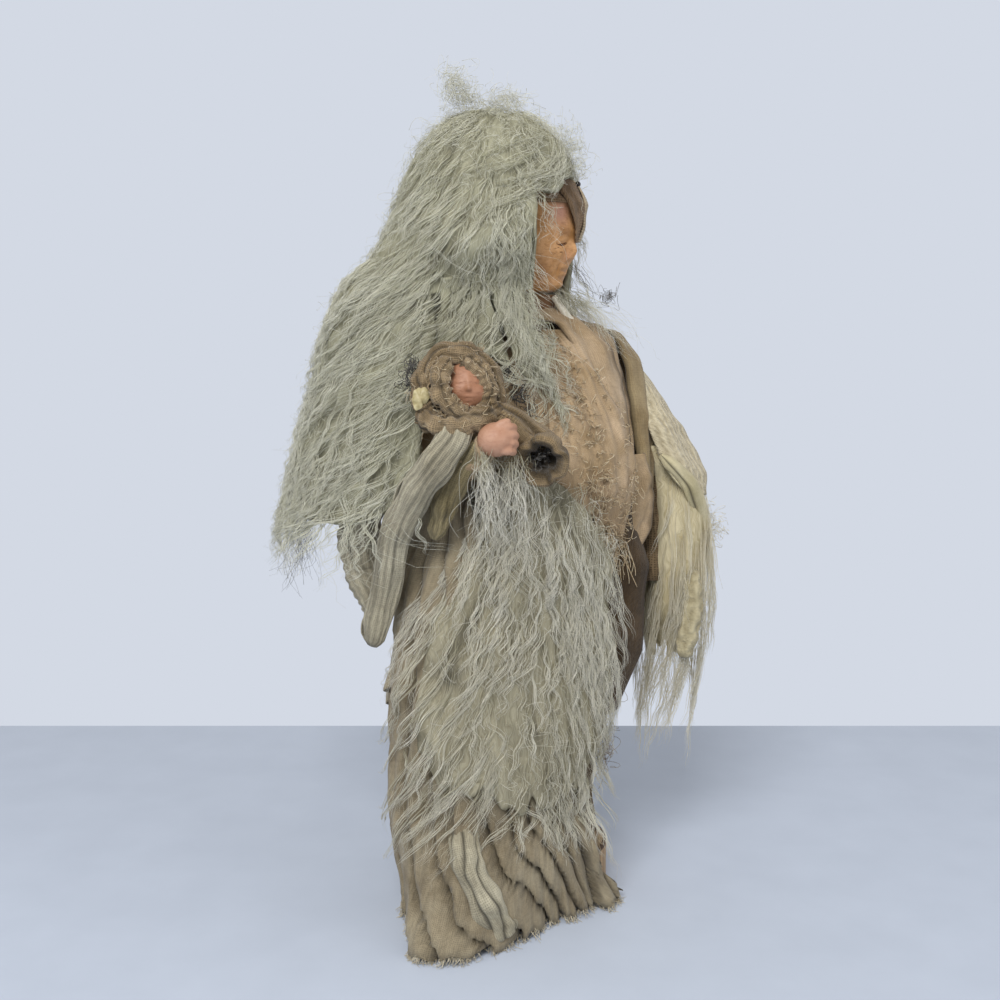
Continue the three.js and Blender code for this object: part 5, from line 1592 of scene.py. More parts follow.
@dataclass
class RightSleeve:
    """A gauze sleeve on the raised right arm, with its wide mouth hanging as a ribbed fall."""

    arm_radius: float = 13.5
    mouth_aim: tuple[float, float, float] = (-0.64, -0.77, 0)  # way that the hanging mouth faces
    wrinkle: Ripple = ripple(41, 12)

    def arm(self) -> Surface:
        """Gives the sleeve round the bent arm.

        Returns:
            The surface, which gives places from two shares.
        """
        path = np.array([RIGHT_SHOULDER + [8, 2, 4], RIGHT_SHOULDER + [-8, 0, -14], RIGHT_ELBOW + [2, 0, 14],
                         RIGHT_ELBOW + [2, -10, 2], RIGHT_WRIST + [0, 4, 3], HAND_PLACE + [-1, 9, -3]])
        ridge = lambda r, s: 1.4 * np.sin(2 * np.pi * (9 * s + 0.4 * np.sin(2 * np.pi * r)))
        size = lambda r, s: ((self.arm_radius + ridge(r, s) + 0.6 * self.wrinkle(r * 80, s * 110))
                             * np.interp(s, (0, 0.5, 0.72, 1), (1, 0.92, 0.72, 0.5)))
        return tube_surface(path, size)

    def fall(self) -> Surface:
        """Gives the front of the sleeve's mouth, a narrow ribbed fall from the wrist.

        Returns:
            The surface, which gives places from two shares.
        """
        path = np.array([[-97, -48, 301], [-102, -49, 290], [-108.6, -40.7, 275.7], [-110, -29, 263],
                         [-111, -15.3, 245.4], [-110, -5.5, 231], [-108.3, 3.4, 208], [-109.6, 11, 186],
                         [-111.7, 15.4, 169]])

        def size(r: Array, s: Array) -> Array:
            """Gives the fall's radius.

            Args:
                r: share round, 0 to 1.
                s: share along, 0 to 1.

            Returns:
                Radii in millimetres.
            """
            wide = np.interp(s, (0, 0.04, 0.12, 0.4, 0.7, 0.9, 0.97, 1), (2, 7, 9, 9, 8.4, 8, 6.5, 2.5))
            rib = 0.35 * np.sin(2 * np.pi * (19 * r + 0.5 * np.sin(5 * s))) + 0.9 * self.wrinkle(r * 40, s * 90)
            return wide * (1 - 0.24 * self.groove(r, s)) + rib

        return tube_surface(path, size, flat=0.5, aim=self.mouth_aim)

    def groove(self, across: Array, along: Array) -> Array:
        """Gives how deep in a fold of the hanging mouth the cloth is, for its relief and the shade painted into the
        folds.

        Args:
            across: share across, 0 to 1.
            along: share along, 0 to 1.

        Returns:
            Depths, 0 to 1.
        """
        wide = dip(5 * across + 0.4 * np.sin(3.5 * along + 1), 0.13)
        fine = np.sin(2 * np.pi * (13 * across + 0.7 * np.sin(4 * along)))
        return 0.45 * wide * (0.6 + 0.4 * np.sin(9 * along + 7 * across)) + 0.2 * (1 + fine)

    def lining(self) -> Surface:
        """Gives the olive lining that hangs beside the fall.

        Returns:
            The surface, which gives places from two shares.
        """
        path = np.array([[-91, -53, 289], [-94, -39, 267], [-93, -27, 248], [-93, -20, 233]])
        size = lambda r, s: (np.interp(s, (0, 0.05, 0.2, 0.6, 0.9, 1), (2, 5, 6.5, 7, 4.5, 1))
                             + 0.5 * np.sin(2 * np.pi * (7 * r + 2 * s)) + 0.6 * self.wrinkle(r * 40, s * 60))
        return tube_surface(path, size, flat=0.5, aim=self.mouth_aim)

    def loop(self) -> Surface:
        """Gives the back of the sleeve's mouth, a crinkled loop that meets the fall below.

        Returns:
            The surface, which gives places from two shares.
        """
        path = np.array([[-103, 24, 270], [-107, 30, 244], [-106.5, 36, 224], [-107, 31, 208], [-108, 20, 195],
                         [-108.5, 14, 184]])
        size = lambda r, s: (np.interp(s, (0, 0.3, 0.7, 1), (12, 11.5, 9, 5))
                             + 0.5 * np.sin(2 * np.pi * 15 * s + 2 * np.sin(2 * np.pi * r))
                             + 0.5 * self.wrinkle(r * 40, s * 60))
        return tube_surface(path, size, flat=0.8)

    def build(self) -> None:
        """Makes the sleeve."""
        settle(sheet_piece("right_sleeve_gauze", self.arm(), (40, 70), ROBE_GAUZE, Slot.GAUZE, "gathered",
                           closed=True), Body.DOLL, "right_sleeve")
        for name, place, finish in (("right_sleeve_fall", self.fall(), SLEEVE_GAUZE),
                                    ("right_sleeve_loop", self.loop(), SLEEVE_GAUZE),
                                    ("right_sleeve_lining", self.lining(), OLIVE_GAUZE)):
            settle(sheet_piece(name, place, (60, 56), finish, Slot.GAUZE, "hung", closed=True,
                               deep=self.groove), Body.DOLL)


@dataclass
class Baby:
    """The swaddled baby: clay head in a wound scarf, the wrap below it, and a charm."""

    look: Sequence[float] = (-0.526, -0.841, 0.126)
    pair: tuple = ((0.34, 0.06, 0.17, 0.10, -0.06), (0.34, 0.05, 0.13, 0.07, 0.085), (0.34, -0.005, 0.15, 0.018, -0.05),
                   (0.42, -0.28, 0.24, 0.22, 0.08), (0.08, -0.19, 0.05, 0.04, 0.03))  # eyes, lids, cheeks, nostrils
    single: tuple = ((0, -0.14, 0.085, 0.09, 0.15), (0, 0.04, 0.07, 0.16, 0.05), (0, -0.40, 0.15, 0.05, 0.075),
                     (0, -0.445, 0.15, 0.018, -0.07), (0, -0.50, 0.12, 0.05, 0.07),
                     (0, -0.68, 0.16, 0.12, 0.07))  # nose, lips and chin: place, width, height and relief
    wrinkle: Ripple = ripple(51, 9)
    surfaces: list[Surface] = field(default_factory=list)

    def __post_init__(self) -> None:
        """Works out the baby's own axes: aside to the left, up and where it looks."""
        self.look = np.array(self.look) / np.linalg.norm(self.look)
        self.aside = np.cross([0, 0, 1], self.look)
        self.aside /= np.linalg.norm(self.aside)
        self.up = np.cross(self.look, self.aside)

    def at(self, spot: Sequence[float] | Array) -> Array:
        """Gives places from millimetres aside, up and towards the look."""
        spot = np.asarray(spot, float)
        return HOOD_CENTRE + spot @ np.stack([self.aside, self.up, self.look])

    def head(self) -> bpy.types.Object:
        """Models the head with a sleeping face.

        Returns:
            The piece.
        """
        made = start(bpy.ops.mesh.primitive_uv_sphere_add, "baby_face", segments=96, ring_count=72, radius=1)
        ball = points_of(made) * MM
        x, y, z = ball[:, 0], ball[:, 2], -ball[:, 1]
        front = np.clip(z, 0, 1)
        bump = np.zeros(len(ball))
        sides = [(s * row[0], *row[1:]) for s in (-1, 1) for row in self.pair]
        for cx, cy, wx, wy, high in (*sides, *self.single):
            bump += high * np.exp(-((x - cx) / wx) ** 2 - ((y - cy) / wy) ** 2) * (front > 0.2)
        ball = ball * (1 + bump)[:, None]
        spot = np.stack([ball[:, 0] * 14.0 + 7.5, ball[:, 2] * 16.0 + 4.0, -ball[:, 1] * 15.0 + 1.5], 1)
        set_points(made, self.at(spot))
        smooth_faces(made)
        return dress(made, BABY_CLAY, Slot.PINK_CLAY)

    def wound(self, name: str, path: Sequence[Sequence[float]], radius: float, flat: float,
              seed: int) -> bpy.types.Object:
        """Winds one band of the scarf, gathered into ridges along its length.

        Args:
            name: name of the piece.
            path: the band's middle line, aside, up and towards the look.
            radius: radius of the gathered band.
            flat: share of the radius that it keeps towards the look.
            seed: seed of its folds.

        Returns:
            The piece.
        """
        fold = Ripple(seed, 7)
        groove = lambda r, s: dip(3 * r + 0.5 * s + 0.37 * seed + 0.1 * np.sin(9 * s), 0.1)
        size = lambda r, s: (radius * (0.5 + 0.5 * np.sin(np.pi * np.clip(s, 0.02, 0.98)) ** 0.35)
                             * (1 - 0.2 * groove(r, s)) + 0.8 * fold(r * radius * 6, s * 60))
        place = tube_surface(self.at(path), size, flat=flat, aim=self.look)
        self.surfaces.append(place)
        # Painted shade in the band's grooves and folds.
        return sheet_piece(name, place, (44, 64), WRAP_GAUZE, Slot.GAUZE, "folded", wall=0.7, closed=True,
                           deep=lambda r, s: 0.8 * groove(r, s) + 0.25 * fold(r * 30, s * 50))

    def cap(self, across: Array, along: Array) -> Array:
        """Places the cap of gauze behind the face.

        Args:
            across: share across, 0 to 1.
            along: share along, 0 to 1.

        Returns:
            Places in millimetres.
        """
        turn, tilt = 2 * np.pi * across, np.pi * (0.02 + 0.62 * along)
        ring = np.sin(tilt)
        size = 20.5 + 0.8 * self.wrinkle(turn * 20, tilt * 30) + 0.7 * np.sin(9 * turn + 4 * tilt)
        aside, up = ring * np.cos(turn) * size + 4, ring * np.sin(turn) * size * 1.05 + 1
        return self.at(np.stack([aside, up, -np.cos(tilt) * size - 1], -1))

    def bundle(self) -> Surface:
        """Gives the wrap that runs from the hood to its open rolled end, with the end turned in.

        Returns:
            The surface, which gives places from two shares.
        """
        path = np.array([self.at([14, -6, -2]), [-67, -53, 297], [-59, -58, 290], [-54.5, -63, 284], [-56.5, -69, 280],
                         [-62.5, -73.5, 277.5]])
        curve = tube_surface(path, lambda r, s: np.ones_like(r))

        def place(across: Array, along: Array) -> Array:
            """Gives the place at a share round and a share along.

            Args:
                across: share across, 0 to 1.
                along: share along, 0 to 1.

            Returns:
                Places in millimetres.
            """
            out, back = np.clip(along / 0.75, 0, 1), np.clip((along - 0.75) / 0.25, 0, 1)
            s = out - 0.34 * back
            size = np.interp(out, (0, 0.3, 0.6, 0.85, 0.97, 1), (8, 9.5, 11, 14, 14.5, 12.5))
            size = size - 4.5 * smooth(back, 0, 0.3)
            size = size * (1 - 0.2 * dip(4 * across + 0.8 * s, 0.14)) + 0.5 * self.wrinkle(across * 70, s * 40)
            centre = curve(across, s) - (curve(across, s) - curve(across + 0.5, s)) / 2
            return centre + (curve(across, s) - centre) * size[..., None]

        return place

    def fluff(self) -> bpy.types.Object:
        """Draws the dark wool in the wrap's open end and beside the hood; the puffs between the hood and the hair stand
        for dark tufts and the shade in the gap there.

        Returns:
            The piece.
        """
        draw = np.random.default_rng(58)
        # The last three spots, between the hood and the hair, are partly painted shade of the gap there.
        spots = np.repeat([[-57.5, -68, 281.0], [-107.5, -20, 321.0], [-106, -18, 328.0],
                           [-52.9, -33.9, 323.8], [-45.7, -37.4, 311.1], [-40.1, -39.5, 301.5]],
                          [34, 30, 20, 26, 30, 22], 0)
        paths = puff(draw, spots + draw.normal(0, 2.6, spots.shape), 3.0)
        return strand_piece("wrap_fluff", paths, 0.2, draw.uniform(0, 1, len(paths)), 59, DARK_WOOL)

    def fuzz(self) -> bpy.types.Object:
        """Draws the loose threads that stand off the wound scarf.

        Returns:
            The piece.
        """
        draw = np.random.default_rng(56)
        middles = [place(draw.uniform(0, 1, 75), draw.uniform(0.04, 0.96, 75)) for place in self.surfaces]
        paths = puff(draw, np.concatenate(middles), 2.2)
        return strand_piece("hood_fuzz", paths, 0.16, draw.uniform(0, 1, len(paths)), 57, YARN, Slot.GAUZE)

    def charm(self) -> bpy.types.Object:
        """Breaks the ragged shell flake out of a thin disc.

        Returns:
            The piece.
        """
        made = start(bpy.ops.mesh.primitive_circle_add, "hood_flake", vertices=48, radius=1, fill_type="TRIFAN")
        edit((bpy.ops.mesh.subdivide, {"number_cuts": 5}))
        spot = points_of(made) * MM
        r, turn = np.hypot(spot[:, 0], spot[:, 1]), np.arctan2(spot[:, 1], spot[:, 0])
        rough = 0.95 + 0.2 * np.sin(2 * turn + 0.6) + 0.12 * np.sin(3 * turn + 1) + 0.05 * np.sin(8 * turn)
        x, y = r * rough * np.cos(turn) * 4.0, r * rough * np.sin(turn) * 6.2
        cup = 1.6 * (r ** 2) + 0.3 * np.sin(x * 0.9 + 0.5 * y) + 0.15 * np.sin(y * 1.6)
        set_points(made, self.at(np.stack([x - 17.5, y - 3.0, 15.5 - cup], 1)))
        modify(made, "SOLIDIFY", thickness=0.9 * MM, offset=0.0)
        smooth_faces(made, 50)
        return dress(made, SHELL, Slot.SHELL)

    def build(self) -> None:
        """Swaddles the baby."""
        settle(self.head(), Body.DOLL, "baby_head")
        settle(sheet_piece("baby_cap", self.cap, (90, 50), WRAP_GAUZE, Slot.GAUZE, "folded", wall=0.9,
                           closed=True), Body.DOLL, "baby_hood")
        bands = {
            "hood_band_top": ([(-12, 3, 6), (-12, 13, 9), (-5, 20, 9), (7, 20, 9), (17, 14, 8), (23, 4, 5),
                               (24, -8, 0)], 6.2),
            "hood_band_left": ([(-3, 17, 14), (-8, 8, 17), (-7, -2, 17), (-1, -9, 16), (6, -12, 14)], 5.2),
            "hood_band_outer": ([(-7, 19, 3), (-15, 8, 6), (-15.5, -5, 8), (-10, -13, 8)], 6.0),
            "hood_band_right": ([(6, 17, 13), (15, 10, 13), (19, 1, 11), (18, -9, 9)], 4.6),
        }
        for seed, (name, (path, radius)) in enumerate(bands.items(), start=60):
            settle(self.wound(name, path, radius, 0.8, seed), Body.DOLL)
        chin = [(-17, -11, 6), (-9, -17, 13), (3, -18, 16), (14, -14, 14), (23, -8, 6)]
        settle(self.wound("chin_roll", chin, 6.6, 0.9, 71), Body.DOLL, "baby_chin_wrap")
        bundle = self.bundle()
        self.surfaces.append(lambda r, s: bundle(r, 0.74 * s))
        settle(self.fuzz(), Body.DOLL)
        # Painted shade in the wrap's folds and in its turned-in end.
        settle(sheet_piece("baby_wrap", bundle, (60, 90), WRAP_GAUZE, Slot.GAUZE, "folded",
                           closed=True,
                           deep=lambda r, s: 0.8 * dip(4 * r + 0.8 * s, 0.12) + smooth(s, 0.74, 0.82)),
               Body.DOLL, "baby_bundle")
        settle(self.charm(), Body.DOLL, "hood_charm")
        settle(self.fluff(), Body.DOLL)


@dataclass
class Hands:
    """The right hand that holds the wrap, and the left one in its cuff."""

    voxel: float = 0.7

    def finger(self, begin: Array, end: Array, radius: float) -> bpy.types.Object:
        """Adds one finger as a stretched ball.

        Args:
            begin: where it begins, in millimetres.
            end: where it ends, in millimetres.
            radius: its radius in millimetres.

        Returns:
            The piece.
        """
        way = Vector(end - begin)
        made = start(bpy.ops.mesh.primitive_uv_sphere_add, "finger", segments=24, ring_count=16, radius=1)
        made.scale = (radius * MM, radius * MM, (way.length / 2 + radius * 0.8) * MM)
        made.rotation_euler = way.to_track_quat("Z", "Y").to_euler()
        made.location = Vector((begin + end) / 2) * MM
        place_at_origin(made)
        return made

    def right(self, baby: Baby) -> bpy.types.Object:
        """Models the right hand: its back to the front, four fingers bent round the wrap.

        Args:
            baby: the baby that the hand holds.

        Returns:
            The piece.
        """
        at = lambda *spot: HAND_PLACE + np.array(spot, float) @ np.stack([baby.aside, baby.up, baby.look])
        parts = [self.finger(at(-4.5, 0, 0), at(0.5, 0.5, 0.5), 9.2)]
        for high, out in ((6.6, 0.0), (2.3, 1.0), (-2.0, 0.7), (-6.0, -0.6)):
            parts.append(self.finger(at(0, high * 0.9, 4.6), at(5.2 + out, high, 4.6), 2.6))
            parts.append(self.finger(at(5.4 + out, high, 4.4), at(8 + out, high - 0.4, -0.5), 2.3))
        parts.append(self.finger(at(-4, -2, -2), at(-6, -1, -7), 6.0))
        parts.append(self.finger(at(-3, 6, 4), at(3.5, 9.4, 4.8), 2.6))
        clear_selection()
        for part in parts:
            part.select_set(True)
        bpy.context.view_layer.objects.active = parts[0]
        bpy.ops.object.join()
        made = parts[0]
        made.name = made.data.name = "right_hand_clay"
        soften(made, self.voxel, 4)
        return dress(made, PINK_CLAY, Slot.PINK_CLAY)

    def left(self) -> bpy.types.Object:
        """Softens the left hand, which hangs inside its cuff."""
        return dress(soft_copy("left_hand", "left_hand_clay", self.voxel, 6), PINK_CLAY, Slot.PINK_CLAY)

    def build(self, baby: Baby) -> None:
        """Makes both hands."""
        settle(self.right(baby), Body.DOLL, "right_hand")
        settle(self.left(), Body.LEFT_ARM, "left_hand")


@dataclass
class Head:
    """The clay head with an old, sleeping face, its headband and the bone bead at its throat."""

    height: tuple[float, ...] = (0, 5.25, 12.75, 26.25, 39.75, 51.75, 63, 71.25, 75)
    half: tuple[float, ...] = (12, 17.25, 21, 24, 25.2, 24.6, 21.5, 14, 3.75)
    front: tuple[float, ...] = (7.5, 13, 16.5, 20.5, 23, 24, 19.5, 9.75, 2.25)
    back: tuple[float, ...] = (15.75, 26.25, 33.75, 39, 42, 42, 37.5, 27, 7.5)
    square: float = 2.2
    crease: Ripple = ripple(81, 8)

    def reach(self, z: Array, a: Array) -> Array:
        """Gives the skull's reach from its peg at a height and an angle in the head's frame.

        Args:
            z: height in millimetres.
            a: angle in radians.

        Returns:
            Distances in millimetres.
        """
        pick = lambda row: np.interp(z - HEAD_BOTTOM, self.height, row)
        x, y = -np.sin(a), -np.cos(a)
        across = np.abs(x) / pick(self.half)
        along = np.abs(y) / np.where(y < 0, pick(self.front), pick(self.back))
        return (across ** self.square + along ** self.square) ** (-1 / self.square)

    def relief(self, x: Array, z: Array, front: Array) -> Array:
        """Gives how far the face stands out at a place across and above the chin.

        Args:
            x: millimetres across.
            z: millimetres above the chin.
            front: how far each place faces the front, -1 to 1.

        Returns:
            Distances in millimetres.
        """
        total = np.zeros_like(x)

        def mark(cx: float, cz: float, wx: float, wz: float, high: float, lean: float = 0.0) -> None:
            """Adds a swelling or a hollow at a place, by its width, its height and its relief."""
            dx = x - cx
            total[:] += high * np.exp(-(dx / wx) ** 2 - ((z - cz - lean * dx) / wz) ** 2)

        for row in ((0, 36.5, 15, 3.6, 1.6), (0, 30.5, 2.6, 7, 1.2), (0, 22.5, 3.4, 4.2, 3.2),
                    (0, 26.5, 2.6, 4.5, 1.8)):
            mark(*row)
        for s in (-1, 1):
            mark(s * 3.9, 20.6, 2.0, 2.0, 2.2)
            mark(s * 9.2, 30.8, 5.2, 3.6, -2.4)
            mark(s * 9.4, 30.6, 4.0, 2.2, 2.5, -0.12 * s)
            mark(s * 9.6, 29.0, 4.6, 0.55, -1.5, -0.16 * s)
            mark(s * 12.5, 22.5, 5.0, 4.0, 2.0)
            mark(s * 7.8, 15.5, 1.3, 5.5, -1.2)
            for k in range(4):
                mark(s * 13.5, 28.0 - 2.3 * k, 4.2, 0.45, -0.7, s * (-0.25 - 0.12 * k))
            mark(s * 11.5, 10.5, 1.0, 5.0, -0.7)
        for row in ((0, 15.6, 5.0, 1.3, 1.5), (0, 13.4, 6.4, 0.6, -1.6), (0, 11.6, 4.6, 1.5, 1.7),
                    (0, 9.0, 4.5, 1.0, -0.8), (0, 4.5, 5.5, 3.2, 2.8)):
            mark(*row)
        return total * smooth(front, 0.05, 0.5)

    def face(self) -> bpy.types.Object:
        """Models the head from a ball.

        Returns:
            The piece.
        """
        made = start(bpy.ops.mesh.primitive_uv_sphere_add, "clay_head", segments=160, ring_count=100, radius=1)
        ball = points_of(made) * MM
        a = np.arctan2(-ball[:, 0], -ball[:, 1])
        ring = np.hypot(ball[:, 0], ball[:, 1])
        z = HEAD_BOTTOM + HEAD_HEIGHT * (1 + ball[:, 2]) / 2
        radius = self.reach(z, a) * np.minimum(1, ring / 0.3)
        spot = polar(radius, a, z)
        spot[:, 1] -= self.relief(spot[:, 0], z - HEAD_BOTTOM, np.cos(a))
        near = lambda turn, high, wide, tall: np.exp(-((np.abs(np.degrees(a)) - turn) / wide) ** 2
                                                     - ((z - HEAD_BOTTOM - high) / tall) ** 2)
        mark_points(made, "blush", 0.8 * near(38, 46, 18, 7) + 0.3 * near(16, 22, 10, 4))
        # Painted shade: brown under the jaw, above the closed lids and along the mouth.
        stain_and_shade = 0.7 * near(64, 12, 15, 8) + 0.5 * near(22, 34.5, 14, 3) + 0.45 * near(8, 13.4, 14, 1.2)
        mark_points(made, "stain_and_shade", stain_and_shade)
        set_points(made, turn_head(spot))
        modify(made, "SMOOTH", factor=0.3, iterations=1)
        smooth_faces(made)
        return dress(made, FACE_CLAY, Slot.CLAY)

    def band(self, across: Array, along: Array) -> Array:
        """Places the band round the brow, in three soft ridges.

        Args:
            across: share across, 0 to 1.
            along: share along, 0 to 1.

        Returns:
            Places in millimetres.
        """
        a, z = 2 * np.pi * across, 435 - 16 * along
        ridge = 0.6 * np.sin(along * 15 + 0.6 * np.sin(3 * a))
        radius = self.reach(z, a) + 1.5 + ridge + 0.3 * self.crease(a * 24, z)
        return turn_head(polar(radius, a, z))

    def leaf(self, turns: tuple[float, float], out: float) -> Surface:
        """Gives the band's loose end, which droops over the brow in a crescent, or its rim, painted paler where light
        falls on it.

        Args:
            turns: limits of the angle in degrees.
            out: how far it stands off the skull, in millimetres.

        Returns:
            The surface, which gives places from two shares.
        """

        def place(across: Array, along: Array) -> Array:
            """Gives the place at a share across and a share along.

            Args:
                across: share across, 0 to 1.
                along: share along, 0 to 1.

            Returns:
                Places in millimetres.
            """
            turn = turns[0] + (turns[1] - turns[0]) * across
            a = np.radians(turn)
            low = np.interp(turn, (-38, -24, -12, 4, 12, 27, 44), (416, 404, 398, 397, 406, 416, 429))
            z = 436 + (low - 436) * along
            full = 1.2 * np.sin(np.pi * np.clip(along, 0, 1))
            radius = self.reach(z, a) + out + full + 0.4 * np.sin(along * 12 + across * 5)
            return turn_head(polar(radius, a, z))

        return place

    def bead(self) -> bpy.types.Object:
        """Turns the tapered bone bead at the throat.

        Returns:
            The piece.
        """
        low, high = Vector((9.0, -20.5, 350.5)), Vector((1.5, -12.5, 366.5))
        made = start(bpy.ops.mesh.primitive_cone_add, "throat_bone", vertices=40, radius1=2.7 * MM, radius2=1.7 * MM,
                     depth=(high - low).length * MM)
        modify(made, "BEVEL", width=0.6 * MM, segments=3, limit_method="ANGLE", angle_limit=math.radians(50))
        made.rotation_euler = (high - low).to_track_quat("Z", "Y").to_euler()
        made.location = (low + high) / 2 * MM
        place_at_origin(made)
        smooth_faces(made, 40)
        return dress(made, BONE, Slot.BONE)

    def on_face(self, x: Array, z: Array) -> Array:
        """Gives places on the face at millimetres across and above the chin.

        Args:
            x: millimetres across.
            z: millimetres above the chin.

        Returns:
            Places in millimetres.
        """
        a = np.arcsin(np.clip(-x / 26, -1, 1))
        for _ in range(12):
            a = np.arcsin(np.clip(-x / self.reach(z + HEAD_BOTTOM, a), -1, 1))
        spot = polar(self.reach(z + HEAD_BOTTOM, a), a, z + HEAD_BOTTOM)
        spot[:, 1] -= self.relief(spot[:, 0], z, np.cos(a))
        return turn_head(spot)

    def eye_lines(self) -> bpy.types.Object:
        """Paints the closed lids and the lines beside them as fine ridges of paint.

        Returns:
            The piece.
        """
        t = np.linspace(-1, 1, 20)
        paths = []
        for s in (-1, 1):
            for x, z, wide, bow in ((9.4, 29.4, 5.6, 1.1), (9.4, 28.8, 4.8, 1.3), (13.0, 25.5, 3.4, -0.6),
                                    (13.0, 22.6, 3.6, -0.9)):
                paths.append(self.on_face(s * x + wide * t, z - bow * (1 - t ** 2) - 0.12 * s * wide * t))
        radius = np.array([[0.45], [0.35], [0.18], [0.18]] * 2) * (1 - 0.8 * t ** 2)
        return strand_piece("eye_lines", np.array(paths), radius, np.zeros(len(paths)), 82, UMBER, Slot.CLAY)

    def brow_bead(self) -> bpy.types.Object:
        """Turns the small dark bead at the band's end.

        Returns:
            The piece.
        """
        made = start(bpy.ops.mesh.primitive_uv_sphere_add, "brow_bead", segments=24, ring_count=16, radius=1.7 * MM)
        a, z = np.array(math.radians(-8)), np.array(431.0)
        made.location = turn_head(polar(self.reach(z, a) + 4.5, a, z)) * MM
        place_at_origin(made)
        smooth_faces(made)
        return dress(made, BEAD)

    def build(self) -> None:
        """Makes the head and what it wears."""
        settle(self.face(), Body.HEAD, "head")
        settle(sheet_piece("headband_gauze", self.band, (110, 18), BAND_GAUZE, Slot.BROWN_GAUZE, "stretched",
                           closed=True), Body.HEAD, "headband")
        settle(sheet_piece("headband_end", self.leaf((-22, 44), 2.6), (60, 50), BAND_GAUZE, Slot.BROWN_GAUZE, "hung",
                           wall=0.9), Body.HEAD, "headband_leaf")
        settle(sheet_piece("headband_rim", self.leaf((-44, -6), 3.6), (40, 50), LIT_RIM_GAUZE, Slot.BROWN_GAUZE, "hung",
                           wall=0.9), Body.HEAD)
        settle(self.bead(), Body.DOLL, "throat_bead")
        settle(self.brow_bead(), Body.HEAD)
        settle(self.eye_lines(), Body.HEAD)


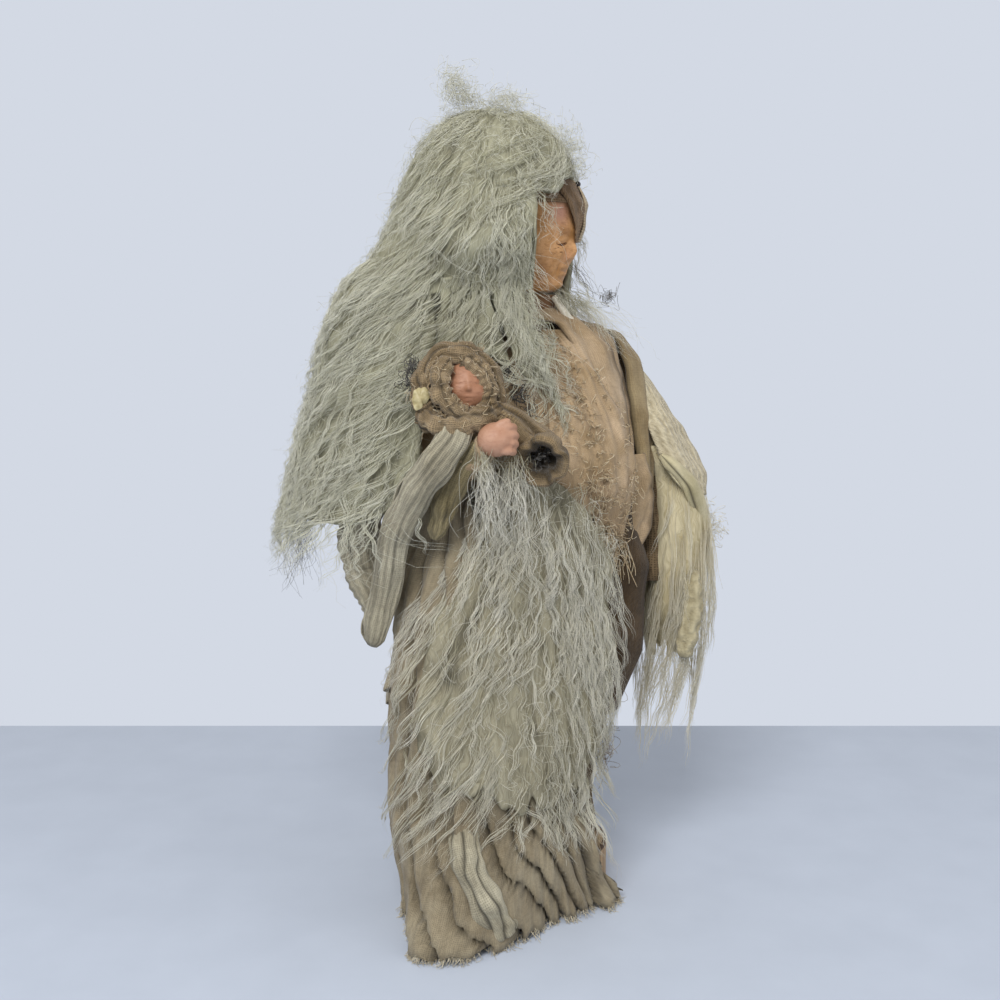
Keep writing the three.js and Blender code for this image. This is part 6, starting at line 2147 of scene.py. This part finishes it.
@dataclass
class Hair:
    """A wig of long curly wool that falls from the crown like a cape."""

    centre: tuple[float, float] = (-19.5, 15.75)
    dome_height: tuple[float, ...] = (396, 409, 422, 433, 444, 454, 461, 468, 472, 474)
    dome_radius: tuple[float, ...] = (73.5, 68, 61.5, 57.5, 52.5, 46.5, 40, 31, 20, 8)
    jaw: float = 371.0  # height where the falls begin
    turn: tuple[float, ...] = (-74, -70, -62, -30, -8, 4, 14, 21, 27, 42, 48, 66, 70, 76, 84, 90, 98, 110, 125, 151,
                               190, 226, 240, 260, 286)
    tip: tuple[float, ...] = (330, 395, 430, 433, 427, 416, 404, 392, 300, 300, 318, 312, 262, 240, 228, 224, 222, 222,
                              232, 246, 244, 248, 270, 296, 330)  # height of the tips at each turn
    neck: tuple[float, ...] = (50, 50, 51, 55, 58, 60, 60, 60, 60, 60, 60, 64, 74, 78, 83, 86, 89, 92, 93, 92, 88, 80,
                               72, 60, 50)  # reach at the jaw
    flare: tuple[float, ...] = (58, 56, 55, 56, 62, 64, 64, 64, 67, 68, 62, 66, 97, 100, 105, 110, 116, 124, 131, 131,
                                120, 112, 102, 84, 58)  # reach at the tips
    aside: tuple[float, ...] = (0, 0, 0, 0, 0, 0, 0, -22, -24, -34, -4, 0, -6, -6, -5, -4, -3, 0, 0, 0, 0, 0, 0, 0, 0)
    close: tuple[float, ...] = (0.78, 0.79, 0.80, 0.87, 0.94, 0.96, 0.98, 1, 1, 1, 1, 1, 1, 1, 0.98, 0.96, 0.94, 0.92,
                                0.91, 0.92, 0.94, 0.94, 0.92, 0.84, 0.78)  # share of the dome's radius
    start: float = -74  # turn of the first line, in degrees
    gap: float = 3.0  # degrees between lines
    crown: float = 474.5  # height where the lines meet
    beyond: float = 300  # how far a line goes on past its tip
    step: float = 4.0  # between the places of a line
    steps: int = 120

    def __post_init__(self) -> None:
        """Draws the lines that the wool follows, one for each turn about the crown."""
        self.turns = np.arange(self.start, self.start + 361, self.gap)
        rows, ends = zip(*(self.line(turn) for turn in self.turns))
        self.rows, self.ends = np.array(rows), np.array(ends)

    def line(self, turn: float) -> tuple[Array, float]:
        """Draws one line from the crown down to the tips and on, and gives its own length.

        Args:
            turn: turn about the crown, in degrees.

        Returns:
            Places at even steps, and the length down to the tips.
        """
        rows = (self.tip, self.neck, self.flare, self.aside, self.close)
        tip, neck, flare, aside, close = (float(np.interp(turn, self.turn, row)) for row in rows)
        rim, wide = self.dome_height[0], self.dome_radius[0] * close
        spots = [(turn, 2.0, self.crown)]
        for z in np.arange(self.dome_height[-1], max(self.jaw, tip), -3.0):
            radius = np.interp(z, self.dome_height, self.dome_radius) * close
            if z < rim:
                radius = wide + (neck - wide) * ((rim - z) / (rim - self.jaw)) ** 1.3
            spots.append((turn, radius, z))
        if tip < self.jaw:
            for t in np.linspace(0.05, 1, 24):
                spots.append((turn + aside * t, neck + (flare - neck) * t ** 0.9, self.jaw + (tip - self.jaw) * t))
        turns, radii, heights = np.array(spots).T
        points = polar(radii, np.radians(turns), heights, self.centre)
        for _ in range(4):
            points[1:-1] = (points[:-2] + 2 * points[1:-1] + points[2:]) / 4
        way = np.concatenate([[0], np.cumsum(np.linalg.norm(np.diff(points, axis=0), axis=1))])
        last = points[-1] - points[-4]
        last = last / np.linalg.norm(last) * 0.5 + [0, 0, -0.9]
        points = np.concatenate([points, [points[-1] + last / np.linalg.norm(last) * self.beyond]])
        far = np.concatenate([way, [way[-1] + self.beyond]])
        even = np.arange(self.steps) * self.step
        return np.stack([np.interp(even, far, points[:, i]) for i in range(3)], 1), way[-1]

    def surface(self, a: Array, way: Array) -> Array:
        """Gives the fleece's outer surface at a turn and a way down.

        Args:
            a: angle in radians.
            way: way down in millimetres.

        Returns:
            Places in millimetres.
        """
        turn = (np.degrees(a) - self.start) % 360 / self.gap
        low = np.clip(np.floor(turn).astype(int), 0, len(self.turns) - 2)
        mix = np.clip(turn - low, 0, 1)[..., None]
        down = np.clip(way / self.step, 0, self.steps - 1.001)
        row = np.floor(down).astype(int)
        part = (down - row)[..., None]
        near = self.rows[low, row] * (1 - part) + self.rows[low, row + 1] * part
        far = self.rows[low + 1, row] * (1 - part) + self.rows[low + 1, row + 1] * part
        return near * (1 - mix) + far * mix

    def end(self, a: Array) -> Array:
        """Gives the way down to the tips at a turn."""
        return np.interp((np.degrees(a) - self.start) % 360 + self.start, self.turns, self.ends)

    def weight(self, margin: float) -> Callable[[Array, Array], Array]:
        """Gives a root's chance: by how wide the fleece is there, and none beyond the tips.

        Args:
            margin: how far above the tips the chance ends, in millimetres.

        Returns:
            The chance, from an angle and a way down.
        """

        def chance(a: Array, way: Array) -> Array:
            """Gives the chance at a turn and a way down.

            Args:
                a: angle in radians.
                way: way down in millimetres.

            Returns:
                Chances, 0 to 1.
            """
            spot = self.surface(a, way)
            wide = np.hypot(spot[:, 0] - self.centre[0], spot[:, 1] - self.centre[1]) / 150
            return np.where(way < self.end(a) - margin, np.clip(wide + 0.06, 0, 1), 0)

        return chance

    def mat(self, name: str, turns: tuple[float, float], ways: tuple[float, float], depth: float) -> bpy.types.Object:
        """Makes the matted wool under part of the locks.

        Args:
            name: name of the piece, whose length seeds its lumps.
            turns: limits of the turn about the crown, in degrees.
            ways: limits of the way down.
            depth: how far it lies under the fleece's outer surface.

        Returns:
            The piece.
        """
        lumps, ridges, gaps = Ripple(len(name) * 7, 26), Ripple(len(name) * 7 + 1, 9), Ripple(len(name) * 5, 38)
        wide, tall = turns[1] - turns[0], ways[1] - ways[0]

        def place(across: Array, along: Array) -> Array:
            """Gives the place at a share across and a share along.

            Args:
                across: share across, 0 to 1.
                along: share along, 0 to 1.

            Returns:
                Places in millimetres.
            """
            a = np.radians(turns[0] + wide * across)
            last = self.end(a) - np.where((np.degrees(a) > -68) & (np.degrees(a) < 18), 3, 18)
            way = np.minimum(ways[0], last) + (np.minimum(ways[1], last) - np.minimum(ways[0], last)) * along
            spot, low = self.surface(a, np.maximum(way, 2.0)), np.maximum(way, 4.0)
            side = self.surface(a + 0.02, low) - self.surface(a - 0.02, low)
            down = self.surface(a, low + 2) - self.surface(a, low - 2)
            ridge = smooth(way, 50, 120) * ridges(a * 80 - way * 0.3, way * 0.14)
            sunk = depth + 1.2 * lumps(a * 80, way) + 1.3 * ridge
            return spot - unit(np.cross(side, down)) * sunk[..., None]

        # Painted shade in random patches, as in the mat's hollows.
        return sheet_piece(name, place, (max(24, int(wide / 2)), 42), HAIR_FELT, Slot.FLEECE, wall=3.0,
                           closed=wide >= 359.9,
                           deep=lambda r, s: 0.55 * smooth(gaps(r * wide * 1.4, s * tall * 0.6), 0.5, 1.5))

    def inner(self, across: Array, along: Array) -> Array:
        """Places the matted wool that closes the hood of hair from its front edge to the side of the head.

        Args:
            across: share across, 0 to 1.
            along: share along, 0 to 1.

        Returns:
            Places in millimetres.
        """
        edge = self.surface(np.full_like(along, np.radians(30)), 50 + 150 * along)
        deep = smooth(edge[..., 2], 356, 374)[..., None]
        ear = np.concatenate([np.array([-13.0, -2.0]) + deep * [-9.0, -4.0], edge[..., 2:] + 2], -1)
        spot = edge + (ear - edge) * (0.06 + 0.94 * across[..., None])
        return spot + Ripple(94, 16)(across * 60, along * 150)[..., None] * [0.6, 0.9, 0]

    def hang(self, obj: bpy.types.Object, *nodes: str) -> None:
        """Bakes a hair piece's place into its mesh and hides the solids that it stands for.

        Args:
            obj: the piece.
            nodes: the solids that it stands for.
        """
        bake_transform(obj)
        if nodes:
            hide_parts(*nodes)
        report(obj)

    def locks(self, name: str, seed: int, count: int, turns: tuple[float, float], ways: tuple[float, float],
              lock: Lock) -> bpy.types.Object:
        """Grows one part of the hair.

        Args:
            name: name of the piece.
            seed: seed of every draw.
            count: how many locks.
            turns: limits of the turn about the crown, in degrees.
            ways: limits of the way down.
            lock: how the locks grow.

        Returns:
            The piece.
        """
        roots = scatter(seed, count, turns, ways, self.weight(lock.length[0] * 0.45))
        turn = (np.degrees(roots[:, 0]) + 74) % 360 - 74
        brow = (turn > -66) & (turn < 17)
        way = roots[:, 1]
        swept = 0.42 * smooth(turn, 34, 60) * (1 - smooth(turn, 108, 136)) * (1 - 0.5 * smooth(way, 150, 210))
        drift = np.where(brow, np.where(turn > -28, 0.65, -0.6) * smooth(way, 10, 60), swept)
        room = self.end(roots[:, 0]) + 12 - way
        scale = np.clip(room / np.mean(lock.length), 0.3, 1)
        grown = grow(self.surface, roots, lock, seed + 1, drift=drift, scale=scale)
        return strand_piece(name, *grown, seed + 2, HAIR_WOOL)

    def loose(self) -> list[bpy.types.Object]:
        """Draws tufts, frizz and tangles that stand off the fleece.

        Returns:
            The pieces.
        """
        draw = np.random.default_rng(97)
        near = lambda spot, spread, count: np.array(spot) + draw.normal(0, 1, (count, 3)) * spread
        pale = [
            puff(draw, near((-48, 10, 477), (5, 5, 4), 170), 4.5),
            puff(draw, near((-53, 12, 486), (4, 4, 4), 100), 4.0),
            puff(draw, near((-22, 4, 477), (6, 6, 3), 130), 4.5),
            puff(draw, near((7, -18, 452), (4, 4, 6), 130), 4.5),
            puff(draw, near((13, -22, 440), (3, 3, 6), 60), 3.5),
            tuft(draw, (12, -18, 366), (0.8, -0.3, -0.55), 90, 40, 0.22, 2.0),
            tuft(draw, (4, -14, 368), (0.35, -0.5, -0.9), 60, 24, 0.2, 1.6),
            tuft(draw, (24, -6, 362), (0.8, -0.2, -0.45), 60, 34, 0.3, 2.2),
        ]
        roots = scatter(96, 640, (-74, 286), (3, 290), self.weight(2))
        middles = self.surface(roots[:, 0], roots[:, 1])
        out = middles - np.array([self.centre[0], self.centre[1], 400])
        out[:, 2] = np.where(roots[:, 1] < 70, np.maximum(out[:, 2], 0), 0)
        out /= np.linalg.norm(out, axis=1, keepdims=True)
        pale.append(puff(draw, middles + out * draw.uniform(0, 5, (640, 1)), 3.4))
        roots = scatter(95, 520, (-74, 150), (0, 110), self.weight(4))
        middles = self.surface(roots[:, 0], roots[:, 1])
        pale.append(puff(draw, middles + [0, 0, 1.0], 5.0))
        roots = scatter(98, 500, (-74, 286), (4, 290), self.weight(4))
        lock = Lock(length=(14, 42), strands=1, width=0.2, wave=(8, 20), curl=2.8, lift=(3, 11), points=12)
        pale.append(grow(self.surface, roots, lock, 99, stray=0.4)[0])
        paths = np.concatenate(pale)
        frizz = strand_piece("hair_frizz", paths, 0.1, draw.uniform(0.5, 1, len(paths)), 100, HAIR_WOOL, tip=0.5)
        dark = np.concatenate([
            tuft(draw, (-122, 70, 243), (-0.1, 0.1, -1), 90, 34, 0.12, 2.6),
            tuft(draw, (8, -24, 380), (0.75, -0.35, -0.7), 12, 22, 0.06, 0.8),
            puff(draw, near((28, -32, 366), (2, 2, 1.5), 34), 3.2),
        ])
        tangle = strand_piece("hair_tangle", dark, 0.13, draw.uniform(0, 1, len(dark)), 101, DARK_WOOL, tip=0.5)
        return [frizz, tangle]

    def build(self) -> None:
        """Makes the wig: matted wool below, locks over it and loose wool on top."""
        mats = (
            ("hair_mat_crown", (-74, 286), (2, 82), 3.8, ("wig_crown", "wig_topknot")),
            ("hair_mat_right_side", (18, 152), (80, 144), 3.8, ("wig_right_side",)),
            ("hair_mat_left_side", (152, 285), (80, 144), 3.8, ("wig_left_side",)),
            ("hair_mat_front", (29, 44), (136, 260), 4.2, ("wig_front_lock",)),
            ("hair_mat_shoulder", (45, 66), (136, 240), 3.8, ("wig_shoulder_lock",)),
            ("hair_mat_right", (67.5, 153), (136, 300), 4.2, ("wig_right_fall",)),
            ("hair_mat_back", (151, 227), (136, 300), 4.2, ("wig_back_fall",)),
            ("hair_mat_left", (226, 285), (136, 280), 3.8, ("wig_left_fall",)),
        )
        for name, turns, ways, depth, nodes in mats:
            self.hang(self.mat(name, turns, ways, depth), *nodes)
        # Painted shade: the inner mat darkens towards the side of the head.
        self.hang(sheet_piece("hair_mat_inner", self.inner, (24, 40), HAIR_FELT, Slot.FLEECE, wall=2.5,
                              deep=lambda r, s: 0.5 * r))
        long = Lock(length=(42, 68), curl=2.0, lift=(0, 5), wave=(9, 14), pale=0.7)
        short = Lock(length=(34, 60), curl=1.7, wave=(9, 15), lift=(0, 3), width=4.0, pale=0.55)
        fluff = Lock(length=(20, 42), strands=8, curl=1.8, lift=(0, 4), wave=(8, 15), width=5.5, points=14, late=1.2,
                     pale=0.36)
        parts = (
            ("hair_crown", 111, 166, (-74, 286), (-4, 84), fluff),
            ("hair_right", 121, 76, (26, 80), (60, 140), short),
            ("hair_front", 123, 78, (26, 70), (112, 252), short),
            ("hair_cape_front", 126, 84, (69, 98), (110, 300), long),
            ("hair_cape_right", 131, 98, (96, 120), (70, 300), long),
            ("hair_cape_side", 141, 98, (118, 144), (70, 300), long),
            ("hair_cape_far", 146, 70, (142, 168), (70, 300), long),
            ("hair_cape_back", 151, 78, (166, 228), (70, 300), long),
            ("hair_cheek", 165, 20, (25, 34), (58, 170), short),
            ("hair_left", 161, 62, (226, 286), (70, 260), short),
        )
        for name, seed, count, turns, ways, lock in parts:
            self.hang(self.locks(name, seed, count, turns, ways, lock))
        for piece in self.loose():
            self.hang(piece)


@dataclass
class Apron:
    """The fleece that hangs from the hand over the front of the skirt."""

    turns: tuple[float, float] = (-12, 88)
    top_line: tuple = ((-34, 198), (-20, 208), (-2, 222), (20, 250), (40, 271), (58, 271), (72, 257), (87, 233),
                       (100, 212))  # height at each angle
    low_line: tuple = ((-34, 128), (-10, 92), (6, 66), (28, 50), (39, 49), (52, 54), (67, 68), (78, 82), (83, 95),
                       (87, 112), (100, 176))

    def top(self, a: Array) -> Array:
        """Gives the height where the fleece begins."""
        return np.interp(np.degrees(a), *np.array(self.top_line, float).T)

    def low(self, a: Array) -> Array:
        """Gives the height of the fleece's tips."""
        return np.interp(np.degrees(a), *np.array(self.low_line, float).T)

    def surface(self, a: Array, way: Array) -> Array:
        """Gives the fleece's surface at an angle and a way down.

        Args:
            a: angle in radians.
            way: way down in millimetres.

        Returns:
            Places in millimetres.
        """
        z = self.top(a) - way
        share = np.clip(way / (self.top(a) - self.low(a)), 0, 1)
        radius = BODY.reach(np.maximum(z, 50), a) + BODY.flare(z, a) + 15 + 9 * np.sin(np.pi * share) ** 0.8
        return polar(radius, a, z)

    def mat(self, across: Array, along: Array) -> Array:
        """Places the matted wool under the locks.

        Args:
            across: share across, 0 to 1.
            along: share along, 0 to 1.

        Returns:
            Places in millimetres.
        """
        a = np.radians(self.turns[0] + 4 + (self.turns[1] - self.turns[0] - 12) * across)
        way = (self.top(a) - self.low(a) - 24 - 4 * np.sin(a * 19) - 4 * np.sin(a * 43)) * along
        spot = self.surface(a, way)
        lumps = 1.8 * np.sin(a * 31 + way / 9) + 1.4 * np.sin(a * 17 - way / 13)
        return spot - polar(3.6 + 0.6 * lumps, a, np.zeros_like(a))

    def hollow_shade(self, across: Array, along: Array) -> Array:
        """Gives the painted shade in the gaps of the matted wool.

        Args:
            across: share across, 0 to 1.
            along: share along, 0 to 1.

        Returns:
            Depths, 0 to 1.
        """
        gap = 0.9 * np.exp(-((across - 0.86 - 0.05 * np.sin(along * 14)) / 0.035) ** 2)
        gap = gap * smooth(along, 0.25, 0.4) * (1 - smooth(along, 0.6, 0.75))
        return np.clip(gap + 0.5 * smooth(Ripple(177, 0.3)(across, along * 1.4), 0.3, 1.5), 0, 1)

    def fuzz(self) -> bpy.types.Object:
        """Draws the fine loops that blur the fleece's face and its upper edge.

        Returns:
            The piece.
        """
        draw = np.random.default_rng(197)
        roots = np.concatenate([
            scatter(198, 340, (-8, 82), (-4, 210), lambda a, way: (way < self.top(a) - self.low(a) - 4) * 1.0),
            scatter(199, 130, (-10, 80), (-8, 10)),
        ])
        out = polar(draw.uniform(-1, 3, len(roots)), roots[:, 0], np.zeros(len(roots)))
        paths = puff(draw, self.surface(roots[:, 0], roots[:, 1]) + out, 4.5)
        return strand_piece("apron_fuzz", paths, 0.1, draw.uniform(0.4, 1, len(paths)), 200, APRON_WOOL)

    def hand_wool(self) -> bpy.types.Object:
        """Draws the wool that spills from under the hand, over the wrist.

        Returns:
            The piece.
        """
        draw = np.random.default_rng(195)
        paths = np.concatenate([
            tuft(draw, (-92, -61, 284), (0.3, 0.12, -1), 70, 44, 0.24, 2.2, 16),
            tuft(draw, (-76, -66, 281), (0.2, 0.25, -1), 40, 42, 0.22, 2.2, 16),
            tuft(draw, (-66, -64, 276), (0.1, 0.3, -1), 36, 38, 0.24, 2.2, 16),
        ])
        # Painted light: the tones are drawn pale to offset the shade under the hand.
        return strand_piece("hand_wool", paths, 0.15, draw.uniform(0.75, 1, len(paths)), 196, APRON_WOOL, tip=0.5)

    def build(self) -> None:
        """Makes the fleece."""
        settle(sheet_piece("apron_mat", self.mat, (60, 60), APRON_FELT, Slot.FLEECE, wall=4.0, deep=self.hollow_shade),
               Body.DOLL, "apron_fleece")
        lock = Lock(length=(38, 66), curl=1.8, lift=(0, 4), wave=(10, 16), width=4.6, pale=0.58)
        for part, turns in enumerate(((-10, 28), (24, 56), (52, 84))):
            room = lambda a, way: (way < self.top(a) - self.low(a) - 9) * 1.0
            roots = scatter(171 + part, 76, turns, (-12, 220), room)
            drift = self.fan(roots)
            left = self.top(roots[:, 0]) - self.low(roots[:, 0] + 0.8 * drift) - roots[:, 1]
            paths, radius, shade = grow(self.surface, roots, lock, 173 + part, drift=drift, stray=0.14, sink=1.5,
                                        scale=np.clip(left / 50, 0.35, 1))
            # Painted light: the locks near the top are paler, to offset the shade under the hand and the panel.
            shade = np.clip(shade + 0.35 * np.repeat(1 - smooth(roots[:, 1], 10, 80), lock.strands), 0, 1)
            settle(strand_piece(f"apron_locks_{part + 1}", paths, radius, shade, 175 + part, APRON_WOOL), Body.DOLL)
        curls = Lock(length=(34, 66), strands=8, width=1.3, wave=(10, 18), curl=1.9, lift=(1, 4), thick=0.15, points=26,
                     pale=0.95, late=0.35)
        roots = np.concatenate([scatter(191, 34, (6, 66), (4, 150)), scatter(190, 22, (26, 66), (-4, 30))])
        grown = grow(self.surface, roots, curls, 192, drift=self.fan(roots), sink=0.0)
        settle(strand_piece("apron_curls", *grown, 193, APRON_WOOL), Body.DOLL)
        settle(self.hand_wool(), Body.DOLL)
        settle(self.fuzz(), Body.DOLL)

    def fan(self, roots: Array) -> Array:
        """Gives how far locks turn aside, away from the middle and more so lower on the right."""
        middle = (np.degrees(roots[:, 0]) - 46) / 50
        return 0.4 * middle + 0.12 * smooth(middle, 0.2, 0.7) * smooth(roots[:, 1], 40, 110)


@dataclass
class LeftArm:
    """The hanging left arm: gauze sleeve, cream knit oversleeve and wool at the cuff."""

    axis: Array = field(default_factory=lambda: LEFT_ARM_LINE)
    crease: Ripple = ripple(91, 16)

    def middle(self, z: Array) -> Array:
        """Gives the arm's middle at a height."""
        order = self.axis[::-1]
        return np.stack([np.interp(z, order[:, 2], order[:, i]) for i in (0, 1)], -1)

    def ring(self, radius: Array, a: Array, z: Array) -> Array:
        """Gives places round the arm.

        Args:
            radius: distance from the arm's middle, in millimetres.
            a: angle in radians.
            z: height in millimetres.

        Returns:
            Places in millimetres.
        """
        spot = polar(radius, a, z)
        spot[..., :2] += self.middle(z)
        return spot

    def sleeve(self, across: Array, along: Array) -> Array:
        """Places the gauze sleeve.

        Args:
            across: share across, 0 to 1.
            along: share along, 0 to 1.

        Returns:
            Places in millimetres.
        """
        a, z = 2 * np.pi * across, 339 - 145 * along
        radius = np.interp(z, (194, 215, 250, 285, 318, 330, 339), (25, 24, 22, 18.5, 13, 10, 3))
        radius = radius + 1.6 * np.sin(7 * a + z / 30) * smooth(along, 0.1, 0.5) + 0.6 * self.crease(a * 20, z)
        return self.ring(radius, a, z)

    def over(self, across: Array, along: Array) -> Array:
        """Places the oversleeve, a flared knit cap over the upper arm.

        Args:
            across: share across, 0 to 1.
            along: share along, 0 to 1.

        Returns:
            Places in millimetres.
        """
        turn = 122 + 271 * across
        a = np.radians(turn)
        high = 332 - 20 * (2 * across - 1) ** 2
        low = np.interp(turn, (122, 200, 300, 315, 348, 370, 393), (258, 236, 240, 244, 247, 257, 268))
        low = low + 1.5 * np.sin(across * 40)
        z = high + (low - high) * along
        radius = (np.interp(z, (225, 246, 258, 286, 313, 332), (30.5, 31, 30.5, 26, 17.5, 8))
                  - 1.5 * smooth(along, 0.9, 1))
        radius = radius + 2.0 * np.sin(across * 21 + z / 40) * smooth(along, 0.1, 0.6) + 0.5 * self.crease(a * 25, z)
        return self.ring(radius, a, z)

    def slim(self, a: Array, z: Array) -> Array:
        """Gives how far the wool is pressed in on the side of the body, most of all high up."""
        turn = np.degrees(a) % 360
        return 1 - np.interp(z, (150, 215), (0.42, 0.62)) * smooth(turn, 26, 75) * (1 - smooth(turn, 215, 262))

    def turned(self) -> Surface:
        """Gives the smooth edge of the knit, turned back into a soft roll.

        Returns:
            The surface, which gives places from two shares.
        """
        path = np.array([[61.3, -44.9, 271.2], [67.5, -50.1, 263.8], [78.5, -52.8, 253.3], [88.6, -50.9, 239.7],
                         [97.7, -46.8, 224.3], [100.8, -45.5, 207.6], [93.5, -49.8, 191]])
        size = lambda r, s: (np.interp(s, (0, 0.1, 0.35, 0.7, 0.92, 1), (1.5, 4, 6, 7.5, 6, 2))
                             * (1 - 0.25 * self.fold(r, s)) + 0.5 * self.crease(r * 40, s * 60))
        return tube_surface(path, size, flat=0.75, aim=(0.1, -1, 0))

    def fold(self, across: Array, along: Array) -> Array:
        """Gives how deep in a fold of the turned edge the cloth is, for its relief and the shade painted into the
        folds.
        """
        return dip(3 * across + 0.5 * along, 0.1)

    def tongue(self) -> Surface:
        """Gives the end of the knit, a bumpy roll that hangs out of the wool.

        Returns:
            The surface, which gives places from two shares.
        """
        path = np.array([[76, -62, 200], [70, -65.2, 191.7], [68.7, -66.8, 177.1], [65.1, -66.4, 161.9],
                         [62.5, -65.5, 148.3]])
        size = lambda r, s: (np.interp(s, (0, 0.15, 0.5, 0.85, 0.96, 1), (2, 5, 6.2, 6, 4.5, 1.5))
                             + 0.3 * np.sin(2 * np.pi * (3 * r + 4 * s)) + 0.35 * self.crease(r * 60, s * 90))
        return tube_surface(path, size, flat=0.7, aim=(-0.64, -0.77, 0))

    def curls(self) -> bpy.types.Object:
        """Draws the pale curls that stand off the sleeve's outer side.

        Returns:
            The piece.
        """
        draw = np.random.default_rng(188)
        middles = np.array([114, -43, 222]) + draw.normal(0, 1, (60, 3)) * [3.5, 3.5, 10]
        paths = puff(draw, middles, 4.0)
        return strand_piece("left_sleeve_curls", paths, 0.13, draw.uniform(0.6, 1, 60), 189, CUFF_WOOL)

    def fleece(self, a: Array, way: Array) -> Array:
        """Gives the cuff wool's surface.

        Args:
            a: angle in radians.
            way: way down in millimetres.

        Returns:
            Places in millimetres.
        """
        z = 272 - way
        radius = np.interp(z, (60, 94, 136, 172, 225, 250, 272), (14, 19, 28, 34, 33, 30, 26))
        return self.ring(radius * self.slim(a, z), a, z)

    def mat(self, across: Array, along: Array) -> Array:
        """Places the matted wool of the cuff.

        Args:
            across: share across, 0 to 1.
            along: share along, 0 to 1.

        Returns:
            Places in millimetres.
        """
        a = 2 * np.pi * across
        z = 276 - (126 + 5 * np.sin(5 * a + 1) + 4 * np.sin(11 * a)) * along
        radius = np.interp(z, (108, 136, 172, 225, 254, 276), (14, 20, 27, 29.5, 27, 23)) + 0.6 * np.sin(9 * a + z / 8)
        radius = radius * (1 - 0.5 * smooth(along, 0.75, 1))
        return self.ring(radius * self.slim(a, z), a, z)

    def swing(self, obj: bpy.types.Object, *nodes: str) -> None:
        """Bakes a piece's place into its mesh and hides the solids that it stands for.

        Args:
            obj: the piece.
            nodes: the solids that it stands for.
        """
        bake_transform(obj)
        if nodes:
            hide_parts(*nodes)
        report(obj)

    def build(self) -> None:
        """Makes the sleeve, the oversleeve and the cuff."""
        self.swing(sheet_piece("left_sleeve_gauze", self.sleeve, (64, 40), UNDER_GAUZE, Slot.GAUZE, "hung",
                               closed=True), "left_sleeve")
        self.swing(sheet_piece("left_oversleeve_knit", self.over, (84, 60), KNIT, Slot.KNIT, "hung",
                               wall=1.8), "left_oversleeve")
        for name, place, finish, deep in (("left_knit_edge", self.turned(), FOLD_GAUZE, self.fold),
                                          ("left_knit_tongue", self.tongue(), DARKER_KNIT, None)):
            settle(sheet_piece(name, place, (48, 60), finish, Slot.KNIT, "folded", wall=0.9,
                               closed=True, deep=deep), Body.LEFT_ARM)
        settle(self.curls(), Body.LEFT_ARM)
        settle(sheet_piece("cuff_mat", self.mat, (60, 44), CUFF_FELT, Slot.FLEECE, wall=3.0, closed=True),
               Body.LEFT_ARM, "left_cuff_fleece")
        lock = Lock(length=(46, 78), strands=8, curl=0.8, lift=(0, 6), wave=(14, 26), width=4.6, thick=0.13, points=16,
                    pale=0.6)
        for part, (count, turns, ways) in enumerate(((72, (-160, 40), (6, 134)), (38, (0, 100), (50, 140)))):
            roots = scatter(181 + part, count, turns, ways)
            grown = grow(self.fleece, roots, lock, 183 + part, drift=0.3 + 0.3 * smooth(roots[:, 1], 60, 130),
                         stray=0.16, scale=np.clip((200 - roots[:, 1]) / 60, 0.5, 1))
            settle(strand_piece(f"cuff_locks_{part + 1}", *grown, 185 + part, CUFF_WOOL), Body.LEFT_ARM)


def main() -> None:
    """Builds the scene from the stand up."""
    logging.basicConfig(level=logging.INFO, format="%(message)s")
    Studio().build()
    Stand().build()
    Armature().build()
    Skirts().build()
    Robe().build()
    RightSleeve().build()
    baby = Baby()
    baby.build()
    Hands().build(baby)
    Head().build()
    Hair().build()
    Apron().build()
    LeftArm().build()


if __name__ == "__main__":
    main()
